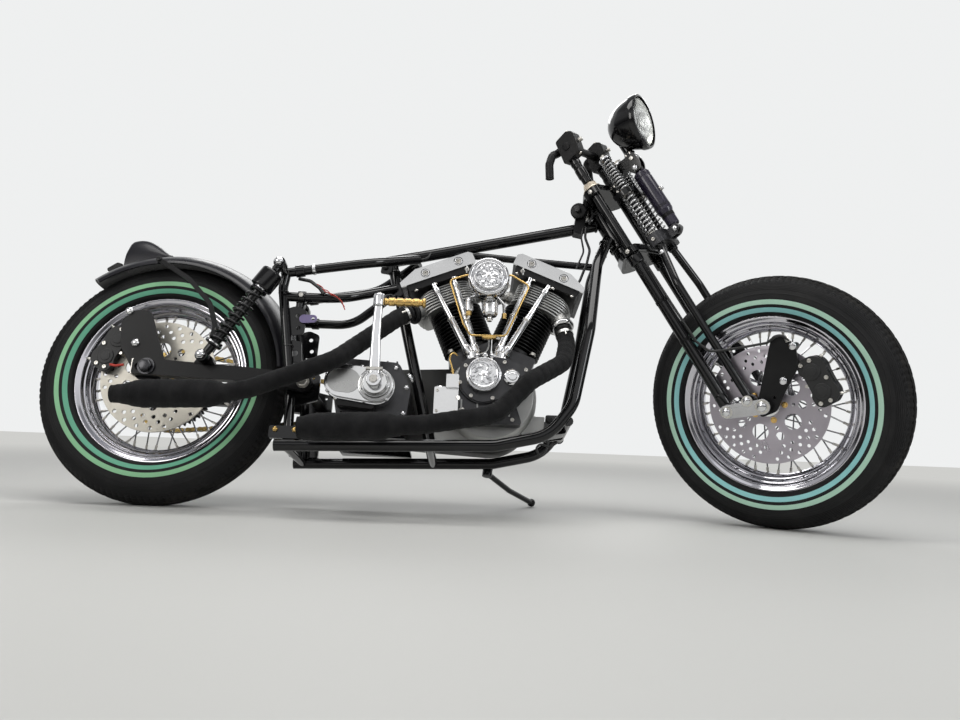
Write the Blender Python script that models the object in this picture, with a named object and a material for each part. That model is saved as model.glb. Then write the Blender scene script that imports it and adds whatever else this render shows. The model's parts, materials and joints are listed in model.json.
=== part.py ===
"""Chopper motorcycle: wire wheels, sprung leading-link fork and an open V-twin engine.

The machine is modelled upright and straight ahead: x forward from the rear axle, y to its left and
z up from the ground. Empties then turn the fork to its right-hand stop and lean the whole machine
on its side stand. Units are metres.
"""
import bmesh
import bpy
import numpy as np
from math import atan2, ceil, cos, pi, radians, sin, sqrt
from mathutils import Matrix, Vector

# Stance
LEAN = radians(13.5)
STEER = radians(40.0)
CLEAR = 0.0003

# Wheels, both the same size
TYRE_RADIUS = 0.320
TYRE_WIDTH = 0.130
TYRE_STEPS = 6
RIM_SHARE = 0.684375
RIM_RADIUS = TYRE_RADIUS * RIM_SHARE
RIM_WIDTH = 0.088
RIM_DEPTH = 0.040
RIM_WALL = 0.005
HUB_RADIUS = 0.026
HUB_FLANGE_RADIUS = 0.048
HUB_FLANGE_Y = 0.034
HUB_FLANGE_THICK = 0.005
SPOKES = 40
SPOKE_RADIUS = 0.0018
SPOKE_SWEEP = radians(54)
SPOKE_SPREAD = 0.0042
SPACER_RADIUS = 0.014
RUNNING_GAP = 0.0008
DISC_SHARE = 2.0 / 3.0
DISC_RADIUS = RIM_RADIUS * DISC_SHARE
DISC_INNER = 0.040
DISC_THICK = 0.005
DISC_Y = 0.060
HUB_END = 0.066
HUB_SEGMENTS = 14

# Steering head and fork, along the steering axis from the middle of the head tube
RAKE = radians(29.4)
HEAD_X = 1.176
HEAD_Z = 0.800
HEAD_RADIUS = 0.027
HEAD_TOP = 0.085
HEAD_BOTTOM = -0.052
AXLE_DROP = 0.622
AXLE_FORWARD = 0.128
LEG_Y = 0.089
LEG_FORWARD = 0.048
LEG_RADIUS = 0.0155
SPRING_LEG_FORWARD = 0.110
SPRING_LEG_RADIUS = 0.0105
SPRING_LEG_TOP_Y = 0.046
SPRING_LEG_LOW_Y = 0.088
SPRING_RADIUS = 0.018
SPRING_WIRE = 0.0035
SPRING_ROD = 0.0075
YOKE_FRONT = 0.078
EYE_HALF = 0.012

# Frame tubes
TUBE = 0.0145
BACKBONE = 0.016
RAIL_Y = 0.120
RAIL_Z = 0.160
SUBFRAME_Y = 0.100
SUBFRAME_TUBE = 0.0125

# Engine, from the crank centre
CRANK_X = 0.848
CRANK_Z = 0.300
V_HALF_ANGLE = radians(22.5)
CASE_RADIUS = 0.118
CASE_HALF = 0.062
DECK = 0.140
FIN_PITCH = 0.0144
FIN_THICK = 0.0055
FIN_RADIUS = 0.070
BARREL_RADIUS = 0.056
CYLINDER_FINS = 8
HEAD_FINS = 4
ROCKER_LENGTH = 0.200
ROCKER_HALF_Y = 0.096

# Exhaust
PIPE_RADIUS = 0.0225
MUFFLER_RADIUS = 0.0345

# Rear end
CHAIN_Y = 0.078
CHAIN_HALF_WIDTH = 0.0075
SPROCKET_END = 0.084
PRIMARY_Y = 0.088
SWING_Y = 0.133
SWING_HALF_THICK = 0.013
FENDER_GAP = 0.032
FENDER_RADIUS = TYRE_RADIUS + FENDER_GAP
FENDER_THICK = 0.004
FENDER_HALF = 0.084
SHOCK_Y = 0.164


def material(name, colour, roughness, metallic):
    mat = bpy.data.materials.new(name)
    mat.use_nodes = True
    shader = mat.node_tree.nodes["Principled BSDF"]
    shader.inputs["Base Color"].default_value = (*colour, 1.0)
    shader.inputs["Roughness"].default_value = roughness
    shader.inputs["Metallic"].default_value = metallic
    mat.diffuse_color = (*colour, 1.0)
    return mat


def empty(name, matrix, parent=None):
    obj = bpy.data.objects.new(name, None)
    obj.parent = parent
    obj.matrix_local = matrix
    bpy.context.collection.objects.link(obj)
    return obj


def mesh_object(name, mesh, mat, parent, matrix=None):
    mesh.name = name
    mesh.materials.clear()
    mesh.materials.append(mat)
    mesh.shade_smooth()
    mesh.set_sharp_from_angle(angle=radians(35))
    obj = bpy.data.objects.new(name, mesh)
    obj.parent = parent
    obj.matrix_local = matrix or Matrix.Identity(4)
    bpy.context.collection.objects.link(obj)
    return obj


def to_mesh(bm):
    bmesh.ops.remove_doubles(bm, verts=bm.verts, dist=1e-6)
    bmesh.ops.recalc_face_normals(bm, faces=bm.faces)
    mesh = bpy.data.meshes.new("shape")
    bm.to_mesh(mesh)
    bm.free()
    return mesh


def moved(mesh, matrix):
    mesh.transform(matrix)
    if matrix.determinant() < 0:
        mesh.flip_normals()
    return mesh


def rings(loops, closed_ends=True, closed_path=False):
    """A skin through like loops of points, with its two ends capped or joined."""
    bm = bmesh.new()
    rows = [[bm.verts.new(p) for p in loop] for loop in loops]
    count = len(rows[0])
    pairs = list(zip(rows[:-1], rows[1:]))
    if closed_path:
        pairs.append((rows[-1], rows[0]))
    for a, b in pairs:
        for i in range(count):
            j = (i + 1) % count
            bm.faces.new((a[i], a[j], b[j], b[i]))
    if closed_ends and not closed_path:
        bm.faces.new(list(reversed(rows[0])))
        bm.faces.new(rows[-1])
    return to_mesh(bm)


def sweep(path, radius, sides=10, start_up=None):
    """A round tube along a list of points; radius is one value or one for each point."""
    pts = [Vector(p) for p in path]
    radii = radius if isinstance(radius, (list, tuple)) else [radius] * len(pts)
    dirs = [(b - a).normalized() for a, b in zip(pts[:-1], pts[1:])]
    tangents = [dirs[0]] + [(a + b).normalized() for a, b in zip(dirs[:-1], dirs[1:])] + [dirs[-1]]
    up = Vector(start_up) if start_up else Vector((0.0, 0.0, 1.0))
    if abs(up.dot(tangents[0])) > 0.95:
        up = Vector((0.0, 1.0, 0.0))
    side = tangents[0].cross(up).normalized()
    loops = []
    previous = tangents[0]
    for i, (p, t) in enumerate(zip(pts, tangents)):
        side = previous.rotation_difference(t) @ side
        side = (side - t * side.dot(t)).normalized()
        other = t.cross(side)
        previous = t
        stretch = Vector((0.0, 0.0, 0.0))
        grow = 1.0
        if 0 < i < len(pts) - 1:
            half = dirs[i - 1].angle(dirs[i]) / 2.0
            if half > 1e-4:
                grow = 1.0 / cos(half)
                stretch = (dirs[i] - dirs[i - 1]).normalized()
        loop = []
        for k in range(sides):
            angle = 2.0 * pi * k / sides
            offset = side * (cos(angle) * radii[i]) + other * (sin(angle) * radii[i])
            offset += stretch * (offset.dot(stretch) * (grow - 1.0))
            loop.append(p + offset)
        loops.append(loop)
    return rings(loops)


def rounded(points, bend, steps=4):
    """A polyline with each inner corner turned into an arc of the bend radius."""
    pts = [Vector(p) for p in points]
    out = [pts[0]]
    for a, b, c in zip(pts[:-2], pts[1:-1], pts[2:]):
        u = (a - b).normalized()
        v = (c - b).normalized()
        half = u.angle(v) / 2.0
        reach = min(bend / max(1e-6, np.tan(half)), 0.48 * (a - b).length, 0.48 * (c - b).length)
        start = b + u * reach
        end = b + v * reach
        for k in range(steps + 1):
            t = k / steps
            out.append(start * (1 - t) ** 2 + b * (2 * t * (1 - t)) + end * t ** 2)
    out.append(pts[-1])
    return out


def lathe(profile, segments=24, ring=False, axis="Z"):
    """Turn (radius, height) points about an axis; a ring profile is closed and off the axis."""
    bm = bmesh.new()
    columns = []
    for k in range(segments):
        angle = 2.0 * pi * k / segments
        column = []
        for r, h in profile:
            column.append(bm.verts.new((r * cos(angle), r * sin(angle), h)))
        columns.append(column)
    n = len(profile)
    spans = n if ring else n - 1
    for k in range(segments):
        a = columns[k]
        b = columns[(k + 1) % segments]
        for i in range(spans):
            j = (i + 1) % n
            corners = [a[i], a[j], b[j], b[i]]
            if profile[i][0] < 1e-9:
                corners = [a[i], a[j], b[j]]
            elif profile[j][0] < 1e-9:
                corners = [a[i], a[j], b[i]]
            bm.faces.new(corners)
    mesh = to_mesh(bm)
    if axis == "Y":
        mesh.transform(Matrix.Rotation(radians(-90), 4, "X"))
    return mesh


def rod(start, end, radius, sides=10):
    return sweep([start, end], radius, sides)


def drum(centre, axis, radius, low, high, segments=20, chamfer=0.0):
    """A disc or cylinder about an axis, from low to high along it, with optional chamfers."""
    c = min(chamfer, 0.45 * (high - low))
    profile = [(0.0, low), (radius - c, low)]
    if c > 0.0:
        profile.append((radius, low + c))
        profile.append((radius, high - c))
    else:
        profile.append((radius, high))
    if c > 0.0:
        profile.append((radius - c, high))
    profile.append((0.0, high))
    mesh = lathe(profile, segments)
    turn = Vector((0.0, 0.0, 1.0)).rotation_difference(Vector(axis).normalized())
    return moved(mesh, Matrix.Translation(centre) @ turn.to_matrix().to_4x4())


def prism(outline, low, high, plane="XZ"):
    """An outline given in one plane, pulled from low to high across it."""
    def place(u, v, w):
        if plane == "XZ":
            return (u, w, v)
        if plane == "YZ":
            return (w, u, v)
        return (u, v, w)
    return rings([[place(u, v, w) for u, v in outline] for w in (low, high)])


def block(centre, size):
    x, y, z = (s / 2.0 for s in size)
    mesh = prism([(-x, -z), (x, -z), (x, z), (-x, z)], -y, y)
    return moved(mesh, Matrix.Translation(centre))


def slot_outline(start, end, r0, r1, count=5):
    """A bar with round ends of two radii between two points, in its own plane."""
    d = Vector(end) - Vector(start)
    base = atan2(d.y, d.x)
    points = []
    for centre, radius, side in ((end, r1, -1), (start, r0, 1)):
        for k in range(count + 1):
            angle = base + side * pi / 2 + pi * k / count
            points.append((centre[0] + radius * cos(angle), centre[1] + radius * sin(angle)))
    return points


def boolean(base, other, operation, self_crossing=False):
    """One mesh from two, by the exact solver."""
    a = bpy.data.objects.new("base", base)
    b = bpy.data.objects.new("tool", other)
    for obj in (a, b):
        bpy.context.collection.objects.link(obj)
    modifier = a.modifiers.new("cut", "BOOLEAN")
    modifier.operation = operation
    modifier.solver = "EXACT"
    modifier.use_self = self_crossing
    modifier.object = b
    graph = bpy.context.evaluated_depsgraph_get()
    graph.update()
    mesh = bpy.data.meshes.new_from_object(a.evaluated_get(graph))
    bpy.data.objects.remove(a)
    bpy.data.objects.remove(b)
    return mesh


def together(meshes):
    bm = bmesh.new()
    for mesh in meshes:
        bm.from_mesh(mesh)
    mesh = bpy.data.meshes.new("shape")
    bm.to_mesh(mesh)
    bm.free()
    return mesh


def fuse(meshes):
    result = meshes[0]
    for mesh in meshes[1:]:
        result = boolean(result, mesh, "UNION")
    return result


def cut(mesh, tools):
    for tool in tools:
        mesh = boolean(mesh, tool, "DIFFERENCE")
    return mesh


def mirrored(mesh):
    """The left-hand twin of a right-hand mesh."""
    twin = mesh.copy()
    return moved(twin, Matrix.Scale(-1.0, 4, Vector((0.0, 1.0, 0.0))))


# Tyres, wheels, discs and sprocket, each about its own axle along y

def tyre():
    """A carcass with a round tread and side walls that end on the rim flange."""
    half = TYRE_WIDTH / 2.0
    bead = 0.030
    outer = []
    for k in range(TYRE_STEPS + 1):
        angle = pi * k / TYRE_STEPS
        outer.append((TYRE_RADIUS - half + half * sin(angle), -half * cos(angle)))
    side = [(RIM_RADIUS + 0.014, -half * 0.86), (RIM_RADIUS + 0.0003, -bead - 0.012)]
    other = [(r, -y) for r, y in reversed(side)]
    inner = [(RIM_RADIUS + 0.016, bead), (RIM_RADIUS + 0.016, -bead)]
    profile = side[::-1] + outer + other[::-1] + inner
    return moved(lathe(profile, SPOKES, ring=True, axis="Y"), Matrix.Rotation(pi / SPOKES, 4, "Y"))


def wire_wheel(left_end):
    """Rim, laced spokes and hub in one body; the hub's ends seat the disc and the sprocket."""
    half = RIM_WIDTH / 2.0
    well = RIM_RADIUS - RIM_DEPTH
    rim = lathe([
        (RIM_RADIUS, -half), (RIM_RADIUS, -half + RIM_WALL), (well + RIM_WALL, -0.016),
        (well + RIM_WALL, 0.016), (RIM_RADIUS, half - RIM_WALL), (RIM_RADIUS, half),
        (RIM_RADIUS - 0.018, half - 0.004), (well, 0.018), (well, -0.018),
        (RIM_RADIUS - 0.018, -half + 0.004)],
        SPOKES, ring=True, axis="Y")
    rim.transform(Matrix.Rotation(pi / SPOKES, 4, "Y"))
    y0 = HUB_FLANGE_Y
    t = HUB_FLANGE_THICK
    seat = DISC_INNER - CLEAR
    hub = lathe([
        (0.0, -HUB_END), (seat, -HUB_END), (seat, -y0 - t), (HUB_FLANGE_RADIUS, -y0 - t),
        (HUB_FLANGE_RADIUS, -y0), (HUB_RADIUS, -y0 + t), (HUB_RADIUS, y0 - t),
        (HUB_FLANGE_RADIUS, y0), (HUB_FLANGE_RADIUS, y0 + t), (seat, y0 + t),
        (seat, left_end), (0.0, left_end)], HUB_SEGMENTS, axis="Y")
    spokes = []
    for k in range(SPOKES):
        side = 1 if k % 2 else -1
        lean = 1 if (k // 2) % 2 else -1
        rim_angle = 2 * pi * k / SPOKES
        hub_angle = rim_angle + lean * SPOKE_SWEEP
        r_hub = HUB_FLANGE_RADIUS - 0.006
        start = (r_hub * cos(hub_angle), side * (y0 + t / 2 + lean * SPOKE_SPREAD), r_hub * sin(hub_angle))
        end = ((well + 0.002) * cos(rim_angle), side * 0.006, (well + 0.002) * sin(rim_angle))
        spokes.append(sweep([start, end], SPOKE_RADIUS, 3))
    body = boolean(rim, together(spokes), "UNION", True)
    return boolean(body, hub, "UNION", True)


def brake_disc(windows=5):
    """A floating-style disc with round windows in its web."""
    half = DISC_THICK / 2.0
    disc = lathe([(DISC_RADIUS, -half), (DISC_RADIUS, half), (DISC_INNER, half), (DISC_INNER, -half)],
                 2 * HUB_SEGMENTS, ring=True, axis="Y")
    holes = []
    web = DISC_RADIUS - DISC_INNER
    for k in range(windows):
        angle = 2 * pi * k / windows
        r = DISC_INNER + 0.29 * web
        centre = (r * cos(angle), 0.0, r * sin(angle))
        holes.append(drum(centre, (0, 1, 0), 0.185 * web, -0.01, 0.01, 10))
    return boolean(disc, together(holes), "DIFFERENCE")


def sprocket(radius, teeth):
    """A toothed ring plate with a hub hole."""
    outline = []
    for k in range(teeth):
        for share, r in ((0.0, radius - 0.006), (0.5, radius)):
            angle = 2 * pi * (k + share) / teeth
            outline.append((r * cos(angle), r * sin(angle)))
    plate = prism(outline, -0.003, 0.003)
    hole = drum((0, 0, 0), (0, 1, 0), DISC_INNER, -0.01, 0.01, HUB_SEGMENTS)
    return boolean(plate, hole, "DIFFERENCE")


# Places worked out from the driving sizes

AXLE_REAR = Vector((0.0, 0.0, TYRE_RADIUS))
HEAD = Vector((HEAD_X, 0.0, HEAD_Z))
UP_AXIS = Vector((-sin(RAKE), 0.0, cos(RAKE)))
CRANK = Vector((CRANK_X, 0.0, CRANK_Z))


def on_axis(up):
    return HEAD + UP_AXIS * up


def right(x, y, z):
    """A point y metres to the right of the middle."""
    return Vector((x, -y, z))


# Frame

def head_tube():
    """Head tube with a swelled bearing cup at each end."""
    r = HEAD_RADIUS
    cup = r + 0.004
    profile = [(0.0, HEAD_BOTTOM), (cup - 0.003, HEAD_BOTTOM), (cup, HEAD_BOTTOM + 0.003),
               (cup, HEAD_BOTTOM + 0.013), (r, HEAD_BOTTOM + 0.016), (r, HEAD_TOP - 0.016),
               (cup, HEAD_TOP - 0.013), (cup, HEAD_TOP - 0.003), (cup - 0.003, HEAD_TOP), (0.0, HEAD_TOP)]
    return moved(lathe(profile, 16), head_matrix())


def head_clearance():
    return drum(HEAD, UP_AXIS, HEAD_RADIUS + CLEAR, HEAD_BOTTOM - 0.03, HEAD_TOP + 0.03, 20)


BACKBONE_REAR = Vector((0.640, 0.0, 0.708))
BACKBONE_FRONT = on_axis(0.036)
BRACE_REAR = Vector((0.700, 0.0, 0.7235))
BRACE_FRONT = Vector((1.128, 0.0, 0.697))
BRACE_RADIUS = 0.010


def backbone():
    """Main tube from the seat post's yoke to the head, with the thinner brace below it."""
    tube = rod(BACKBONE_REAR, BACKBONE_FRONT, BACKBONE, 14)
    brace = rod(BRACE_REAR, BRACE_FRONT, BRACE_RADIUS, 10)
    return cut(fuse([tube, brace]), [head_clearance()])


def cradle_path():
    y = RAIL_Y
    corners = [right(1.159, 0.026, 0.772), right(1.124, 0.060, 0.680), right(1.094, y, 0.470),
               right(1.052, y, 0.270), right(0.992, y, RAIL_Z + 0.030), right(0.860, y, RAIL_Z),
               right(0.330, y, RAIL_Z - 0.018)]
    return rounded(corners, 0.10, 2)


def cradle_right():
    return cut(sweep(cradle_path(), TUBE, 8), [head_clearance()])


def cradle_clearance():
    """Both cradle tubes grown by the clearance, to cope what is welded to them."""
    side = sweep(cradle_path(), TUBE + CLEAR, 8)
    return [side, mirrored(side)]


def front_cross_member():
    """Cross tube between the down tubes with the engine's front mounting plate."""
    x = 1.041
    tube = cut(rod(right(x, RAIL_Y, 0.232), right(x, -RAIL_Y, 0.232), 0.011, 10), cradle_clearance())
    plate = prism([(0.985, 0.205), (1.043, 0.215), (1.046, 0.262), (0.990, 0.262)], -0.040, 0.040)
    return fuse([tube, plate])


REAR_CROSS_X = 0.352


def rear_cross_tube(grow):
    z = RAIL_Z - 0.017
    return rod(right(REAR_CROSS_X, RAIL_Y, z), right(REAR_CROSS_X, -RAIL_Y, z), 0.011 + grow, 10)


def rear_cross_member():
    return cut(rear_cross_tube(0.0), cradle_clearance())


PLATE_LOW = RAIL_Z + 0.008
PLATE_THICK = 0.006


def gearbox_plate():
    """Flat plate on top of the lower rails that carries the gear case."""
    y = RAIL_Y + 0.006
    outline = [(0.455, -y), (0.645, -y), (0.645, y), (0.455, y)]
    plate = prism(outline, PLATE_LOW, PLATE_LOW + PLATE_THICK, "XY")
    return cut(plate, cradle_clearance())


SEAT_POST_TOP = Vector((0.566, 0.0, 0.690))
SEAT_POST_LOW = Vector((0.702, 0.0, RAIL_Z + 0.004))
PIVOT = Vector((0.386, 0.0, 0.296))
PIVOT_RADIUS = 0.014
SHOCK_TOP = (0.303, 0.598)
SWING_FALL = (PIVOT.z - TYRE_RADIUS) / PIVOT.x
SHOCK_LOW = (0.140, TYRE_RADIUS + 0.140 * SWING_FALL + 0.0337)


def upright_path():
    y = SUBFRAME_Y
    return [right(0.306, y, 0.606), right(0.300, y, 0.560), right(0.348, y, 0.285),
            right(0.356, y + 0.008, RAIL_Z - 0.008)]


def subframe_right():
    """Rear upright, pivot plate, top rail, middle rail and foot plate, welded into one side."""
    y = SUBFRAME_Y
    r = SUBFRAME_TUBE
    upright = sweep(upright_path(), r, 10)
    top = sweep(rounded([right(0.306, y, 0.603), right(0.52, y, 0.640), right(0.640, 0.014, 0.694)],
                        0.20, 2), r, 8)
    middle = sweep(rounded([right(0.310, y, 0.536), right(0.455, y, 0.536), right(0.586, 0.012, 0.606)],
                           0.12, 2), r, 8)
    stud = rod(right(*swap(SHOCK_TOP, y)), right(*swap(SHOCK_TOP, SHOCK_Y - 0.016)), 0.009, 10)
    plate = prism([(0.335, 0.235), (0.420, 0.262), (0.420, 0.326), (0.335, 0.345)], -y - 0.005, -y + 0.005)
    foot = prism([(0.311, 0.158), (0.391, 0.158), (0.391, 0.190), (0.311, 0.190)], -y - 0.026, -y - 0.014)
    body = fuse([upright, top, middle, stud, plate, foot])
    pivot = rod(right(PIVOT.x, 0.3, PIVOT.z), right(PIVOT.x, -0.3, PIVOT.z), PIVOT_RADIUS + CLEAR, 16)
    post = rod(SEAT_POST_TOP, SEAT_POST_LOW, TUBE + CLEAR, 12)
    other_side = block((0.600, 0.100 - CLEAR, 0.650), (0.400, 0.200, 0.300))
    return cut(body, [pivot, post, yoke_tube(CLEAR), other_side, cradle_clearance()[0], rear_cross_tube(CLEAR)])


def yoke_tube(grow):
    """The seat post's yoke, in line with the backbone."""
    return rod(Vector((0.552, 0.0, 0.688)), BACKBONE_REAR - Vector((CLEAR - grow, 0, 0)), BACKBONE + grow, 14)


def swap(xz, y):
    return (xz[0], y, xz[1])


def seat_post():
    """Seat post with its cross tube between the lower rails and its top yoke."""
    post = rod(SEAT_POST_TOP, SEAT_POST_LOW, TUBE, 12)
    z = RAIL_Z - 0.006
    cross = rod(right(SEAT_POST_LOW.x, RAIL_Y, z), right(SEAT_POST_LOW.x, -RAIL_Y, z), 0.012, 10)
    return fuse([post, cut(cross, cradle_clearance()), yoke_tube(0.0)])


def swingarm():
    """Two arms with axle slots, joined by the pivot tube."""
    lo = SWING_Y - SWING_HALF_THICK
    hi = SWING_Y + SWING_HALF_THICK
    z = TYRE_RADIUS
    bend = z + 0.250 * SWING_FALL
    outline = [(-0.036, z + 0.018), (0.020, z + 0.020), (0.250, bend + 0.0235), (PIVOT.x, PIVOT.z + 0.020),
               (PIVOT.x + 0.020, PIVOT.z), (PIVOT.x, PIVOT.z - 0.020), (0.250, bend - 0.0125),
               (-0.036, z - 0.018)]
    arm = prism(outline, -hi, -lo)
    tube = rod(right(PIVOT.x, lo + 0.004, PIVOT.z), right(PIVOT.x, -lo - 0.004, PIVOT.z), PIVOT_RADIUS, 16)
    x, top = SHOCK_LOW
    mount = prism([(x - 0.028, top - 0.015), (x + 0.028, top - 0.019), (x + 0.010, top + 0.013),
                   (x - 0.010, top + 0.013)], -hi, -lo)
    spacer = rod((0.0, -HUB_END - RUNNING_GAP, TYRE_RADIUS), (0.0, -lo - 0.002, TYRE_RADIUS), SPACER_RADIUS, 12)
    nut = drum((0.0, 0.0, TYRE_RADIUS), (0, -1, 0), 0.016, hi - 0.002, hi + 0.016, 6, 0.002)
    right_arm = fuse([arm, mount, nut])
    left_end = SPROCKET_END + RUNNING_GAP
    other = rod((0.0, left_end, TYRE_RADIUS), (0.0, lo + 0.002, TYRE_RADIUS), SPACER_RADIUS, 12)
    return fuse([fuse([right_arm, spacer]), fuse([mirrored(right_arm), other]), tube])


def fender():
    """A shell close round the tyre, from behind the swingarm pivot to past the top, with its stays."""
    start = radians(6)
    end = radians(130)
    steps = 16
    outer = FENDER_RADIUS
    t = FENDER_THICK
    h = FENDER_HALF
    section = [(outer - 0.026, -h), (outer - 0.010, -h), (outer, -h + 0.016), (outer, h - 0.016),
               (outer - 0.010, h), (outer - 0.026, h), (outer - 0.026, h - t), (outer - 0.010 - t / 2, h - t),
               (outer - t, h - 0.018), (outer - t, -h + 0.018), (outer - 0.010 - t / 2, -h + t),
               (outer - 0.026, -h + t)]
    loops = []
    for k in range(steps + 1):
        a = start + (end - start) * k / steps
        loops.append([(r * cos(a), y, TYRE_RADIUS + r * sin(a)) for r, y in section])
    shell = rings(loops)
    crown = TYRE_RADIUS + FENDER_RADIUS
    stay = prism([(-0.050, crown - 0.032), (-0.022, crown - 0.026), (-0.022, crown - 0.016),
                  (-0.050, crown - 0.020)], -h - 0.004, -h + 0.002)
    low = SHOCK_LOW[1] + 0.015
    rise = crown - 0.022 - low
    bar = flat_bar([right(-0.036, h + 0.004, low + rise), right(0.076, h + 0.022, low + 0.69 * rise),
                    right(0.125, h + 0.034, low + 0.28 * rise), right(0.136, SWING_Y, low)], 0.020, 0.005)
    right_stay = fuse([bar, stay])
    z = TYRE_RADIUS
    notch = prism([(0.240, z - 0.020), (outer + 0.018, z - 0.020), (outer + 0.018, z + 0.065),
                   (0.240, z + 0.100)], CHAIN_Y - 0.011, 0.120)
    return cut(fuse([shell, right_stay, mirrored(right_stay)]), [notch])


def flat_bar(points, width, thick):
    """A flat strap along a path, its thickness across the machine."""
    pts = [Vector(p) for p in points]
    loops = []
    for i, p in enumerate(pts):
        a = pts[max(0, i - 1)]
        b = pts[min(len(pts) - 1, i + 1)]
        t = (b - a).normalized()
        side = Vector((0.0, 1.0, 0.0))
        side = (side - t * side.dot(t)).normalized()
        wide = t.cross(side)
        loops.append([p + wide * (width / 2 * u) + side * (thick / 2 * v)
                      for u, v in ((-1, -1), (1, -1), (1, 1), (-1, 1))])
    return rings(loops)


def tail_lamp():
    """A fin-shaped lamp body on top of the fender."""
    half = 0.026
    base = FENDER_RADIUS + 0.0004
    crest = ((-0.045, 0.002), (-0.085, 0.030), (-0.120, 0.050), (-0.146, 0.052), (-0.168, 0.022))
    foot = [-0.172 + 0.127 * k / 8 for k in range(9)]
    loops = []
    for y, share in ((-half, 0.45), (-half * 0.6, 0.88), (0.0, 1.0), (half * 0.6, 0.88), (half, 0.45)):
        loop = [(x, y, TYRE_RADIUS + sqrt(base ** 2 - x ** 2)) for x in foot]
        loop += [(x, y, TYRE_RADIUS + sqrt(base ** 2 - x ** 2) + 0.004 + h * share) for x, h in crest]
        loops.append(loop)
    return rings(loops)


def shock_right():
    """Coil spring damper between the swingarm and the top rail, with its fat upper cover."""
    low = right(*swap(SHOCK_LOW, SHOCK_Y))
    top = right(*swap(SHOCK_TOP, SHOCK_Y))
    direction = top - low
    length = direction.length
    profile = [(0.0, 0.012), (0.011, 0.012), (0.011, 0.035), (0.022, 0.037), (0.022, 0.045)]
    coils = 8
    coil_low = 0.046
    coil_high = length - 0.090
    pitch = (coil_high - coil_low) / coils
    for k in range(coils):
        z = coil_low + pitch * k
        profile += [(0.0165, z + 0.1 * pitch), (0.0215, z + 0.5 * pitch)]
    profile += [(0.022, coil_high), (0.028, coil_high + 0.004), (0.029, length - 0.030),
                (0.024, length - 0.024), (0.012, length - 0.020), (0.012, length - 0.010),
                (0.0, length - 0.010)]
    body = lathe(profile, 10)
    turn = Vector((0, 0, 1)).rotation_difference(direction.normalized())
    body = moved(body, Matrix.Translation(low) @ turn.to_matrix().to_4x4())
    eyes = [drum(p, (0, 1, 0), 0.015, -0.0155, 0.0155, 10) for p in (low, top)]
    return fuse([body] + eyes)


CALIPER_RADIUS = DISC_RADIUS - 0.008
CALIPER_HALF = 0.029


def rear_brake():
    """Bracket plate from the axle up, with the two-piston caliper over the disc."""
    y = SWING_Y - SWING_HALF_THICK - CLEAR
    z = TYRE_RADIUS
    r = CALIPER_RADIUS
    outline = [(-0.030, z - 0.026), (0.026, z - 0.026), (0.030, z + 0.020), (-0.16 * r, z + 1.13 * r),
               (-0.46 * r, z + 1.13 * r), (-0.67 * r, z + 0.90 * r), (-0.61 * r, z + 0.43 * r)]
    plate = prism(outline, -y, -y + 0.008)
    hole = rod((0.0, 0.0, z), (0.0, -0.3, z), SPACER_RADIUS + CLEAR, 12)
    body = caliper_body(0.0, z, radians(-62), y - 0.006)
    return cut(fuse([plate, body]), [hole])


def caliper_body(x, z, angle, outer_y):
    """A caliper over a disc's edge; angle is from z towards x, seen from the left."""
    outline = [(-0.062, -0.022), (-0.050, -0.032), (0.050, -0.032), (0.062, -0.022), (0.062, 0.018),
               (0.046, 0.032), (-0.046, 0.032), (-0.062, 0.018)]
    body = prism(outline, DISC_Y - outer_y, CALIPER_HALF)
    gap = block((0.0, 0.0, -0.020), (0.140, DISC_THICK + 0.011, 0.068))
    body = cut(body, [gap])
    place = Matrix.Translation((x, -DISC_Y, z)) @ Matrix.Rotation(angle, 4, "Y")
    return moved(body, place @ Matrix.Translation((0.0, 0.0, CALIPER_RADIUS)))


# Engine

def cylinder_frame(side):
    """Engine space of one cylinder: its z axis along the bore, x away from the other one."""
    tilt = Matrix.Rotation(side * V_HALF_ANGLE, 4, "Y")
    flip = Matrix.Scale(side, 4, Vector((1.0, 0.0, 0.0)))
    return Matrix.Translation(CRANK) @ tilt @ flip


def crankcase():
    """Flywheel case with its two barrel decks and the timing chest on the right."""
    case = drum(CRANK, (0, 1, 0), CASE_RADIUS, -CASE_HALF, CASE_HALF, 28, 0.008)
    decks = []
    for side in (-1, 1):
        deck = prism([(-0.062, 0.050), (0.066, 0.050), (0.066, DECK), (-0.050, DECK)], -0.058, 0.058)
        decks.append(moved(deck, cylinder_frame(side)))
    chest = prism(slot_outline((-0.020, 0.028), (0.062, 0.034), 0.064, 0.040, 6), -0.112, -CASE_HALF + 0.004)
    lower = prism([(-0.105, -0.080), (0.080, -0.080), (0.050, 0.020), (-0.100, 0.020)],
                  -0.100, -CASE_HALF + 0.004)
    extra = [moved(m, Matrix.Translation(CRANK)) for m in (chest, lower)]
    cap = drum(CRANK + Vector((0.055, 0.0, 0.037)), (0, -1, 0), 0.0195, 0.110, 0.124, 16, 0.004)
    nose = drum(CRANK, (0, 1, 0), 0.080, CASE_HALF - 0.004, PRIMARY_Y - CLEAR, 20)
    front_lug = prism([(0.930, 0.207), (0.98485, 0.207), (0.98925, 0.258), (0.930, 0.258)], -0.035, 0.035)
    rear_lug = prism([(0.692, 0.182), (0.800, 0.182), (0.800, 0.216), (0.692, 0.216)], -0.024, 0.024)
    post = rod(SEAT_POST_TOP, SEAT_POST_LOW, TUBE + CLEAR, 12)
    behind = block((0.600, 0.0, 0.200), (0.190, 0.200, 0.200))
    return fuse([case] + decks + extra + [cap, nose, front_lug, cut(rear_lug, [post, behind])])


def timer_cover():
    return drum(CRANK + Vector((-0.010, 0.0, 0.028)), (0, -1, 0), 0.041, 0.112 + CLEAR, 0.142, 24, 0.007)


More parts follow.
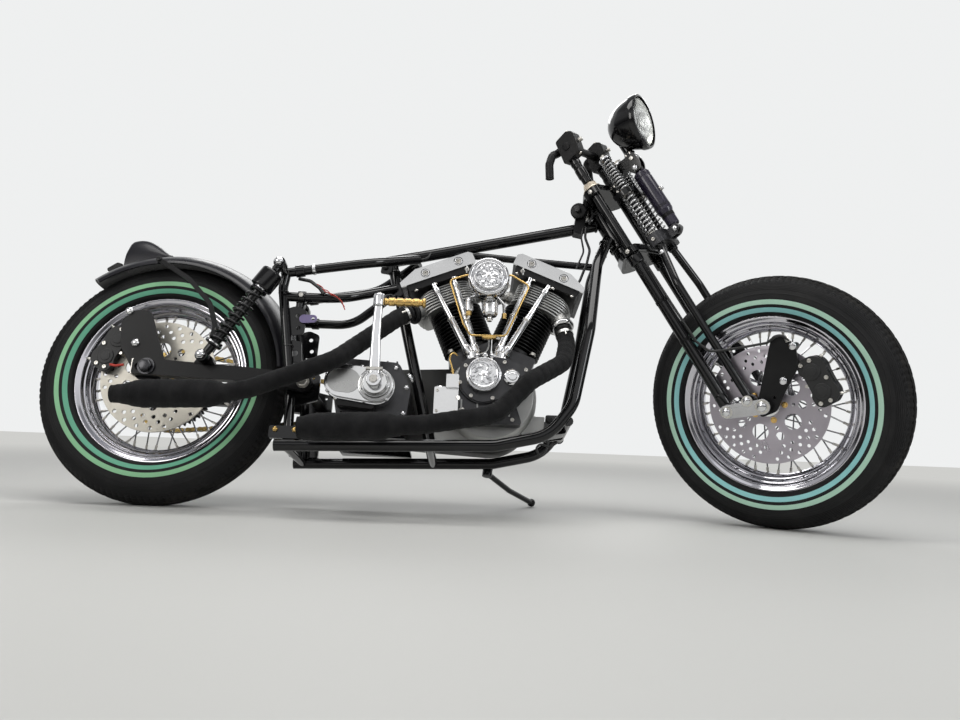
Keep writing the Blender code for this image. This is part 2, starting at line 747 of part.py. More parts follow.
def oil_housing():
    """Stepped housing behind the timing chest."""
    lower = prism([(0.708, 0.226), (0.768, 0.226), (0.768, 0.296), (0.708, 0.296)], -0.150, -0.095)
    upper = prism([(0.736, 0.290), (0.768, 0.290), (0.768, 0.330), (0.736, 0.330)], -0.150, -0.095)
    dome = drum((0.722, -0.122, 0.0), (0, 0, 1), 0.012, 0.290, 0.306, 12, 0.003)
    body = fuse([lower, upper, dome])
    grown = drum(CRANK, (0, 1, 0), CASE_RADIUS + CLEAR, -CASE_HALF - CLEAR, CASE_HALF, 28)
    chest = prism([(-0.106, -0.081), (0.081, -0.081), (0.051, 0.021), (-0.106, 0.021)],
                  -0.100 - CLEAR, -CASE_HALF + 0.004)
    timing = prism(slot_outline((-0.020, 0.028), (0.062, 0.034), 0.064 + CLEAR, 0.040, 6),
                   -0.112 - CLEAR, -CASE_HALF)
    place = Matrix.Translation(CRANK)
    return cut(body, [grown, moved(chest, place), moved(timing, place)])


def barrel(side):
    """Finned cylinder barrel."""
    base = DECK + CLEAR
    profile = [(0.0, base), (0.060, base), (0.060, base + 0.008), (BARREL_RADIUS, base + 0.010)]
    for k in range(CYLINDER_FINS):
        z = base + 0.012 + FIN_PITCH * k
        profile += [(BARREL_RADIUS, z), (FIN_RADIUS, z), (FIN_RADIUS, z + FIN_THICK),
                    (BARREL_RADIUS, z + FIN_THICK)]
    top = base + 0.012 + FIN_PITCH * CYLINDER_FINS
    profile += [(BARREL_RADIUS, top), (0.0, top)]
    body = moved(lathe(profile, 12), cylinder_frame(side))
    beyond = block(CRANK + Vector((-side * (0.100 - CLEAR / 2), 0.0, 0.200)), (0.200, 0.300, 0.400))
    face, out = exhaust_port(side)
    boss = drum(face, out, PIPE_RADIUS + 0.003 + CLEAR, -PORT_LENGTH - CLEAR, 0.100, 14)
    return cut(body, [beyond, boss])


BARREL_TOP = DECK + 2 * CLEAR + 0.012 + FIN_PITCH * CYLINDER_FINS


def cylinder_head(side):
    """Finned head: a stack of rounded plates on a core, with the exhaust port on its outer side."""
    base = BARREL_TOP
    top = base + 0.004 + FIN_PITCH * HEAD_FINS
    core = lathe([(0.0, base), (0.060, base), (0.056, top), (0.0, top)], 14)
    plates = []
    for k in range(HEAD_FINS):
        z = base + 0.003 + FIN_PITCH * k
        grow = 0.010 * (1.0 - abs(2.0 * k / (HEAD_FINS - 1) - 1.0))
        outline = []
        for cx, cy, start in ((0.040 + grow, 0.046, 0), (-0.034, 0.046, 1), (-0.034, -0.046, 2),
                              (0.040 + grow, -0.046, 3)):
            for i in range(2):
                a = (start + (0.2 + 0.6 * i)) * pi / 2
                outline.append((cx + 0.030 * cos(a), cy + 0.030 * sin(a)))
        plates.append(prism(outline, z, z + FIN_THICK, "XY"))
    body = boolean(core, together(plates), "UNION")
    start, out = exhaust_port(side)
    port = drum(start, out, PIPE_RADIUS + 0.003, -PORT_LENGTH, 0.0, 14)
    intake, inward = intake_port(side)
    boss = drum(intake, inward, 0.019, -0.030, 0.0, 12)
    return fuse([moved(body, cylinder_frame(side)), port, boss])


PORT_LENGTH = 0.060


def exhaust_port(side):
    """Face and direction of a head's exhaust flange."""
    out = Vector((0.18, -0.34, -0.92) if side > 0 else (-0.72, -0.48, -0.50)).normalized()
    root = cylinder_frame(side) @ Vector((0.066, -0.036, BARREL_TOP + 0.026))
    return root + out * PORT_LENGTH, out


def intake_port(side):
    """Face and direction of a head's intake boss, between the cylinders."""
    space = cylinder_frame(side)
    face = space @ Vector((-0.074, 0.0, BARREL_TOP + 0.024))
    return face, (space.to_3x3() @ Vector((-1.0, 0.0, 0.0))).normalized()


HEAD_HEIGHT = BARREL_TOP + 0.004 + FIN_PITCH * HEAD_FINS + CLEAR


def rocker_box(side):
    """Rocker housing: a narrower lower half and the polished cover with chamfered ends."""
    base = HEAD_HEIGHT
    shift = 0.008
    low = prism([(-0.088 + shift, base), (0.088 + shift, base), (0.090 + shift, base + 0.020),
                 (-0.090 + shift, base + 0.020)], -ROCKER_HALF_Y + 0.004, ROCKER_HALF_Y - 0.004)
    half = ROCKER_LENGTH / 2.0
    bottom = base + 0.018
    cover = prism([(-half + shift, bottom), (half + shift, bottom), (half + shift, bottom + 0.013),
                   (half + shift - 0.050, bottom + 0.036), (-half + shift + 0.010, bottom + 0.036),
                   (-half + shift, bottom + 0.028)], -ROCKER_HALF_Y, ROCKER_HALF_Y)
    return moved(fuse([low, cover]), cylinder_frame(side))


def pushrods(side):
    """A pair of pushrod tubes on their tappet block, at the right of one cylinder."""
    y = -0.090
    foot = CRANK + Vector((side * 0.026, y, 0.094))
    heads = [cylinder_frame(side) @ Vector((x, y + 0.004, HEAD_HEIGHT + 0.003)) for x in (-0.052, 0.004)]
    feet = [foot + Vector((side * d, 0.0, 0.0)) for d in (-0.010, 0.012)]
    tubes = [sweep([f - (h - f) * 0.02, h], 0.0075, 8) for f, h in zip(feet, heads)]
    block_low = CRANK + Vector((side * 0.027, y, 0.0915))
    base = drum(block_low, (side * 0.2, 0, 1), 0.020, -0.012, 0.018, 12, 0.003)
    body = fuse([base] + tubes)
    limit = prism(slot_outline((-0.020, 0.028), (0.062, 0.034), 0.064 + CLEAR, 0.040 + CLEAR, 6),
                  -0.112 - CLEAR, -CASE_HALF)
    case = drum(CRANK, (0, 1, 0), CASE_RADIUS + CLEAR, -CASE_HALF - CLEAR, CASE_HALF, 28)
    box = moved(block((0.0, 0.0, HEAD_HEIGHT - CLEAR + 0.050), (0.300, 0.300, 0.100)), cylinder_frame(side))
    return cut(body, [moved(limit, Matrix.Translation(CRANK)), case, box])


def carburettor():
    """Carburettor with its bowl, on the manifold between the heads."""
    body = drum((0.838, 0.0, 0.560), (0, -1, 0), 0.026, 0.060, 0.138, 14, 0.003)
    bowl = drum((0.838, -0.112, 0.0), (0, 0, 1), 0.021, 0.490, 0.545, 12, 0.005)
    middle = Vector((CRANK_X, 0.0, 0.586))
    ends = [[face + inward * CLEAR, face + inward * 0.006]
            for face, inward in (intake_port(-1), intake_port(1))]
    pipe = sweep(ends[0] + [middle] + ends[1][::-1], 0.015, 10)
    branch = rod(middle, (0.838, -0.064, 0.560), 0.0145, 10)
    return fuse([body, bowl, branch, pipe])


def air_cleaner():
    """Round drum with a domed cap."""
    profile = [(0.0, 0.1385), (0.046, 0.1385), (0.0495, 0.146), (0.0495, 0.178), (0.045, 0.188),
               (0.037, 0.190), (0.034, 0.196), (0.0, 0.199)]
    return moved(lathe(profile, 20), Matrix.Translation((0.832, 0.0, 0.580)) @
                 Matrix.Rotation(radians(90), 4, "X"))


def oil_line():
    """Thin feed line from one rocker box to the other, down and across below the carburettor."""
    y = -0.128
    top = HEAD_HEIGHT + 0.006
    inner = ROCKER_HALF_Y - 0.004 + CLEAR
    a = cylinder_frame(-1) @ Vector((-0.060, -inner, top))
    b = cylinder_frame(1) @ Vector((-0.060, -inner, top))
    corners = [a, Vector((a.x, y, a.z)), Vector((0.786, y, 0.452)), Vector((0.800, y, 0.436)),
               Vector((0.876, y, 0.436)), Vector((0.890, y, 0.452)), Vector((b.x, y, b.z)), b]
    return sweep(rounded(corners, 0.012, 2), 0.003, 6)


def transmission_case():
    outline = [(0.470, 0.215), (0.640, 0.222), (0.648, 0.300), (0.615, 0.365), (0.480, 0.372), (0.452, 0.300)]
    case = prism(outline, -0.110, 0.068)
    counter = drum((CHAIN_FRONT.x, 0.0, CHAIN_FRONT.z), (0, 1, 0), 0.0366, 0.060, CHAIN_Y + 0.004, 20)
    top = PLATE_LOW + PLATE_THICK + CLEAR
    foot = prism([(0.490, top), (0.610, top), (0.620, 0.240), (0.482, 0.240)], -0.085, 0.050)
    return fuse([case, counter, foot])


def kick_cover():
    """Kicker cover on the right of the gear case, with the round bearing boss."""
    outline = slot_outline((0.482, 0.300), (0.566, 0.290), 0.044, 0.046, 6)
    cover = prism(outline, -0.160, -0.110 - CLEAR)
    boss = drum((0.566, 0.0, 0.292), (0, -1, 0), 0.030, 0.158, 0.186, 16, 0.003)
    return fuse([cover, boss])


def kick_starter():
    """Crank arm, clamp eye and folded pedal."""
    y = 0.200
    eye = drum((0.566, 0.0, 0.292), (0, -1, 0), 0.017, 0.186 + CLEAR, 0.212, 14, 0.002)
    arm = sweep([right(0.566, y, 0.300), right(0.564, y + 0.008, 0.400), right(0.566, y + 0.014, 0.492)],
                [0.0125, 0.0105, 0.0095], 8)
    knuckle = drum((0.566, -(y + 0.014), 0.0), (0, 0, 1), 0.014, 0.474, 0.506, 12, 0.003)
    return fuse([eye, arm, knuckle])


def kick_pedal():
    y = 0.212
    profile = [(0.0, 0.0), (0.0085, 0.0), (0.0105, 0.004), (0.0105, 0.090), (0.0125, 0.094), (0.0125, 0.100),
               (0.0, 0.100)]
    turn = Matrix.Translation((0.566 + 0.014 + CLEAR, -y, 0.488)) @ Matrix.Rotation(radians(90), 4, "Y")
    return moved(lathe(profile, 12), turn)


def primary_cover():
    """Closed cover of the primary drive on the left."""
    outline = slot_outline((0.548, 0.300), (CRANK_X, 0.300), 0.104, 0.120, 8)
    body = prism(outline, PRIMARY_Y, PRIMARY_Y + 0.060)
    rim = [(0.548 + (x - 0.548) * 0.93 + 0.010, 0.300 + (z - 0.300) * 0.90) for x, z in outline]
    crown = prism(rim, PRIMARY_Y + 0.056, PRIMARY_Y + 0.074)
    return fuse([body, crown])


CHAIN_FRONT = Vector((0.486, 0.0, 0.300))
SPROCKET_RADIUS = 0.100
CHAIN_PITCH = 0.0254


def drive_chain():
    """The chain as one closed loop round the two sprockets, its side plates waisted at each pitch."""
    r1 = SPROCKET_RADIUS + 0.0115
    r0 = 0.044
    d = CHAIN_FRONT - AXLE_REAR
    length = sqrt(d.x ** 2 + d.z ** 2)
    slope = atan2(d.z, d.x)
    lean = np.arccos((r1 - r0) / length)
    points = []
    for centre, r, a0, a1 in ((AXLE_REAR, r1, slope + lean, slope + 2 * pi - lean),
                              (CHAIN_FRONT, r0, slope - lean, slope + lean)):
        count = max(6, int(ceil(abs(a1 - a0) * r / CHAIN_PITCH)))
        for k in range(count + 1):
            a = a0 + (a1 - a0) * k / count
            points.append(Vector((centre.x + r * cos(a), 0.0, centre.z + r * sin(a))))
    dense = []
    for a, b in zip(points, points[1:] + points[:1]):
        steps = max(1, int(round((b - a).length / CHAIN_PITCH)))
        for k in range(steps):
            dense.append(a + (b - a) * (k / steps))
    loops = []
    n = len(dense)
    for i, p in enumerate(dense):
        t = (dense[(i + 1) % n] - dense[i - 1]).normalized()
        out = Vector((t.z, 0.0, -t.x))
        link = (dense[(i + 1) % n] - p)
        for share, h, w in ((0.0, 0.0040, CHAIN_HALF_WIDTH - 0.002), (0.5, 0.0058, CHAIN_HALF_WIDTH)):
            c = p + link * share
            loops.append([c + out * (h * u) + Vector((0.0, CHAIN_Y + w * v, 0.0))
                          for u, v in ((-1, -1), (1, -1), (1, 1), (-1, 1))])
    return rings(loops, closed_path=True)


# Exhausts, wrapped from the flange to the tip

def exhaust_upper():
    """From the rear head, back over the gear case to the upper silencer."""
    face, out = exhaust_port(-1)
    path = rounded([face + out * CLEAR, face + out * 0.040, right(0.470, 0.200, 0.342),
                    right(0.270, 0.202, 0.262), right(0.215, 0.202, 0.248)], 0.07, 2)
    path += [right(0.190, 0.204, 0.246), right(0.060, 0.206, 0.241), right(0.020, 0.206, 0.239),
             right(-0.055, 0.206, 0.236)]
    n = len(path) - 4
    radii = [PIPE_RADIUS] * n + [MUFFLER_RADIUS, MUFFLER_RADIUS, MUFFLER_RADIUS, 0.021]
    return sweep(path, radii, 10)


def exhaust_lower():
    """From the front head, down in front of the barrel and back under the engine to its silencer."""
    face, out = exhaust_port(1)
    path = rounded([face + out * CLEAR, face + out * 0.050, right(1.026, 0.130, 0.375),
                    right(0.940, 0.196, 0.306), right(0.860, 0.212, 0.216), right(0.700, 0.214, 0.186),
                    right(0.640, 0.214, 0.180)], 0.07, 2)
    path += [right(0.600, 0.214, 0.178), right(0.380, 0.214, 0.165), right(0.340, 0.214, 0.163)]
    n = len(path) - 3
    radii = [PIPE_RADIUS] * n + [MUFFLER_RADIUS * 0.98, MUFFLER_RADIUS * 0.98, 0.026]
    return sweep(path, radii, 10)


# Fork, in its own space: x forward from the steering axis, z up along it

ROCKER_REAR = Vector((0.046, 0.0, -0.590))
ROCKER_FRONT = Vector((AXLE_FORWARD, 0.0, -AXLE_DROP))


def rigid_fork():
    """Rear fork legs with their collars, joined by the upper and the lower yoke."""
    legs = []
    for side in (-1, 1):
        y = side * LEG_Y
        legs.append(rod((LEG_FORWARD, y, HEAD_TOP + 0.022), (LEG_FORWARD, y, -0.120), LEG_RADIUS - 0.002, 12))
        legs.append(rod((LEG_FORWARD, y, -0.116), (ROCKER_REAR.x, y, -0.590), LEG_RADIUS, 12))
        legs.append(drum((LEG_FORWARD, y, 0.0), (0, 0, 1), LEG_RADIUS + 0.005, -0.143, -0.112, 12))
        legs.append(drum((LEG_FORWARD, y, 0.0), (0, 0, 1), LEG_RADIUS + 0.004, HEAD_TOP + 0.019,
                         HEAD_TOP + 0.044, 6))
    wing = [(-0.034, 0.000), (-0.024, 0.030), (0.028, LEG_Y + 0.022), (0.072, LEG_Y + 0.022),
            (YOKE_FRONT, 0.040)]
    outline = wing[1:] + [(x, -y) for x, y in reversed(wing[1:])] + [(-0.034, 0.0)]
    upper = prism(outline, HEAD_TOP + CLEAR, HEAD_TOP + 0.020, "XY")
    lower = prism(outline, HEAD_BOTTOM - 0.060, HEAD_BOTTOM - 0.040, "XY")
    stem = drum((0, 0, 0), (0, 0, 1), HEAD_RADIUS, HEAD_BOTTOM - 0.045, HEAD_BOTTOM - CLEAR, 20)
    cap = drum((0, 0, 0), (0, 0, 1), 0.019, HEAD_TOP + 0.018, HEAD_TOP + 0.032, 6)
    return fuse([upper, lower, stem, cap] + legs)


SPRING_TOP = 0.165
SPRING_MID = 0.052
SPRING_LOW = -0.086
BRACKET_HALF = 0.007


def spring_bracket():
    """Plate on the upper yoke that the springs bear on, with the arm for the damper's top and the lamp."""
    back = YOKE_FRONT + CLEAR
    outline = [(back, -0.070), (0.126, -0.070), (0.134, -0.056), (0.134, 0.056), (0.126, 0.070), (back, 0.070)]
    plate = prism(outline, SPRING_MID - BRACKET_HALF, SPRING_MID + BRACKET_HALF, "XY")
    outline = [(back, SPRING_MID), (back + 0.012, SPRING_MID), (back + 0.016, 0.104), (0.144, 0.126),
               (0.178, 0.126), (0.178, 0.148), (0.132, 0.148), (back, 0.120)]
    arm = prism(outline, -EYE_HALF - 0.003, EYE_HALF + 0.003)
    y = EYE_HALF + CLEAR
    cheek = prism([(0.134, 0.118), (0.148, 0.0945), (0.172, 0.0945), (0.180, 0.112), (0.180, 0.136),
                   (0.140, 0.144)], y, y + 0.006)
    holes = []
    for side in (-1, 1):
        x, y = SPRING_LEG_FORWARD, side * SPRING_LEG_TOP_Y
        holes.append(rod((x, y, 0.0), (x, y, 0.1), SPRING_ROD + CLEAR, 12))
    return cut(fuse([plate, arm, cheek, mirrored(cheek)]), holes)


def spring_fork():
    """Front fork legs, which spread below the perch to pass the tyre."""
    y = SPRING_LEG_TOP_Y
    parts = []
    for side in (-1, 1):
        low_y = side * SPRING_LEG_LOW_Y
        path = [(SPRING_LEG_FORWARD, side * y, SPRING_LOW - 0.012),
                (SPRING_LEG_FORWARD, side * y, SPRING_LOW - 0.045), (0.107, low_y, -0.240),
                (0.104, low_y, -0.602)]
        parts.append(sweep(rounded(path, 0.08, 2), SPRING_LEG_RADIUS, 10))
    perch = prism([(0.090, -0.064), (0.130, -0.064), (0.140, -0.030), (0.140, 0.030), (0.130, 0.064),
                   (0.090, 0.064)], SPRING_LOW - 0.034, SPRING_LOW - CLEAR, "XY")
    outline = [(0.130, SPRING_LOW - 0.030), (0.160, SPRING_LOW - 0.028), (0.174, SPRING_LOW - 0.016),
               (0.170, SPRING_LOW - 0.002), (0.130, SPRING_LOW - 0.004)]
    cheek = prism(outline, EYE_HALF + CLEAR, EYE_HALF + 0.006)
    return fuse([perch, cheek, mirrored(cheek)] + parts)


def spring_set(side):
    """Upper and lower coil spring on their rod, with a swell for each coil, and the top nut."""
    profile = [(0.0, SPRING_LOW)]
    spans = ((SPRING_LOW, SPRING_MID - BRACKET_HALF - CLEAR, 7),
             (SPRING_MID + BRACKET_HALF + CLEAR, SPRING_TOP, 6))
    for low, high, coils in spans:
        pitch = (high - low) / coils
        for k in range(coils):
            z = low + pitch * k
            profile += [(SPRING_RADIUS - SPRING_WIRE, z), (SPRING_RADIUS, z + 0.5 * pitch)]
        profile += [(SPRING_RADIUS - SPRING_WIRE, high)]
        if high < SPRING_TOP:
            profile += [(SPRING_ROD, high), (SPRING_ROD, spans[1][0])]
    profile += [(SPRING_RADIUS, SPRING_TOP), (SPRING_RADIUS, SPRING_TOP + 0.006), (0.010, SPRING_TOP + 0.008),
                (0.010, SPRING_TOP + 0.016), (0.0, SPRING_TOP + 0.018)]
    return moved(lathe(profile, 10), Matrix.Translation((SPRING_LEG_FORWARD, side * SPRING_LEG_TOP_Y, 0.0)))


def fork_damper():
    """Hydraulic damper in the middle, ahead of the springs."""
    profile = [(0.0, -0.088), (0.015, -0.088), (0.017, -0.060), (0.0175, -0.046), (0.0225, -0.040),
               (0.0225, 0.086), (0.018, 0.092), (0.0, 0.092)]
    body = moved(lathe(profile, 10), Matrix.Translation((0.160, 0.0, 0.0)))
    eyes = [drum((0.160, 0.0, z), (0, 1, 0), 0.013, -EYE_HALF, EYE_HALF, 10) for z in (-0.101, 0.104)]
    rods = [rod((0.160, 0.0, -0.101), (0.160, 0.0, 0.104), 0.010, 10)]
    return fuse([body] + eyes + rods)


def handlebar():
    """Risers on the rear legs, clamp blocks and the short bar through them with its bent ends."""
    parts = []
    for side in (-1, 1):
        y = side * LEG_Y
        parts.append(rod((LEG_FORWARD, y, HEAD_TOP + 0.044 + CLEAR), (LEG_FORWARD, y, 0.235), 0.0125, 10))
        clamp = prism([(0.026, 0.208), (0.082, 0.214), (0.094, 0.270), (0.078, 0.283), (0.036, 0.278)],
                      y - 0.019, y + 0.019)
        parts.append(clamp)
        end = [(0.020, y, 0.256), (0.010, y + side * 0.022, 0.252), (-0.006, y + side * 0.034, 0.232),
               (-0.024, y + side * 0.040, 0.196)]
        parts.append(sweep([(0.040, y, 0.256)] + end, 0.0115, 8))
    bar = rod((0.056, -LEG_Y, 0.248), (0.056, LEG_Y, 0.248), 0.0115, 8)
    return fuse([bar] + parts)


LAMP_TILT = radians(-22.4)
LAMP_CENTRE = Vector((0.236, 0.0, 0.204))
LAMP_RADIUS = 0.076


def lamp_matrix():
    """Headlamp space: x out through the lens, in the fork's middle plane."""
    return Matrix.Translation(LAMP_CENTRE) @ Matrix.Rotation(-LAMP_TILT, 4, "Y")


def headlamp():
    """Bullet shell with its rim, and the foot that bolts to the mount."""
    r = LAMP_RADIUS
    profile = [(0.0, -0.094), (0.022, -0.090), (0.044, -0.075), (0.060, -0.052), (0.069, -0.026),
               (r - 0.003, -0.010), (r, -0.008), (r, 0.008), (r - 0.008, 0.010), (r - 0.008, -0.002),
               (r - 0.014, -0.004), (0.0, -0.022)]
    shell = moved(lathe(profile, 20), lamp_matrix() @ Matrix.Rotation(radians(90), 4, "Y"))
    foot = drum((0.162, 0.0, 0.0), (0, 0, 1), 0.015, 0.148 + CLEAR, 0.195, 12)
    return fuse([shell, foot])


def headlamp_lens():
    """Domed glass inside the rim."""
    r = LAMP_RADIUS - 0.008 - CLEAR
    profile = [(0.0, -0.001), (r - 0.006, -0.001), (r, 0.000), (r, 0.004), (r * 0.8, 0.010), (r * 0.45, 0.014),
               (0.0, 0.0155)]
    return moved(lathe(profile, 20), lamp_matrix() @ Matrix.Rotation(radians(90), 4, "Y"))


def front_rocker(side):
    """Rocker outside the fork legs: rear leg, front leg and axle, with its cap nuts and axle spacer."""
    inner = LEG_Y + LEG_RADIUS + CLEAR
    outer = inner + 0.010
    rear = (ROCKER_REAR.x, ROCKER_REAR.z + 0.004)
    front = (ROCKER_FRONT.x, ROCKER_FRONT.z)
    plate = prism(slot_outline(rear, front, 0.017, 0.019), inner, outer)
    parts = [plate]
    for x, z, r in ((rear[0], rear[1], 0.012), (0.104, -0.592, 0.011), (front[0], front[1], 0.014)):
        parts.append(drum((x, 0.0, z), (0, 1, 0), r, outer - 0.002, outer + 0.012, 8, 0.004))
    near = HUB_END + RUNNING_GAP
    parts.append(rod((front[0], near, front[1]), (front[0], inner + 0.002, front[1]), SPACER_RADIUS, 12))
    leg = SPRING_LEG_LOW_Y + SPRING_LEG_RADIUS + CLEAR
    parts.append(rod((0.104, leg, -0.592), (0.104, inner + 0.002, -0.592), 0.008, 10))
    body = fuse(parts)
    return body if side > 0 else mirrored(body)


def front_brake():
    """Bracket plate on the right end of the axle, with its caliper ahead of the axle."""
    y = LEG_Y - 0.004
    x, z = ROCKER_FRONT.x, ROCKER_FRONT.z
    r = CALIPER_RADIUS
    plate = prism([(x - 0.024, z - 0.020), (x + 0.018, z - 0.026), (x + 0.36 * r, z - 0.006),
                   (x + 0.95 * r, z + 0.28 * r), (x + 1.01 * r, z + 0.64 * r), (x + 0.85 * r, z + 0.91 * r),
                   (x + 0.68 * r, z + 0.95 * r), (x - 0.0166, z + 0.0093)], -y - 0.007, -y)
    hole = rod((x, 0.0, z), (x, -0.3, z), SPACER_RADIUS + CLEAR, 12)
    body = caliper_body(x, z, radians(92), y + 0.004)
    return cut(fuse([plate, body]), [hole])


# Side stand, in its own space: z along the hinge axis

STAND_PIVOT = Vector((0.850, 0.142, 0.138))
STAND_ELBOW = Vector((0.915, 0.235, 0.108))
STAND_FOOT = Vector((0.985, 0.330, 0.0))
STAND_RADIUS = 0.008
STAND_FOOT_RADIUS = 0.012


def floor_height(point):
    """Height of a machine point over the floor when both tyres touch it at the lean angle."""
    tube = TYRE_WIDTH / 2.0
    axle = (TYRE_RADIUS - tube) * cos(LEAN) + tube
    return (point.z - TYRE_RADIUS) * cos(LEAN) - point.y * sin(LEAN) + axle


def stand_foot():
    """The end of the leg, its ball just on the floor."""
    foot = STAND_FOOT.copy()
    foot.z = (STAND_FOOT_RADIUS - floor_height(foot)) / cos(LEAN)
    return foot


def stand_matrix():
    """Hinge space: z square to the leg in both its places, x along the lowered leg."""
    leg = (stand_foot() - STAND_PIVOT).normalized()
    folded = Vector((-1.0, 0.12, 0.05)).normalized()
    z = leg.cross(folded).normalized()
    y = z.cross(leg)
    rot = Matrix((leg, y, z)).transposed().to_4x4()
    return Matrix.Translation(STAND_PIVOT) @ rot


def side_stand():
    """Hinge eye, bent leg and ball foot."""
    back = stand_matrix().inverted()
    path = rounded([back @ p for p in (STAND_PIVOT, STAND_ELBOW, stand_foot())], 0.05, 2)
    leg = sweep(path, STAND_RADIUS, 8)
    eye = drum((0, 0, 0), (0, 0, 1), 0.014, -0.009, 0.009, 12, 0.002)
    foot = back @ stand_foot()
    r = STAND_FOOT_RADIUS
    ball = lathe([(0.0, -r)] + [(r * cos(a), r * sin(a)) for a in (-0.9, -0.3, 0.3, 0.9)] + [(0.0, r)], 10)
    return fuse([eye, leg, moved(ball, Matrix.Translation(foot))])


def cradle_left():
    """The left twin, with the welded lug that carries the stand's eye."""
    up = stand_matrix().to_3x3() @ Vector((0.0, 0.0, 1.0))
    low = STAND_PIVOT + up * (0.009 + CLEAR)
    lug = drum(low, up, 0.014, 0.0, 0.010, 12)
    web = rod(low + up * 0.0052, Vector((STAND_PIVOT.x, RAIL_Y, RAIL_Z)), 0.005, 8)
    return fuse([mirrored(cradle_right()), lug, web])


# Assembly

BLACK = material("black_paint", (0.012, 0.012, 0.014), 0.18, 0.0)
SATIN = material("satin_black", (0.020, 0.020, 0.022), 0.45, 0.0)
WRAP = material("black_wrap", (0.030, 0.030, 0.032), 0.85, 0.0)
RUBBER = material("tyre_rubber", (0.022, 0.022, 0.022), 0.75, 0.0)
CHROME = material("chrome", (0.80, 0.80, 0.80), 0.08, 1.0)
ALLOY = material("polished_alloy", (0.62, 0.62, 0.61), 0.28, 1.0)
CAST = material("cast_alloy", (0.42, 0.42, 0.41), 0.50, 1.0)
STEEL = material("disc_steel", (0.55, 0.55, 0.55), 0.30, 1.0)
IRON = material("black_iron", (0.030, 0.030, 0.030), 0.55, 0.3)
BRASS = material("brass", (0.60, 0.42, 0.16), 0.30, 1.0)
GLASS = material("lamp_glass", (0.85, 0.86, 0.84), 0.05, 0.2)
GREY = material("grey_cast", (0.30, 0.30, 0.29), 0.60, 0.6)


def head_matrix():
    return Matrix.Translation(HEAD) @ Matrix.Rotation(-RAKE, 4, "Y")


def build():
    for obj in list(bpy.data.objects):
        bpy.data.objects.remove(obj)
    stance = empty("stance", Matrix.Identity(4))
    steering = empty("steering", head_matrix() @ Matrix.Rotation(-STEER, 4, "Z"), stance)
    rear_axle = empty("rear_axle", Matrix.Translation(AXLE_REAR), stance)
    front_axle = empty("front_axle", Matrix.Translation(ROCKER_FRONT) @ Matrix.Rotation(RAKE, 4, "Y"), steering)
    stand = empty("stand_pivot", stand_matrix(), stance)
    frame_parts = (
        ("head_tube", head_tube(), BLACK), ("backbone", backbone(), BLACK),
        ("cradle_right", cradle_right(), BLACK), ("cradle_left", cradle_left(), BLACK),
        ("front_cross_member", front_cross_member(), BLACK), ("rear_cross_member", rear_cross_member(), BLACK),
        ("gearbox_plate", gearbox_plate(), BLACK),
        ("subframe_right", subframe_right(), BLACK), ("subframe_left", mirrored(subframe_right()), BLACK),
        ("seat_post", seat_post(), BLACK), ("swingarm", swingarm(), SATIN), ("rear_fender", fender(), SATIN),
        ("tail_lamp", tail_lamp(), SATIN), ("shock_right", shock_right(), BLACK),
        ("shock_left", mirrored(shock_right()), BLACK), ("rear_brake", rear_brake(), SATIN),
        ("crankcase", crankcase(), CAST), ("timer_cover", timer_cover(), CHROME),
        ("oil_housing", oil_housing(), ALLOY), ("cylinder_front", barrel(1), IRON),
        ("cylinder_rear", barrel(-1), IRON), ("head_front", cylinder_head(1), CAST),
        ("head_rear", cylinder_head(-1), CAST), ("rocker_box_front", rocker_box(1), ALLOY),
        ("rocker_box_rear", rocker_box(-1), ALLOY), ("pushrods_front", pushrods(1), CHROME),
        ("pushrods_rear", pushrods(-1), CHROME), ("carburettor", carburettor(), CAST),
        ("air_cleaner", air_cleaner(), CHROME), ("oil_line", oil_line(), BRASS),
        ("transmission_case", transmission_case(), CAST), ("kick_cover", kick_cover(), ALLOY),
        ("kick_starter", kick_starter(), CHROME), ("kick_pedal", kick_pedal(), BRASS),
        ("primary_cover", primary_cover(), GREY), ("drive_chain", drive_chain(), BRASS),
        ("exhaust_upper", exhaust_upper(), WRAP), ("exhaust_lower", exhaust_lower(), WRAP))
    fork_parts = (
        ("rigid_fork", rigid_fork(), BLACK), ("spring_bracket", spring_bracket(), BLACK),
        ("spring_fork", spring_fork(), BLACK), ("spring_set_right", spring_set(-1), CHROME),
        ("spring_set_left", spring_set(1), CHROME), ("fork_damper", fork_damper(), SATIN),
        ("headlamp", headlamp(), BLACK),
        ("headlamp_lens", headlamp_lens(), GLASS), ("handlebar", handlebar(), SATIN),
        ("front_rocker_right", front_rocker(-1), BLACK), ("front_rocker_left", front_rocker(1), BLACK),
        ("front_brake", front_brake(), SATIN))
    disc_place = Matrix.Translation((0.0, -DISC_Y, 0.0))
    wheel_parts = (
        ("rear_tyre", tyre(), RUBBER, rear_axle), ("rear_wheel", wire_wheel(SPROCKET_END), CHROME, rear_axle),
        ("rear_disc", moved(brake_disc(), disc_place), STEEL, rear_axle),
        ("rear_sprocket", moved(sprocket(SPROCKET_RADIUS, 36), Matrix.Translation((0.0, CHAIN_Y, 0.0))), IRON,
         rear_axle),
        ("front_tyre", tyre(), RUBBER, front_axle), ("front_wheel", wire_wheel(HUB_END), CHROME, front_axle),
        ("front_disc", moved(brake_disc(), disc_place), STEEL, front_axle))
    for name, mesh, mat in frame_parts:
        mesh_object(name, mesh, mat, stance)
    for name, mesh, mat in fork_parts:
        mesh_object(name, mesh, mat, steering)
    for name, mesh, mat, parent in wheel_parts:
        mesh_object(name, mesh, mat, parent)
    mesh_object("side_stand", side_stand(), BLACK, stand)
    settle(stance)


def world_points(name):
    obj = bpy.data.objects[name]
    return [obj.matrix_world @ v.co for v in obj.data.vertices]


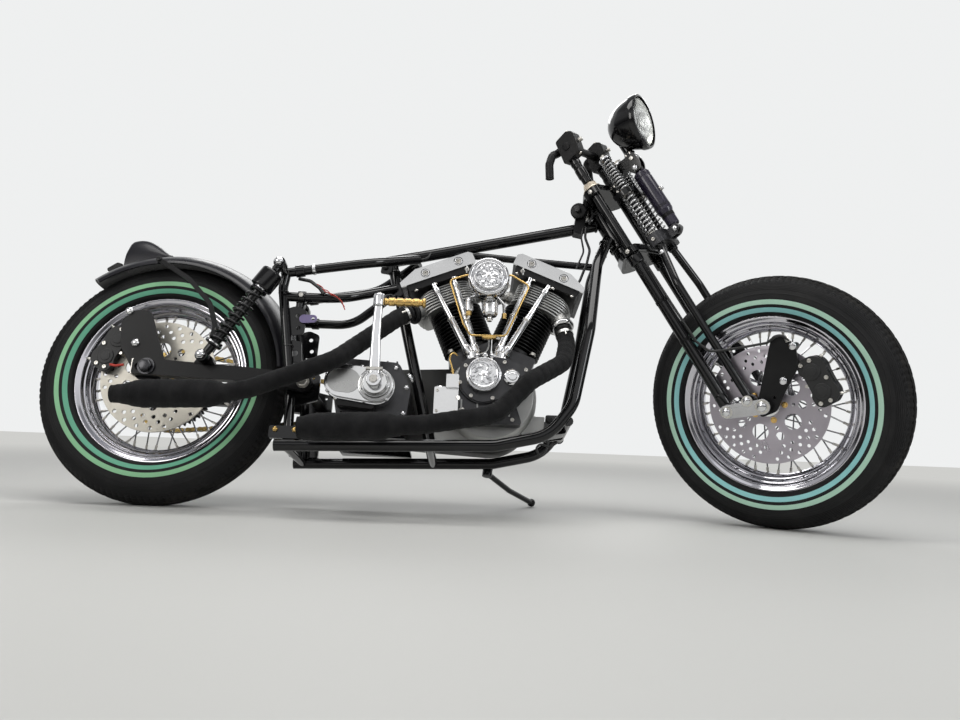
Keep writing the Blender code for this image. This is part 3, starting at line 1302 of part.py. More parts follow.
def lowest(name):
    """Middle of the points of a piece that lie within a tenth of a millimetre of its lowest."""
    points = world_points(name)
    floor = min(p.z for p in points) + 0.0001
    touching = [p for p in points if p.z < floor]
    return sum(touching, Vector()) / len(touching)


def settle(stance):
    """Lean the machine until both tyres and the stand's foot touch the floor, then centre its box."""
    stance.matrix_local = Matrix.Rotation(-LEAN, 4, "X")
    for _ in range(8):
        bpy.context.view_layer.update()
        a, b, c = (lowest(n) for n in ("rear_tyre", "front_tyre", "side_stand"))
        normal = (b - a).cross(c - a).normalized()
        level = normal.rotation_difference(Vector((0.0, 0.0, 1.0))).to_matrix().to_4x4()
        stance.matrix_local = level @ stance.matrix_local
    bpy.context.view_layer.update()
    points = [p for o in bpy.data.objects if o.type == "MESH" for p in world_points(o.name)]
    low = Vector([min(p[i] for p in points) for i in range(3)])
    high = Vector([max(p[i] for p in points) for i in range(3)])
    shift = Vector((-(low.x + high.x) / 2.0, -(low.y + high.y) / 2.0, -low.z))
    stance.matrix_local = Matrix.Translation(shift) @ stance.matrix_local
    bpy.context.view_layer.update()


build()
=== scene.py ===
import bmesh
import bpy
import json
from math import acos, atan2, cos, pi, radians, sin, sqrt
from mathutils import Matrix, Vector, noise
from mathutils.geometry import delaunay_2d_cdt


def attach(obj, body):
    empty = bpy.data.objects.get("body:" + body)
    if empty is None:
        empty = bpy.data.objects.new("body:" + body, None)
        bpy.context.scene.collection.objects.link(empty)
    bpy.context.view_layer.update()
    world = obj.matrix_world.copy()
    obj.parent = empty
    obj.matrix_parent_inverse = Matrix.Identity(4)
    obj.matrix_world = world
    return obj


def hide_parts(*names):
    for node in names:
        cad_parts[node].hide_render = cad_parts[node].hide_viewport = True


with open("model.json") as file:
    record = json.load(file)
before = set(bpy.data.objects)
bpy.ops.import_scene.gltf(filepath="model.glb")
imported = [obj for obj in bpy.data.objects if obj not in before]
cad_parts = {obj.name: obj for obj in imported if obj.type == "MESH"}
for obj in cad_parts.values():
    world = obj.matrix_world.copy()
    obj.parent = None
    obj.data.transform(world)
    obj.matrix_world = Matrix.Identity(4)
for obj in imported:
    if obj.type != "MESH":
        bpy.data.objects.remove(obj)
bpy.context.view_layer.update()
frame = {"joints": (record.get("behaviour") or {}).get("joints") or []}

JOINTS = {j["name"]: j for j in frame["joints"]}

# Sizes of the CAD model that the pieces here keep to
TYRE_RADIUS = 0.32
TYRE_WIDTH = 0.13
RIM_RADIUS = 0.219
RAKE = radians(29.4)
STEER = radians(40.0)
HEAD = Vector((1.176, 0.0, 0.8))
CRANK = Vector((0.848, 0.0, 0.3))
HEAD_TOP = 0.085
HEAD_BOTTOM = -0.052
LEG_Y = 0.089
LEG_FORWARD = 0.048
LEG_RADIUS = 0.0155
ROCKER_REAR = Vector((0.046, 0.0, -0.59))
ROCKER_FRONT = Vector((0.128, 0.0, -0.622))
V_HALF_ANGLE = radians(22.5)
DISC_Y = -0.06
DISC_RADIUS = 0.146
CALIPER_REACH = 0.138
CHAIN_Y = 0.078
SPRING_X = 0.11
SPRING_Y = 0.046
DAMPER_X = 0.16
STAND_PIVOT = Vector((0.85, 0.142, 0.138))
KICK_SHAFT = Vector((0.566, 0.0, 0.292))
SWINGARM_OUT = 0.146
SWINGARM_IN = 0.12
LEG_PIVOT_X = 0.104
LEG_PIVOT_Z = -0.592
CARB_X = 0.838
CARB_Y = -0.112
CYLINDER_GAP = 0.0012
GEAR_X = 0.548
SHAFT_Z = 0.3

FORWARD = (1, 0, 0)
BACK = (-1, 0, 0)
LEFT = (0, 1, 0)
RIGHT = (0, -1, 0)
UP = (0, 0, 1)
DOWN = (0, 0, -1)


# Spaces: the upright machine, the turned fork and the two axles, from the record's joints

def spaces():
    rear = Vector(JOINTS["rear_wheel_spin"]["pos_m"])
    y = Vector(JOINTS["rear_wheel_spin"]["axis"]).normalized()
    steer = Vector(JOINTS["steering"]["pos_m"])
    across = steer - rear
    across = (across - y * across.dot(y)).normalized()
    local = Vector((HEAD.x, 0.0, HEAD.z - TYRE_RADIUS)).normalized()
    up = across.cross(y)
    x = across * local.x + up * -local.z
    z = x.cross(y)
    bike = Matrix((x, y, z)).transposed().to_4x4()
    bike.translation = rear - z * TYRE_RADIUS
    head = bike @ Matrix.Translation(HEAD) @ Matrix.Rotation(-RAKE, 4, "Y")
    fork = head @ Matrix.Rotation(-STEER, 4, "Z")
    rear_axle = bike @ Matrix.Translation((0.0, 0.0, TYRE_RADIUS))
    front_axle = fork @ Matrix.Translation(ROCKER_FRONT) @ Matrix.Rotation(RAKE, 4, "Y")
    return bike, head, fork, rear_axle, front_axle


BIKE, HEAD_SPACE, FORK, REAR_AXLE, FRONT_AXLE = spaces()


# Camera, lights and stage

def placed(name, data):
    """A new object in the scene."""
    obj = bpy.data.objects.new(name, data)
    bpy.context.scene.collection.objects.link(obj)
    return obj


def camera():
    data = bpy.data.cameras.new("camera")
    obj = placed("camera", data)
    data.sensor_width = 36.0
    data.lens = 30.75
    data.clip_end = 50.0
    columns = ((0.99925, -0.017, 0.03479), (-0.03832, -0.30506, 0.95156), (-0.00557, -0.95218, -0.30548))
    turn = Matrix(columns).transposed().to_4x4()
    turn.translation = (0.806, -2.079, -0.251)
    obj.matrix_world = BIKE @ turn
    bpy.context.scene.camera = obj
    bpy.context.scene.view_settings.view_transform = "Standard"


class Shader:
    """The nodes of a material or a world, with short ways to add and join them."""

    def __init__(self, owner, empty=False):
        owner.use_nodes = True
        self.nodes = owner.node_tree.nodes
        self.links = owner.node_tree.links
        if empty:
            self.nodes.clear()

    def new(self, kind, operation=None, **values):
        """A node with its inputs filled in; the name of an input is given with _ for a space."""
        made = self.nodes.new("ShaderNode" + kind)
        if operation:
            made.operation = operation
        return self.fill(made, **values)

    def fill(self, node, **values):
        for key, value in values.items():
            node.inputs[key.replace("_", " ")].default_value = value
        return node

    def ramp(self, low, low_colour, high, high_colour):
        made = self.nodes.new("ShaderNodeValToRGB")
        for stop, spot, colour in zip(made.color_ramp.elements, (low, high), (low_colour, high_colour)):
            stop.position = spot
            stop.color = (*colour, 1.0)
        return made

    def join(self, source, output, target, socket):
        self.links.new(source.outputs[output], target.inputs[socket])

    def relief(self, source, output, strength, distance):
        """A bump on the main shader."""
        bump = self.new("Bump", Strength=strength, Distance=distance)
        self.join(source, output, bump, "Height")
        self.join(bump, 0, self.nodes["Principled BSDF"], "Normal")


def stage_material(name, colour, seen):
    """Diffuse paint for light and shadow; a given brightness where a camera or a mirror sees it."""
    mat = bpy.data.materials.new(name)
    net = Shader(mat, empty=True)
    path = net.new("LightPath")
    either = net.new("Math", "MAXIMUM")
    any_ray = net.new("Math", "MAXIMUM")
    mix = net.new("MixShader")
    net.join(path, "Is Camera Ray", either, 0)
    net.join(path, "Is Glossy Ray", either, 1)
    net.join(either, 0, any_ray, 0)
    net.join(path, "Is Transmission Ray", any_ray, 1)
    net.join(any_ray, 0, mix, 0)
    net.join(net.new("BsdfDiffuse", Color=(*colour, 1.0)), 0, mix, 1)
    net.join(net.new("Emission", Color=(*seen, 1.0)), 0, mix, 2)
    net.join(mix, 0, net.new("OutputMaterial"), 0)
    return mat


def area_light(name, place, aim, size, power, colour=(1.0, 1.0, 1.0)):
    data = bpy.data.lights.new(name, "AREA")
    data.shape = "RECTANGLE"
    data.size, data.size_y = size
    data.energy = power
    data.color = colour
    obj = placed(name, data)
    obj.location = place
    obj.rotation_euler = (Vector(aim) - Vector(place)).to_track_quat("-Z", "Y").to_euler()


def plane(name, corners, mat):
    mesh = bpy.data.meshes.new(name)
    mesh.from_pydata(corners, [], [tuple(range(len(corners)))])
    mesh.materials.append(mat)
    placed(name, mesh)


def floor_paint():
    """Matt floor whose far part glows for the camera, so that it stays as bright as the near part."""
    mat = bpy.data.materials.new("floor_paint")
    net = Shader(mat)
    shader = net.fill(net.nodes["Principled BSDF"], Base_Color=(0.56, 0.56, 0.54, 1.0), Roughness=0.6)
    away = net.new("VectorMath", "LENGTH")
    far = net.new("MapRange", From_Min=1.6, From_Max=4.6)
    far.interpolation_type = "SMOOTHSTEP"
    share = net.new("Math", "MULTIPLY")
    mix = net.new("MixShader")
    net.join(net.new("TexCoord"), "Object", away, 0)
    net.join(away, "Value", far, "Value")
    net.join(far, 0, share, 0)
    net.join(net.new("LightPath"), "Is Camera Ray", share, 1)
    net.join(share, 0, mix, 0)
    net.join(shader, 0, mix, 1)
    net.join(net.new("Emission", Color=(0.62, 0.62, 0.6, 1.0)), 0, mix, 2)
    net.join(mix, 0, net.nodes["Material Output"], 0)
    return mat


def studio_world():
    """One gradient that lights and is mirrored, another that the camera sees."""
    world = bpy.data.worlds.new("studio")
    net = Shader(world, empty=True)
    light = net.new("Background", Strength=0.52)
    seen = net.new("Background", Strength=1.0)
    split = net.new("SeparateXYZ")
    half = net.new("Math", "MULTIPLY_ADD")
    half.inputs[1].default_value = 0.5
    half.inputs[2].default_value = 0.5
    ramp = net.ramp(0.48, (0.46, 0.46, 0.44), 0.62, (0.72, 0.74, 0.76))
    sky = net.ramp(0.3, (0.1, 0.1, 0.1), 0.95, (0.6, 0.62, 0.66))
    for spot, tone in ((0.5, 0.16), (0.54, 0.3), (0.62, 0.95), (0.76, 1.0), (0.84, 0.45)):
        stop = sky.color_ramp.elements.new(spot)
        stop.color = (tone * 0.97, tone * 0.98, tone, 1.0)
    mix = net.new("MixShader")
    net.join(net.new("TexCoord"), "Generated", split, 0)
    net.join(split, "Z", half, 0)
    net.join(half, 0, ramp, 0)
    net.join(half, 0, sky, 0)
    net.join(sky, 0, light, "Color")
    net.join(ramp, 0, seen, "Color")
    net.join(net.new("LightPath"), "Is Camera Ray", mix, 0)
    net.join(light, 0, mix, 1)
    net.join(seen, 0, mix, 2)
    net.join(mix, 0, net.new("OutputWorld"), 0)
    bpy.context.scene.world = world


STAGE_HALF = 14
WALL_Y = 6.0
WALL_HEIGHT = 10
FLOOR_Z = -0.0005


def studio():
    plane("floor", [(x * STAGE_HALF, y * STAGE_HALF, FLOOR_Z) for x, y in ((-1, -1), (1, -1), (1, 1), (-1, 1))],
          floor_paint())
    studio_world()
    wall = stage_material("wall_paint", (0.6, 0.6, 0.6), (0.86, 0.87, 0.87))
    plane("backdrop", [(-STAGE_HALF, WALL_Y, FLOOR_Z), (STAGE_HALF, WALL_Y, FLOOR_Z),
                       (STAGE_HALF, WALL_Y, WALL_HEIGHT), (-STAGE_HALF, WALL_Y, WALL_HEIGHT)], wall)
    area_light("top", (0.0, -0.6, 3.0), (0.0, 0.0, 0.4), (3.6, 1.2), 60.0, (1.0, 0.99, 0.97))
    area_light("front_left", (-2.6, -2.6, 1.9), (-0.2, 0.0, 0.4), (1.2, 1.6), 30.0, (1.0, 0.98, 0.95))
    area_light("front_right", (2.8, -2.2, 1.7), (0.3, 0.0, 0.4), (1.0, 1.4), 27.0, (0.96, 0.98, 1.0))
    area_light("back", (0.0, 2.2, 2.4), (0.0, 0.0, 0.5), (3.0, 0.8), 30.0)
    area_light("wide", (0.1, -3.6, 2.5), (0.1, 0.0, 0.45), (4.4, 2.0), 12.0, (1.0, 1.0, 0.99))


# Materials

def surface(name, colour, roughness, metallic=0.0, grain=400.0, bump=0.02, vary=0.12, rough_vary=0.1, coat=0.0,
            patch=9.0, dust=0.0, dust_colour=(0.3, 0.28, 0.25), specular=0.5):
    """Principled shader whose colour, roughness and bump vary by two noises; dust settles in patches."""
    mat = bpy.data.materials.new(name)
    net = Shader(mat)
    shader = net.fill(net.nodes["Principled BSDF"], Metallic=metallic, Specular_IOR_Level=specular,
                      Coat_Weight=coat, Coat_Roughness=0.05)
    coords = net.new("TexCoord")
    large = net.new("TexNoise", Scale=patch, Detail=5.0)
    fine = net.new("TexNoise", Scale=grain, Detail=3.0)
    net.join(coords, "Object", large, "Vector")
    net.join(coords, "Object", fine, "Vector")
    ramp = net.ramp(0.3, [max(0.0, c * (1.0 - vary)) for c in colour],
                    0.72, [min(1.0, c * (1.0 + vary)) for c in colour])
    net.join(large, "Fac", ramp, 0)
    tone = (ramp, 0)
    if dust > 0.0:
        spread = net.new("MapRange", From_Min=0.52, From_Max=0.8, To_Min=0.0, To_Max=dust)
        both = net.new("Math", "MULTIPLY")
        lift = net.new("Math", "MULTIPLY")
        lift.inputs[1].default_value = 2.0
        film = net.new("Mix")
        film.data_type = "RGBA"
        film.inputs["B"].default_value = (*dust_colour, 1.0)
        net.join(large, "Fac", both, 0)
        net.join(fine, "Fac", both, 1)
        net.join(both, 0, lift, 0)
        net.join(lift, 0, spread, "Value")
        net.join(spread, 0, film, "Factor")
        net.join(*tone, film, "A")
        tone = (film, "Result")
    net.join(*tone, shader, "Base Color")
    rough = net.new("MapRange", From_Min=0.3, From_Max=0.7, To_Min=max(0.02, roughness * (1.0 - rough_vary)),
                    To_Max=min(1.0, roughness * (1.0 + rough_vary) + 0.01))
    net.join(large, "Fac", rough, "Value")
    net.join(rough, 0, shader, "Roughness")
    net.relief(fine, "Fac", bump, 0.001)
    return mat


def ringed(name, colour, roughness, space, pitch, strength):
    """Turned or ground metal: fine rings about an axle."""
    mat = surface(name, colour, roughness, 1.0, 260.0, 0.02, 0.05, 0.15, patch=14.0)
    net = Shader(mat)
    mapping = net.new("Mapping")
    mapping.vector_type = "TEXTURE"
    net.fill(mapping, Location=space.translation, Rotation=space.to_euler())
    wave = net.new("TexWave", Scale=1.0 / pitch / 3.2, Distortion=0.6, Detail=2.0)
    wave.wave_type = "RINGS"
    wave.rings_direction = "Y"
    net.join(net.new("TexCoord"), "Object", mapping, "Vector")
    net.join(mapping, 0, wave, "Vector")
    net.relief(wave, "Fac", strength, 0.0005)
    return mat


def woven(name):
    """Black heat wrap: a weave along the pipe's own UV, with a lighter fray here and there."""
    mat = surface(name, (0.0085, 0.0085, 0.0092), 0.85, 0.0, 900.0, 0.25, 0.45, 0.05, patch=30.0, dust=0.2,
                  dust_colour=(0.035, 0.033, 0.03), specular=0.15)
    net = Shader(mat)
    uv = net.new("UVMap")
    uv.uv_map = "UVMap"
    weave = net.new("TexBrick", Scale=520.0, Mortar_Size=0.03, Brick_Width=0.9, Row_Height=0.45,
                    Color1=(1, 1, 1, 1), Color2=(0.7, 0.7, 0.7, 1), Mortar=(0, 0, 0, 1))
    net.join(uv, 0, weave, "Vector")
    net.relief(weave, "Color", 0.55, 0.0008)
    net.fill(net.nodes["Principled BSDF"], Sheen_Weight=0.06, Sheen_Roughness=0.5)
    return mat


def clear_glass(name):
    mat = bpy.data.materials.new(name)
    net = Shader(mat)
    shader = net.fill(net.nodes["Principled BSDF"], Base_Color=(0.97, 0.98, 0.97, 1.0), Transmission_Weight=1.0,
                      IOR=1.35)
    fine = net.new("TexNoise", Scale=40.0)
    rough = net.new("MapRange", To_Min=0.01, To_Max=0.09)
    net.join(net.new("TexCoord"), "Object", fine, "Vector")
    net.join(fine, "Fac", rough, "Value")
    net.join(rough, 0, shader, "Roughness")
    return mat


MAT = {
    "wrap": woven("wrap"),
    "glass": clear_glass("glass"),
    "disc_rear": ringed("disc_rear", (0.44, 0.42, 0.37), 0.34, REAR_AXLE, 0.0012, 0.25),
    "disc_front": ringed("disc_front", (0.42, 0.39, 0.43), 0.32, FRONT_AXLE, 0.0012, 0.25),
}


def finish(name, *look, **more):
    MAT[name] = surface(name, *look, **more)


finish("gloss_black", (0.003, 0.003, 0.0034), 0.12, 0.0, 160.0, 0.03, 0.2, 0.25, coat=0.15, dust=0.08,
       dust_colour=(0.04, 0.038, 0.036), specular=0.4)
finish("satin_black", (0.0055, 0.0055, 0.006), 0.38, 0.0, 700.0, 0.06, 0.2, 0.15, dust=0.1,
       dust_colour=(0.04, 0.038, 0.035), specular=0.22)
finish("fender_black", (0.006, 0.0057, 0.0085), 0.3, 0.0, 260.0, 0.04, 0.2, 0.2, coat=0.1, dust=0.12,
       dust_colour=(0.04, 0.038, 0.04), specular=0.3)
finish("engine_black", (0.0065, 0.0065, 0.0068), 0.36, 0.0, 900.0, 0.1, 0.2, 0.15, dust=0.2,
       dust_colour=(0.04, 0.038, 0.035), specular=0.25)
finish("chrome", (0.74, 0.74, 0.75), 0.07, 1.0, 120.0, 0.012, 0.05, 0.5, patch=12.0)
finish("rim_chrome", (0.6, 0.59, 0.63), 0.09, 1.0, 90.0, 0.015, 0.08, 0.5, patch=7.0)
finish("spoke_chrome", (0.36, 0.36, 0.37), 0.16, 1.0, 400.0, 0.03, 0.2, 0.4, patch=25.0)
finish("polished", (0.74, 0.74, 0.74), 0.2, 1.0, 180.0, 0.05, 0.08, 0.35, patch=14.0)
finish("cast", (0.4, 0.4, 0.39), 0.42, 0.85, 1100.0, 0.3, 0.14, 0.25, patch=18.0, dust=0.3,
       dust_colour=(0.16, 0.15, 0.13))
finish("grey_cast", (0.085, 0.085, 0.083), 0.55, 0.5, 1300.0, 0.35, 0.12, 0.2, patch=16.0, dust=0.25,
       dust_colour=(0.14, 0.13, 0.12))
finish("steel", (0.46, 0.46, 0.45), 0.3, 1.0, 500.0, 0.08, 0.12, 0.3, patch=30.0)
finish("zinc", (0.6, 0.58, 0.54), 0.32, 1.0, 500.0, 0.06, 0.12, 0.3, patch=40.0)
finish("brass", (0.7, 0.47, 0.17), 0.24, 1.0, 400.0, 0.05, 0.25, 0.4, patch=35.0, dust=0.25,
       dust_colour=(0.2, 0.11, 0.04))
finish("gold_chain", (0.5, 0.36, 0.13), 0.34, 1.0, 600.0, 0.1, 0.3, 0.3, patch=40.0, dust=0.4,
       dust_colour=(0.04, 0.03, 0.02))
finish("rubber", (0.0095, 0.0095, 0.01), 0.66, 0.0, 1200.0, 0.18, 0.25, 0.12, patch=14.0, dust=0.22,
       dust_colour=(0.05, 0.047, 0.043), specular=0.22)
finish("tread", (0.011, 0.0108, 0.0105), 0.8, 0.0, 1000.0, 0.3, 0.25, 0.08, patch=20.0, dust=0.4,
       dust_colour=(0.065, 0.06, 0.052), specular=0.16)
finish("mint", (0.4, 0.62, 0.49), 0.55, 0.0, 900.0, 0.1, 0.07, 0.1, patch=6.0, dust=0.25,
       dust_colour=(0.16, 0.2, 0.16))
finish("teal", (0.26, 0.57, 0.57), 0.55, 0.0, 900.0, 0.1, 0.08, 0.1, patch=5.0, dust=0.25,
       dust_colour=(0.1, 0.18, 0.16))
finish("plastic", (0.0085, 0.0085, 0.009), 0.5, 0.0, 1500.0, 0.15, 0.2, 0.1, dust=0.15,
       dust_colour=(0.05, 0.048, 0.045))
finish("red", (0.42, 0.035, 0.02), 0.4, 0.0, 600.0, 0.05, 0.12, 0.1)
finish("red_lens", (0.16, 0.01, 0.008), 0.12, 0.0, 300.0, 0.05, 0.12, 0.1, coat=0.5)
finish("wire_black", (0.012, 0.012, 0.012), 0.45, 0.0, 800.0, 0.05, 0.1, 0.1)
finish("violet", (0.17, 0.14, 0.26), 0.35, 0.4, 500.0, 0.05, 0.12, 0.1)
finish("damper_black", (0.016, 0.0125, 0.028), 0.3, 0.1, 420.0, 0.05, 0.2, 0.2, coat=0.3, dust=0.12,
       dust_colour=(0.06, 0.055, 0.06))
# Cast metal much darker than the plain cast, used on the crankcase decks, chest and lower covers and on the gear
# case.
finish("aged_cast", (0.065, 0.065, 0.068), 0.34, 0.85, 900.0, 0.22, 0.25, 0.3, patch=24.0, dust=0.25,
       dust_colour=(0.07, 0.065, 0.06))
finish("dark_alloy", (0.06, 0.06, 0.064), 0.3, 0.9, 500.0, 0.08, 0.2, 0.3, patch=24.0)
finish("nut_steel", (0.6, 0.53, 0.43), 0.34, 0.9, 500.0, 0.08, 0.15, 0.3, patch=40.0)
finish("silver_bowl", (0.88, 0.88, 0.83), 0.34, 0.6, 300.0, 0.02, 0.05, 0.3, patch=20.0)
finish("mint_rear", (0.21, 0.46, 0.25), 0.55, 0.0, 900.0, 0.1, 0.09, 0.1, patch=6.0, dust=0.25,
       dust_colour=(0.14, 0.2, 0.13))
finish("teal_rear", (0.11, 0.37, 0.24), 0.55, 0.0, 900.0, 0.1, 0.12, 0.1, patch=4.0, dust=0.25,
       dust_colour=(0.1, 0.18, 0.12))
finish("spring_steel", (0.42, 0.42, 0.42), 0.16, 1.0, 400.0, 0.02, 0.2, 0.3, patch=30.0)
finish("link_chrome", (0.46, 0.46, 0.47), 0.12, 1.0, 200.0, 0.03, 0.15, 0.4, patch=20.0)


# Shapes: each is a list of points and a list of faces

def bands(rows, sides):
    """Faces that join each ring of points to the next one."""
    faces = []
    for i in range(rows - 1):
        for k in range(sides):
            j = (k + 1) % sides
            faces.append((i * sides + k, i * sides + j, (i + 1) * sides + j, (i + 1) * sides + k))
    return faces


def end_faces(rows, sides):
    """The two end faces of a stack of rings."""
    return [tuple(reversed(range(sides))), tuple((rows - 1) * sides + k for k in range(sides))]


def round_faces(rings, count):
    """Faces of a round sheet: one middle point, then rings outwards."""
    faces = [(0, 1 + k, 1 + (k + 1) % count) for k in range(count)]
    for i in range(rings - 1):
        base = 1 + i * count
        after = base + count
        for k in range(count):
            j = (k + 1) % count
            faces.append((base + k, after + k, after + j, base + j))
    return faces


def curve(start, corner, end, t):
    """A place on the curve that cuts a corner."""
    return start * (1 - t) ** 2 + corner * (2 * t * (1 - t)) + end * t ** 2


def squarish(angle, power):
    """A place on a circle that is pulled towards a square."""
    return tuple(abs(c) ** power * (1 if c > 0 else -1) for c in (cos(angle), sin(angle)))


def scaled(outline, centre, across, up):
    """An outline made smaller about a centre."""
    cx, cz = centre
    return [(cx + (x - cx) * across, cz + (z - cz) * up) for x, z in outline]


def lathe(profile, segments=48, axis="Z", ring=False):
    """Turn (radius, height) points about an axis."""
    points = []
    faces = []
    n = len(profile)
    for k in range(segments):
        a = 2.0 * pi * k / segments
        for r, h in profile:
            points.append((r * cos(a), r * sin(a), h))
    for k in range(segments):
        base = k * n
        after = ((k + 1) % segments) * n
        for i in range(n if ring else n - 1):
            j = (i + 1) % n
            faces.append((base + i, base + j, after + j, after + i))
    if axis == "Y":
        points = [(x, z, -y) for x, y, z in points]
    return points, faces


def softened(profile, amount, closed=False):
    """A (radius, height) outline with its inner corners cut by short round-overs."""
    n = len(profile)
    out = []
    for i, p in enumerate(profile):
        if not closed and i in (0, n - 1):
            out.append(p)
            continue
        a = Vector(profile[i - 1])
        b = Vector(p)
        c = Vector(profile[(i + 1) % n])
        u = a - b
        v = c - b
        if u.length < 1e-7 or v.length < 1e-7 or u.angle(v) > radians(168):
            out.append(p)
            continue
        reach = min(amount, 0.45 * u.length, 0.45 * v.length)
        s = b + u.normalized() * reach
        e = b + v.normalized() * reach
        for t in (0.0, 0.33, 0.67, 1.0):
            q = curve(s, b, e, t)
            out.append((q.x, q.y))
    return out


def frames_along(path):
    """Place, direction and two directions across it for each point, with no twist between them."""
    pts = [Vector(p) for p in path]
    dirs = [(b - a).normalized() for a, b in zip(pts[:-1], pts[1:])]
    tangents = [dirs[0]] + [(a + b).normalized() for a, b in zip(dirs[:-1], dirs[1:])] + [dirs[-1]]
    up = Vector((0.0, 0.0, 1.0))
    if abs(up.dot(tangents[0])) > 0.9:
        up = Vector((0.0, 1.0, 0.0))
    side = tangents[0].cross(up).normalized()
    previous = tangents[0]
    out = []
    for p, t in zip(pts, tangents):
        side = previous.rotation_difference(t) @ side
        side = (side - t * side.dot(t)).normalized()
        out.append((p, t, side, t.cross(side)))
        previous = t
    return out


def tube(path, radius, sides=16):
    """A round tube; radius is one number or one for each point."""
    points = []
    spots = frames_along(path)
    for i, (p, _, side, other) in enumerate(spots):
        r = radius[i] if isinstance(radius, list) else radius
        for k in range(sides):
            a = 2.0 * pi * k / sides
            points.append(p + side * (r * cos(a)) + other * (r * sin(a)))
    return points, bands(len(spots), sides) + end_faces(len(spots), sides)


def rounded(points, bend, steps=6):
    """A polyline with its inner corners turned into curves of the bend radius."""
    pts = [Vector(p) for p in points]
    out = [pts[0]]
    for a, b, c in zip(pts[:-2], pts[1:-1], pts[2:]):
        u = (a - b).normalized()
        v = (c - b).normalized()
        half = max(0.02, u.angle(v) / 2.0)
        reach = min(bend / max(1e-6, sin(half) / cos(half)), 0.48 * (a - b).length, 0.48 * (c - b).length)
        start = b + u * reach
        end = b + v * reach
        for k in range(steps + 1):
            t = k / steps
            out.append(curve(start, b, end, t))
    out.append(pts[-1])
    return out


def dense(points, step):
    """The same polyline with points no further apart than the step."""
    out = [Vector(points[0])]
    for a, b in zip(points[:-1], points[1:]):
        a = Vector(a)
        b = Vector(b)
        count = max(1, int((b - a).length / step + 0.999))
        for k in range(1, count + 1):
            out.append(a + (b - a) * (k / count))
    return out


def prism(outline, low, high, plane="XZ"):
    """An outline given in a plane, drawn out between two places across it."""
    n = len(outline)
    points = []
    for w in (low, high):
        for u, v in outline:
            points.append({"XZ": (u, w, v), "XY": (u, v, w)}[plane])
    faces = [tuple(range(n)), tuple(reversed(range(n, 2 * n)))]
    for i in range(n):
        j = (i + 1) % n
        faces.append((i, i + n, j + n, j))
    return points, faces


def corner_rounded(outline, amount, steps=4):
    """A closed outline with round corners."""
    n = len(outline)
    out = []
    for i in range(n):
        a = Vector(outline[i - 1])
        b = Vector(outline[i])
        c = Vector(outline[(i + 1) % n])
        u = a - b
        v = c - b
        reach = min(amount, 0.46 * u.length, 0.46 * v.length)
        s = b + u.normalized() * reach
        e = b + v.normalized() * reach
        for k in range(steps + 1):
            t = k / steps
            q = curve(s, b, e, t)
            out.append((q.x, q.y))
    return out


def slot_outline(start, end, r0, r1, count=14):
    """Two round ends with straight sides between them."""
    d = Vector(end) - Vector(start)
    base = atan2(d.y, d.x)
    points = []
    for centre, radius, side in ((end, r1, -1), (start, r0, 1)):
        for k in range(count + 1):
            angle = base + side * pi / 2 + pi * k / count
            points.append((centre[0] + radius * cos(angle), centre[1] + radius * sin(angle)))
    return points


def drum(centre, axis, radius, low, high, segments=32, soft=0.0):
    """A plain cylinder between two heights on an axis, with soft edges where they are asked for."""
    profile = [(0.0, low), (radius, low), (radius, high), (0.0, high)]
    return turned(centre, axis, softened(profile, soft) if soft > 0.0 else profile, segments)


def turned(centre, axis, profile, segments=32):
    """Any (radius, height) profile about an axis through a place."""
    points, faces = lathe(profile, segments)
    turn = Vector((0.0, 0.0, 1.0)).rotation_difference(Vector(axis).normalized()).to_matrix()
    return [turn @ Vector(p) + Vector(centre) for p in points], faces


def hex_bolt(centre, axis, across, height):
    """Six-sided head with a chamfered top, standing on a thin washer."""
    r = across / 2.0 / cos(pi / 6)
    washer = turned(centre, axis, [(0.0, 0.0), (r * 1.25, 0.0), (r * 1.28, height * 0.08),
                                   (r * 1.25, height * 0.18), (0.0, height * 0.18)], 20)
    head = turned(centre, axis, [(0.0, height * 0.16), (r, height * 0.16), (r, height * 0.85), (r * 0.84, height),
                                 (0.0, height)], 6)
    return join(washer, head)


def cap_bolt(centre, axis, radius, height):
    """Round socket head with its recess."""
    return turned(centre, axis, softened([(0.0, 0.0), (radius, 0.0), (radius, height), (radius * 0.55, height),
                                          (radius * 0.5, height * 0.45), (0.0, height * 0.45)], radius * 0.12), 20)


def acorn(centre, axis, radius, height):
    """Domed nut: a hexagon under a round cap."""
    skirt = turned(centre, axis, [(0.0, 0.0), (radius, 0.0), (radius, height * 0.5), (radius * 0.9, height * 0.56),
                                  (0.0, height * 0.56)], 6)
    cap = [(0.0, height * 0.5)] + [(radius * 0.86 * cos(a), height * (0.52 + 0.48 * sin(a)))
                                   for a in (0.0, 0.4, 0.8, 1.2)] + [(0.0, height)]
    return join(skirt, turned(centre, axis, cap, 20))


def join(*shapes):
    points = []
    faces = []
    for p, f in shapes:
        base = len(points)
        points += list(p)
        faces += [tuple(i + base for i in face) for face in f]
    return points, faces


def shifted(shape, matrix):
    return [matrix @ Vector(p) for p in shape[0]], shape[1]


def helix(start, end, radius, wire, turns, sides, steps):
    """A coil spring between two points, its end coils closed up."""
    a = Vector(start)
    b = Vector(end)
    axis = (b - a).normalized()
    x = axis.orthogonal().normalized()
    y = axis.cross(x)
    length = (b - a).length - 2 * wire
    count = int(turns * steps)
    edge = 1.0 / turns
    path = []
    for k in range(count + 1):
        t = k / count
        rise = t
        if t < edge:
            rise = t * (t / edge)
        elif t > 1.0 - edge:
            rise = 1.0 - (1.0 - t) * ((1.0 - t) / edge)
        angle = 2 * pi * turns * t
        path.append(a + axis * (wire + length * rise) + (x * cos(angle) + y * sin(angle)) * radius)
    return tube(path, wire, sides)


# Pieces

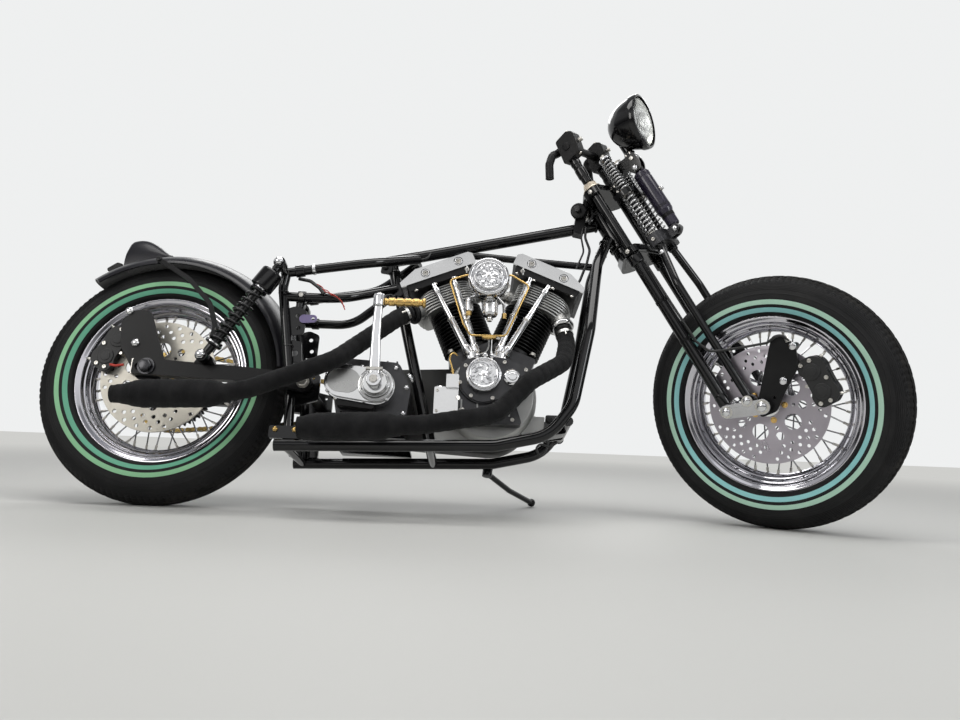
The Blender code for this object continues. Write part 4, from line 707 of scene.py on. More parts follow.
class Piece:
    """Meshes gathered in one object, each with its own material, in the space they are given in."""

    def __init__(self, name, body, space):
        self.name = name
        self.body = body
        self.space = space
        self.mats = []
        self.points = []
        self.faces = []
        self.index = []
        self.uv = {}

    def add(self, shape, material, place=None):
        if material not in self.mats:
            self.mats.append(material)
        slot = self.mats.index(material)
        base = len(self.points)
        matrix = self.space @ place if place else self.space
        for p in shape[0]:
            self.points.append(matrix @ Vector(p))
        for f in shape[1]:
            self.faces.append(tuple(i + base for i in f))
            self.index.append(slot)

    def done(self, *nodes, sharp=35.0, bevel=0.0, segments=1, uv=None):
        """Build the mesh, let it ride on its body and stand for the named nodes of the solids."""
        bm = bmesh.new()
        verts = [bm.verts.new(p) for p in self.points]
        layer = bm.loops.layers.uv.new("UVMap") if uv else None
        for face, slot in zip(self.faces, self.index):
            corners = []
            for i in face:
                if verts[i] not in corners:
                    corners.append(verts[i])
            if len(corners) < 3:
                continue
            made = bm.faces.new(corners)
            made.material_index = slot
            if layer:
                for loop, i in zip(made.loops, face):
                    loop[layer].uv = uv[i]
        bmesh.ops.remove_doubles(bm, verts=bm.verts, dist=1e-6)
        bmesh.ops.dissolve_degenerate(bm, dist=1e-7, edges=bm.edges)
        bmesh.ops.recalc_face_normals(bm, faces=bm.faces)
        mesh = bpy.data.meshes.new(self.name)
        bm.to_mesh(mesh)
        bm.free()
        for name in self.mats:
            mesh.materials.append(MAT[name])
        mesh.shade_smooth()
        mesh.set_sharp_from_angle(angle=radians(sharp))
        obj = placed(self.name, mesh)
        if bevel > 0.0:
            add_bevel(obj, bevel, segments)
        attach(obj, self.body)
        if nodes:
            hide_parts(*nodes)
        return obj


def add_bevel(obj, width, segments):
    modifier = obj.modifiers.new("soft edges", "BEVEL")
    modifier.width = width
    modifier.segments = segments
    modifier.limit_method = "ANGLE"
    modifier.angle_limit = radians(30.0)
    modifier.harden_normals = False


def right(x, y, z):
    """A place on the right side, with its distance from the middle given as a positive number."""
    return Vector((x, -y, z))


def bar(path, radius, bend=0.0, sides=24, steps=6):
    """A tube whose corners are bent to a radius."""
    return tube(rounded(path, bend, steps) if bend else path, radius, sides)


def lumpy_ring(centre, axis, radius, size, seed):
    """A weld bead round a tube's end."""
    axis = Vector(axis).normalized()
    x = axis.orthogonal().normalized()
    y = axis.cross(x)
    count = 64
    points = []
    faces = []
    for k in range(count):
        a = 2 * pi * k / count
        out = x * cos(a) + y * sin(a)
        swell = size * (0.85 + 0.25 * sin(16 * a + seed))
        for j in range(8):
            b = 2 * pi * j / 8
            points.append(Vector(centre) + out * (radius + swell * cos(b)) + axis * (swell * 1.2 * sin(b)))
    for k in range(count):
        for j in range(8):
            a0, a1 = k * 8 + j, k * 8 + (j + 1) % 8
            b0, b1 = ((k + 1) % count) * 8 + j, ((k + 1) % count) * 8 + (j + 1) % 8
            faces.append((a0, a1, b1, b0))
    return points, faces


def in_hole(p, spots):
    """Whether a place lies inside one of the hole outlines."""
    for middle, reach, loop in spots:
        if (p - middle).length > reach:
            continue
        inside = False
        for (x0, y0), (x1, y1) in zip(loop, loop[1:] + loop[:1]):
            if (y0 > p.y) != (y1 > p.y) and p.x < (x1 - x0) * (p.y - y0) / (y1 - y0) + x0:
                inside = not inside
        if inside:
            return True
    return False


def plate(outline, holes, low, high, plane_name="XZ"):
    """A flat plate with holes through it."""
    loops = [outline] + holes
    flat = []
    edges = []
    for loop in loops:
        base = len(flat)
        flat += [Vector(p) for p in loop]
        edges += [(base + i, base + (i + 1) % len(loop)) for i in range(len(loop))]
    verts, _, tris, _, _, _ = delaunay_2d_cdt(flat, edges, [], 1, 1e-7)
    spots = []
    for loop in holes:
        middle = sum((Vector(p) for p in loop), Vector((0.0, 0.0))) / len(loop)
        spots.append((middle, max((Vector(p) - middle).length for p in loop), loop))
    tris = [t for t in tris if not in_hole(sum((verts[i] for i in t), Vector((0.0, 0.0))) / 3.0, spots)]
    n = len(verts)
    points = []
    for w in (low, high):
        for v in verts:
            points.append({"XZ": (v.x, w, v.y), "XY": (v.x, v.y, w)}[plane_name])
    faces = [tuple(t) for t in tris] + [tuple(i + n for i in reversed(t)) for t in tris]
    count = {}
    for t in tris:
        for a, b in zip(t, list(t[1:]) + [t[0]]):
            count[(min(a, b), max(a, b))] = count.get((min(a, b), max(a, b)), 0) + 1
    faces += [(a, b, b + n, a + n) for (a, b), times in count.items() if times == 1]
    return points, faces


def circle(cx, cy, r, count=20, phase=0.0):
    return [(cx + r * cos(phase + 2 * pi * k / count), cy + r * sin(phase + 2 * pi * k / count))
            for k in range(count)]


def polar(r, angle):
    return (r * cos(angle), r * sin(angle))


# Tyres

STRIPES = ((0.2292, 0.2404, "teal"), (0.2482, 0.2598, "mint"))
TREAD_HALF = 0.0303
GROOVES = (-0.019, -0.0065, 0.0065, 0.019)
SHOULDER = 0.3118
TYRE_COLUMNS = 360


def wall_half(r):
    """Half width of the tyre at a radius."""
    half = TYRE_WIDTH / 2.0
    middle = TYRE_RADIUS - half
    if r <= middle:
        drop = (middle - r) / (middle - RIM_RADIUS - 0.0003)
        return 0.0425 + (half - 0.0425) * sqrt(max(0.0, 1.0 - drop * drop))
    return sqrt(max(0.0, half * half - (r - middle) ** 2))


def wall_rows():
    """(radius, lift) from the bead to the tread: stripes stand proud, the shoulder has fine ribs."""
    rows = [(0.2193, -0.004), (0.22, 0.0), (0.2215, 0.0006), (0.224, 0.001), (0.2262, 0.0006), (0.2275, 0.0)]
    for low, high, _ in STRIPES:
        rows += [(low - 0.0004, 0.0), (low, 0.0006)]
        rows += [((low + high) / 2.0, 0.0007)]
        rows += [(high, 0.0006), (high + 0.0004, 0.0)]
        rows += [(high + 0.0025, 0.0), (high + 0.005, 0.0)]
    rows += [(0.27, 0.0), (0.2732, 0.0), (0.2738, 0.0006), (0.2752, 0.0006), (0.2758, 0.0), (0.281, 0.0)]
    r = 0.285
    while r < 0.311:
        rows += [(r, 0.0), (r + 0.0004, 0.0009), (r + 0.002, 0.0009), (r + 0.0024, 0.0)]
        r += 0.0036
    return [row for i, row in enumerate(rows) if i == 0 or row[0] > rows[i - 1][0] + 1e-5]


def crown_rows():
    """(across, depth) over the tread."""
    rows = [(-TREAD_HALF, 0.0), (-0.0285, 0.0), (-0.0252, 0.0)]
    for g in GROOVES:
        rows += [(g - 0.002, 0.0), (g - 0.0012, 0.0034), (g + 0.0012, 0.0034), (g + 0.002, 0.0)]
        rows.append((g + 0.00625, 0.0))
    rows[-1] = (0.0252, 0.0)
    return rows + [(0.0285, 0.0), (TREAD_HALF, 0.0)]


def tyre_shape():
    """Points, faces and a material name for each face."""
    walls = wall_rows()
    crown = crown_rows()
    middle = TYRE_RADIUS - TYRE_WIDTH / 2.0
    half = TYRE_WIDTH / 2.0
    left = [("wall", r, -1, lift) for r, lift in walls if r < SHOULDER]
    right_side = [("wall", r, 1, lift) for r, lift in reversed(walls) if r < SHOULDER]
    rows = left + [("tread", y, 0, depth) for y, depth in crown] + right_side
    points = []
    for k in range(TYRE_COLUMNS):
        angle = 2.0 * pi * k / TYRE_COLUMNS
        zig = 0.0016 * (1.0 - abs(((k % 12) / 6.0) - 1.0) * 2.0)
        notch = k % 3 == 0
        for kind, value, side, lift in rows:
            if kind == "wall":
                y = side * (wall_half(value) + lift)
                r = value
                if value > 0.3045 and notch:
                    r -= 0.0022
                    y -= side * 0.0006
            else:
                y = value + zig * (1.0 - (value / TREAD_HALF) ** 2)
                depth = lift
                if abs(value) > 0.0205 and notch:
                    depth = max(depth, 0.0026)
                if 0.0 < abs(value) < 0.013 and (k + 2) % 6 == 0 and depth == 0.0:
                    depth = 0.0008
                r = middle + sqrt(half * half - y * y) - depth
            points.append((r * cos(angle), y, r * sin(angle)))
    n = len(rows)
    faces = []
    names = []
    for i in range(n - 1):
        a, b = rows[i], rows[i + 1]
        name = "tread"
        if a[0] == "wall" and b[0] == "wall":
            mean = (a[1] + b[1]) / 2.0
            name = "rubber"
            for low, high, stripe in STRIPES:
                if low < mean < high:
                    name = stripe
        for k in range(TYRE_COLUMNS):
            j = (k + 1) % TYRE_COLUMNS
            faces.append((k * n + i, k * n + i + 1, j * n + i + 1, j * n + i))
            names.append(name)
    return points, faces, names


def tyre(name, space, body, node, shape, inner, outer):
    points, faces, names = shape
    names = [{"teal": inner, "mint": outer}.get(m, m) for m in names]
    piece = Piece(name, body, space)
    for material in ("rubber", "tread", inner, outer):
        piece.mats.append(material)
    piece.points = [space @ Vector(p) for p in points]
    piece.faces = faces
    piece.index = [piece.mats.index(m) for m in names]
    obj = piece.done(node, sharp=28)


# Wheels

SPOKES = 40
SPOKE_SWEEP = radians(54)
RIM_ROWS = ((0.219, 0.044), (0.218, 0.0446), (0.215, 0.044), (0.2085, 0.0408), (0.205, 0.0402), (0.204, 0.0372),
            (0.2, 0.0322), (0.1962, 0.0314), (0.1948, 0.028), (0.1905, 0.0205), (0.188, 0.0198),
            (0.1855, 0.017), (0.1815, 0.012), (0.1795, 0.007), (0.179, 0.0))


def rim_shape():
    inner = [(r, -y) for r, y in reversed(RIM_ROWS[:-1])]
    back = [(0.219, -0.04), (0.185, -0.015), (0.185, 0.015), (0.219, 0.04)]
    return lathe(softened(list(RIM_ROWS) + inner + back, 0.001, True), 144, "Y", True)


def wheel(name, space, body, node, left_end):
    piece = Piece(name, body, space)
    piece.add(rim_shape(), "rim_chrome")
    for k in range(SPOKES):
        side = 1 if k % 2 else -1
        lean = 1 if (k // 2) % 2 else -1
        rim_angle = 2 * pi * k / SPOKES
        hub_angle = rim_angle + lean * SPOKE_SWEEP
        start = Vector((0.042 * cos(hub_angle), side * (0.0365 + lean * 0.0042), 0.042 * sin(hub_angle)))
        end = Vector((0.181 * cos(rim_angle), side * 0.006, 0.181 * sin(rim_angle)))
        way = (end - start).normalized()
        piece.add(tube([start, start + way * 0.012, end], [0.0023, 0.0019, 0.0019], 8), "spoke_chrome")
        piece.add(turned(end, -way, [(0.0, -0.002), (0.0046, -0.002), (0.0046, 0.0015), (0.0032, 0.003),
                                     (0.0032, 0.013), (0.0024, 0.014), (0.0, 0.014)], 8), "zinc")
        piece.add(drum(start, LEFT, 0.004, -0.0016, 0.0016, 12), "spoke_chrome")
    hub = [(0.0, -0.066), (0.0285, -0.066), (0.0292, -0.065), (0.0292, -0.048), (0.033, -0.044),
           (0.0395, -0.043), (0.048, -0.039), (0.048, -0.034), (0.04, -0.032), (0.03, -0.025), (0.0262, -0.018),
           (0.0255, 0.0), (0.0262, 0.018), (0.03, 0.025), (0.04, 0.032), (0.048, 0.034), (0.048, 0.039),
           (0.0395, 0.043), (0.0395, left_end - 0.001), (0.0385, left_end), (0.0, left_end)]
    piece.add(lathe(softened(hub, 0.001), 72, "Y"), "polished")
    for k in range(5):
        x, z = polar(0.0395, 2 * pi * k / 5 + 0.3)
        piece.add(drum((x, 0, z), RIGHT, 0.0085, 0.04, 0.0572, 20, 0.0006), "cast")
    for k in range(10):
        x, z = polar(0.035, 2 * pi * k / 10)
        piece.add(drum((x, 0, z), RIGHT, 0.0016, 0.043, 0.0475, 8), "steel")
    obj = piece.done(node, sharp=30)


def brake_disc(name, space, body, node, material, phase, steps, drill):
    """A drilled disc with five large windows and its bolts."""
    half = 0.0024
    holes = [circle(0.0, 0.0, 0.0295, 48)]
    for k in range(5):
        a = phase + 2 * pi * k / 5
        holes.append(circle(*polar(0.0705, a), 0.02, 40))
        holes.append(circle(*polar(0.081, a + pi / 5), 0.01, 28))
        holes.append(circle(*polar(0.06, a + pi / 5), 0.0048, 16))
    for k in range(steps):
        a = phase + 2 * pi * k / steps
        for j, r in enumerate((0.1065, 0.1205, 0.135)):
            if (k + j) % 6 != 2:
                holes.append(circle(*polar(r, a + j * 0.11), drill, 16))
    piece = Piece(name, body, space @ Matrix.Translation((0.0, DISC_Y, 0.0)))
    piece.add(plate(circle(0.0, 0.0, DISC_RADIUS, 240), holes, -half, half), material)
    for k in range(5):
        x, z = polar(0.0395, phase + pi / 5 + 2 * pi * k / 5)
        piece.add(hex_bolt((x, -half, z), RIGHT, 0.0105, 0.0042), "brass")
    obj = piece.done(node, sharp=30, bevel=0.0004)


def sprocket():
    teeth = 44
    root, tip = 0.0955, 0.1025
    outline = []
    for k in range(teeth):
        for share, r in ((0.0, root), (0.16, root + 0.0004), (0.36, tip - 0.001), (0.44, tip), (0.56, tip),
                         (0.64, tip - 0.001), (0.84, root + 0.0004)):
            outline.append(polar(r, 2 * pi * (k + share) / teeth))
    holes = [circle(0.0, 0.0, 0.0396, 60)]
    for k in range(15):
        holes.append(circle(*polar(0.08, 2 * pi * k / 15), 0.0052, 18))
    for k in range(10):
        holes.append(circle(*polar(0.064, 2 * pi * (k + 0.5) / 10), 0.0065, 20))
    piece = Piece("sprocket", "rear_wheel_set", REAR_AXLE @ Matrix.Translation((0.0, CHAIN_Y, 0.0)))
    piece.add(plate(outline, holes, -0.0028, 0.0028), "engine_black")
    for k in range(5):
        x, z = polar(0.05, 2 * pi * k / 5)
        piece.add(hex_bolt((x, -0.0028, z), RIGHT, 0.011, 0.005), "zinc")
    piece.done("rear_sprocket", sharp=30, bevel=0.0004)


CHAIN_PITCH = 0.015875


def chain_path():
    """Centre line of the chain about the two sprockets, one point for each roller."""
    r1, r0 = 0.111, 0.044
    rear = Vector((0.0, TYRE_RADIUS))
    front = Vector((0.486, 0.3))
    d = front - rear
    slope = atan2(d.y, d.x)
    lean = acos((r1 - r0) / d.length)
    line = []
    for centre, r, a0, a1 in ((rear, r1, slope + lean, slope + 2 * pi - lean),
                              (front, r0, slope - lean, slope + lean)):
        for k in range(61):
            a = a0 + (a1 - a0) * k / 60
            line.append(centre + Vector(polar(r, a)))
    line.append(line[0])
    length = sum((b - a).length for a, b in zip(line[:-1], line[1:]))
    links = 2 * round(length / CHAIN_PITCH / 2)
    step = length / links
    out = []
    walked = 0.0
    target = 0.0
    for a, b in zip(line[:-1], line[1:]):
        span = (b - a).length
        while target <= walked + span and len(out) < links:
            out.append(a + (b - a) * ((target - walked) / max(span, 1e-9)))
            target += step
        walked += span
    return out


def chain():
    piece = Piece("chain", "frame", BIKE)
    spots = chain_path()
    n = len(spots)
    for i, p in enumerate(spots):
        q = spots[(i + 1) % n]
        d = q - p
        pitch = d.length
        angle = atan2(d.y, d.x)
        wide = i % 2 == 0
        outline = []
        for cx, start in ((pitch, -0.5), (0.0, 0.5)):
            for k in range(9):
                outline.append((cx + 0.0056 * cos(pi * (start + k / 8)), 0.0056 * sin(pi * (start + k / 8))))
            if cx > 0.0:
                outline.append((pitch / 2.0, 0.0043))
        outline.append((pitch / 2.0, -0.0043))
        place = Matrix.Translation((p.x, CHAIN_Y, p.y)) @ Matrix.Rotation(-angle, 4, "Y")
        for side in (-1, 1):
            low, high = (0.0062, 0.0076) if wide else (0.0045, 0.0059)
            low, high = sorted((side * low, side * high))
            piece.add(prism(outline, low, high), "gold_chain" if wide else "steel", place)
        piece.add(drum((0, 0, 0), LEFT, 0.0047, -0.0045, 0.0045, 14), "steel", place)
        piece.add(drum((0, 0, 0), LEFT, 0.0026, -0.0084, 0.0084, 10, 0.0004), "gold_chain", place)
    piece.done("drive_chain")


# Frame

def cradle_path(side):
    y = 0.12 * side
    return [Vector((1.159, 0.026 * side, 0.772)), Vector((1.124, 0.06 * side, 0.68)), Vector((1.094, y, 0.47)),
            Vector((1.052, y, 0.27)), Vector((0.992, y, 0.19)), Vector((0.86, y, 0.16)),
            Vector((0.33, y, 0.142))]


def frame_tubes():
    for side, word in ((-1, "right"), (1, "left")):
        piece = Piece("cradle_tube_" + word, "frame", BIKE)
        path = rounded(cradle_path(side), 0.11, 14)
        piece.add(tube(path, 0.0145, 32), "gloss_black")
        piece.add(drum((0, 0, 0), (-1, 0, -0.034), 0.0149, 0.0, 0.003, 32, 0.001), "gloss_black",
                  Matrix.Translation(cradle_path(side)[-1]))
        piece.add(lumpy_ring((1.15, 0.033 * side, 0.752), (0.36, -0.36 * side, 0.86), 0.0148, 0.0022, 1.0),
                  "gloss_black")
        if side > 0:
            up = BIKE.to_3x3().inverted() @ Vector(JOINTS["side_stand_fold"]["axis"]).normalized()
            low = STAND_PIVOT + up * 0.0093
            piece.add(drum(low, up, 0.014, 0.0, 0.01, 32, 0.001), "gloss_black")
            piece.add(bar([low + up * 0.0052, Vector((0.85, 0.12, 0.16))], 0.0055, sides=16), "gloss_black")
            piece.add(hex_bolt(low + up * 0.01, up, 0.013, 0.006), "zinc")
        piece.done("cradle_" + word, sharp=50)


def head_and_backbone():
    piece = Piece("steering_head", "frame", HEAD_SPACE)
    profile = [(0.0, HEAD_BOTTOM), (0.028, HEAD_BOTTOM), (0.031, HEAD_BOTTOM + 0.003),
               (0.031, HEAD_BOTTOM + 0.013), (0.027, HEAD_BOTTOM + 0.016), (0.027, HEAD_TOP - 0.016),
               (0.031, HEAD_TOP - 0.013), (0.031, HEAD_TOP - 0.003), (0.028, HEAD_TOP), (0.0, HEAD_TOP)]
    piece.add(lathe(softened(profile, 0.0012), 64), "gloss_black")
    piece.done("head_tube")
    piece = Piece("main_tube", "frame", BIKE)
    front = HEAD + Vector((-sin(RAKE), 0.0, cos(RAKE))) * 0.036
    rear = Vector((0.64, 0.0, 0.708))
    way = (front - rear).normalized()
    piece.add(bar([rear, front - way * 0.0275], 0.016, sides=40), "gloss_black")
    piece.add(lumpy_ring(front - way * 0.031, way, 0.0165, 0.0024, 0.0), "gloss_black")
    piece.add(bar([(0.7, 0.0, 0.7235), (1.128, 0.0, 0.697)], 0.01, sides=28), "gloss_black")
    piece.add(lumpy_ring((1.122, 0.0, 0.6975), (1, 0, -0.06), 0.0104, 0.002, 2.0), "gloss_black")
    piece.add(lumpy_ring((0.76, 0.0, 0.7205), (1, 0, -0.06), 0.0104, 0.0018, 3.0), "gloss_black")
    gusset = [(1.128, 0.69), (1.158, 0.76), (1.146, 0.782), (1.124, 0.706)]
    piece.add(prism(corner_rounded(gusset, 0.004), -0.0025, 0.0025), "gloss_black")
    piece.done("backbone", sharp=45)


def cross_members():
    piece = Piece("front_engine_mount", "frame", BIKE)
    piece.add(bar([right(1.041, 0.108, 0.232), right(1.041, -0.108, 0.232)], 0.011), "gloss_black")
    outline = corner_rounded([(0.986, 0.206), (1.043, 0.216), (1.046, 0.262), (0.991, 0.262)], 0.005)
    piece.add(plate(outline, [circle(1.018, 0.24, 0.006, 20)], -0.04, -0.034), "gloss_black")
    piece.add(plate(outline, [circle(1.018, 0.24, 0.006, 20)], 0.034, 0.04), "gloss_black")
    inside = [(0.988, 0.208), (1.041, 0.218), (1.043, 0.232), (0.99, 0.232)]
    piece.add(prism(corner_rounded(inside, 0.004), -0.035, 0.035), "gloss_black")
    for x, z in ((1.0, 0.248), (1.002, 0.22), (1.031, 0.252)):
        piece.add(hex_bolt(right(x, 0.04, z), RIGHT, 0.013, 0.007), "engine_black")
    for y in (0.106, -0.106):
        piece.add(lumpy_ring(right(1.041, y, 0.232), LEFT, 0.0112, 0.002, y), "gloss_black")
    piece.done("front_cross_member", bevel=0.0008)
    piece = Piece("rear_cross_tube", "frame", BIKE)
    piece.add(bar([right(0.352, 0.107, 0.143), right(0.352, -0.107, 0.143)], 0.011), "gloss_black")
    piece.done("rear_cross_member")
    piece = Piece("gear_case_plate", "frame", BIKE)
    outline = corner_rounded([(0.456, -0.125), (0.644, -0.125), (0.644, 0.125), (0.456, 0.125)], 0.008)
    holes = [circle(x, y, 0.005, 18) for x in (0.475, 0.625) for y in (-0.06, 0.06)]
    piece.add(plate(outline, holes, 0.168, 0.174, "XY"), "gloss_black")
    for x in (0.475, 0.625):
        piece.add(hex_bolt((x, -0.06, 0.174), UP, 0.014, 0.008), "zinc")
    piece.done("gearbox_plate", bevel=0.0008)


def subframe(side, word):
    flip = Matrix.Scale(-1.0 if side > 0 else 1.0, 4, Vector((0.0, 1.0, 0.0)))
    piece = Piece("rear_frame_" + word, "frame", BIKE @ flip)
    y = 0.1
    upright = [right(0.306, y, 0.612), right(0.3, y, 0.56), right(0.348, y, 0.285), right(0.356, y + 0.008, 0.152)]
    piece.add(bar(upright, 0.0125, 0.06), "gloss_black")
    top = [right(0.292, y, 0.6015), right(0.306, y, 0.603), right(0.52, y, 0.64), right(0.64, 0.0135, 0.694)]
    piece.add(bar(top, 0.0125, 0.14, 28, 10), "gloss_black")
    middle = [right(0.302, y, 0.536), right(0.455, y, 0.536), right(0.58, 0.016, 0.603)]
    piece.add(bar(middle, 0.0125, 0.12, 28, 10), "gloss_black")
    piece.add(drum(right(0.34, y, 0.6087), (1, 0, 0.17), 0.0158, -0.012, 0.012, 32, 0.002), "gloss_black")
    piece.add(drum(right(0.376, y, 0.615), (1, 0, 0.17), 0.0145, -0.004, 0.004, 32, 0.001), "chrome")
    piece.add(drum(right(0.352, y, 0.536), FORWARD, 0.016, -0.01, 0.01, 32, 0.002), "gloss_black")
    piece.add(drum(right(0.352, y + 0.016, 0.536), RIGHT, 0.0065, -0.002, 0.002, 6), "zinc")
    piece.add(bar([right(0.303, y, 0.598), right(0.303, 0.148, 0.598)], 0.009, sides=24), "gloss_black")
    piece.add(lumpy_ring(right(0.303, y + 0.013, 0.598), LEFT, 0.0095, 0.0018, 0.5), "gloss_black")
    pivot = corner_rounded([(0.335, 0.235), (0.42, 0.262), (0.42, 0.326), (0.335, 0.345)], 0.006)
    piece.add(plate(pivot, [circle(0.386, 0.296, 0.0143, 32), circle(0.403, 0.318, 0.0035, 14)], -y - 0.005,
                    -y + 0.005), "gloss_black")
    tab = corner_rounded([(0.334, 0.43), (0.366, 0.436), (0.368, 0.5), (0.34, 0.512), (0.318, 0.505)], 0.008)
    piece.add(plate(tab, [circle(0.35, 0.452, 0.0055, 18), circle(0.345, 0.485, 0.0055, 18)], -y + 0.002,
                    -y + 0.006), "gloss_black")
    web = corner_rounded([(0.34, 0.33), (0.372, 0.33), (0.362, 0.415), (0.33, 0.42)], 0.006)
    piece.add(plate(web, [circle(0.352, 0.352, 0.008, 20), circle(0.348, 0.384, 0.008, 20)], -y + 0.001,
                    -y + 0.005), "gloss_black")
    foot = corner_rounded([(0.3115, 0.158), (0.3905, 0.158), (0.3905, 0.1895), (0.3115, 0.1895)], 0.006)
    piece.add(prism(foot, -y - 0.026, -y - 0.014), "gloss_black")
    for x in (0.327, 0.375):
        piece.add(acorn(right(x, y + 0.026, 0.18), RIGHT, 0.0072, 0.008), "brass")
    if side < 0:
        piece.add(plate(slot_outline((0.386, 0.477), (0.362, 0.476), 0.0105, 0.0115, 10),
                        [circle(0.386, 0.477, 0.0042, 18)], -y - 0.003, -y), "violet")
    for spot, way, r in (((0.303, 0.547), (0.17, 0.98), 0.0128), ((0.33, 0.4), (0.17, 0.98), 0.0126)):
        piece.add(lumpy_ring(right(spot[0], y, spot[1]), (way[0], 0, -way[1]), r, 0.0012, spot[0] * 30),
                  "gloss_black")
    piece.done("subframe_" + word, sharp=45, bevel=0.0006)


def seat_post():
    piece = Piece("seat_post_tube", "frame", BIKE)
    top = Vector((0.566, 0.0, 0.69))
    low = Vector((0.702, 0.0, 0.164))
    piece.add(bar([low, top], 0.0145, sides=36), "gloss_black")
    piece.add(bar([right(0.702, 0.106, 0.154), right(0.702, -0.106, 0.154)], 0.012), "gloss_black")
    piece.add(drum((0, 0, 0), Vector((0.088, 0.0, 0.02)), 0.0164, 0.0, 0.09, 40, 0.002), "gloss_black",
              Matrix.Translation((0.552, 0.0, 0.688)))
    piece.add(lumpy_ring((0.5745, 0.0, 0.6575), (0.25, 0, -0.97), 0.015, 0.0022, 0.0), "gloss_black")
    for x, z in ((0.556, 0.664), (0.588, 0.602)):
        outline = corner_rounded([(x - 0.018, z - 0.016), (x + 0.012, z - 0.02), (x + 0.014, z + 0.012),
                                  (x - 0.014, z + 0.016)], 0.006)
        piece.add(plate(outline, [circle(x - 0.004, z, 0.0045, 18)], -0.0185, -0.0145), "gloss_black")
        piece.add(hex_bolt((x - 0.004, -0.0185, z), RIGHT, 0.011, 0.006), "engine_black")
    piece.done("seat_post", bevel=0.0006)


def swingarm():
    piece = Piece("rear_swingarm", "frame", BIKE)
    z = TYRE_RADIUS
    for side in (-1, 1):
        flip = Matrix.Scale(-side, 4, Vector((0.0, 1.0, 0.0)))
        outline = [(-0.036, z + 0.018), (0.02, z + 0.02), (0.25, 0.328), (0.386, 0.316), (0.405, 0.306),
                   (0.406, 0.29), (0.386, 0.276), (0.25, 0.292), (-0.036, z - 0.018)]
        slot = slot_outline((-0.02, z), (0.01, z), 0.0092, 0.0092, 8)
        piece.add(plate(corner_rounded(outline, 0.005), [slot], -SWINGARM_OUT, -SWINGARM_IN), "satin_black", flip)
        mount = corner_rounded([(0.112, 0.3316), (0.168, 0.326), (0.153, 0.356), (0.127, 0.356)], 0.006)
        piece.add(prism(mount, -SWINGARM_OUT, -SWINGARM_IN), "satin_black", flip)
        near = 0.0668 if side < 0 else 0.0848
        piece.add(bar([(0.0, -near, z), (0.0, -0.122, z)], 0.014, sides=32), "zinc", flip)
        piece.add(drum((0, 0, 0), RIGHT, 0.0195, SWINGARM_OUT, 0.1485, 40, 0.0006), "link_chrome",
                  flip @ Matrix.Translation((0, 0, z)))
        piece.add(hex_bolt((0.0, -0.1485, z), RIGHT, 0.029, 0.0125), "dark_alloy", flip)
        adjuster = [(-0.0375, z - 0.019), (-0.034, z - 0.019), (-0.034, z + 0.019), (-0.0375, z + 0.019)]
        piece.add(prism(adjuster, -SWINGARM_OUT, -SWINGARM_IN), "zinc", flip)
        piece.add(bar([(-0.036, -0.133, z), (0.0, -0.133, z)], 0.0035, sides=12), "zinc", flip)
        piece.add(hex_bolt((-0.037, -0.133, z), BACK, 0.01, 0.005), "zinc", flip)
    piece.add(bar([right(0.386, 0.1295, 0.296), right(0.386, -0.1295, 0.296)], 0.014, sides=32), "satin_black")
    for side in (-1, 1):
        piece.add(hex_bolt((0.386, SWINGARM_OUT * side, 0.296), (0, side, 0), 0.022, 0.009), "zinc")
    piece.done("swingarm", bevel=0.001, sharp=40)


def fender():
    piece = Piece("rear_mudguard", "frame", BIKE)
    outer, t, h = 0.352, 0.0035, 0.084
    section = []
    for k in range(41):
        u = k / 40.0 * 2.0 - 1.0
        if abs(u) < 0.8:
            y = u / 0.8 * 0.068
            section.append((outer - 5.2 * y * y, y))
        else:
            s = (abs(u) - 0.8) / 0.2
            y = 0.068 + (h - 0.068) * sin(s * pi / 2)
            section.append((outer - 0.024 - 0.023 * s, y if u > 0 else -y))
    inner = [(r - t * (1.0 if abs(y) < 0.0685 else 0.4),
              y - (1 if y > 0 else -1) * (0.0 if abs(y) < 0.0685 else t * 0.8)) for r, y in reversed(section)]
    loop = section + inner
    start, end, steps = radians(6), radians(130), 120
    points = []
    n = len(loop)
    for k in range(steps + 1):
        a = start + (end - start) * k / steps
        tip = max(0.0, (k - steps + 10) / 10.0)
        for r, y in loop:
            aa = a - tip * 0.05 * (abs(y) / h) ** 2
            points.append((r * cos(aa), y, TYRE_RADIUS + r * sin(aa)))
    piece.add((points, bands(steps + 1, n) + end_faces(steps + 1, n)), "fender_black")
    for side in (-1, 1):
        path = [(-0.04, h + 0.003, 0.634), (0.057, h + 0.022, 0.572), (0.124, 0.12, 0.502),
                (0.149, 0.13, 0.437), (0.142, 0.134, 0.362)]
        pts = rounded(path, 0.05, 6)
        rows = []
        for i, p in enumerate(pts):
            a = pts[max(0, i - 1)]
            b = pts[min(len(pts) - 1, i + 1)]
            way = (b - a).normalized()
            across = Vector((0.0, 1.0, 0.0))
            across = (across - way * across.dot(way)).normalized()
            wide = way.cross(across)
            rows.append([p + wide * (0.0062 * u) + across * (0.0025 * v) for u,
                         v in ((-1, -1), (1, -1), (1, 1), (-1, 1))])
        verts = [Vector((q.x, q.y * side, q.z)) for row in rows for q in row]
        quads = [(4 * i + k, 4 * i + (k + 1) % 4, 4 * i + 4 + (k + 1) % 4, 4 * i + 4 + k)
                 for i in range(len(rows) - 1) for k in range(4)]
        quads += [(0, 1, 2, 3), tuple(4 * len(rows) - 4 + k for k in (3, 2, 1, 0))]
        piece.add((verts, quads), "satin_black")
        piece.add(hex_bolt((-0.036, side * (h + 0.0055), 0.6315), (0, side, 0), 0.011, 0.005), "engine_black")
    piece.done("rear_fender", sharp=45, bevel=0.0006)


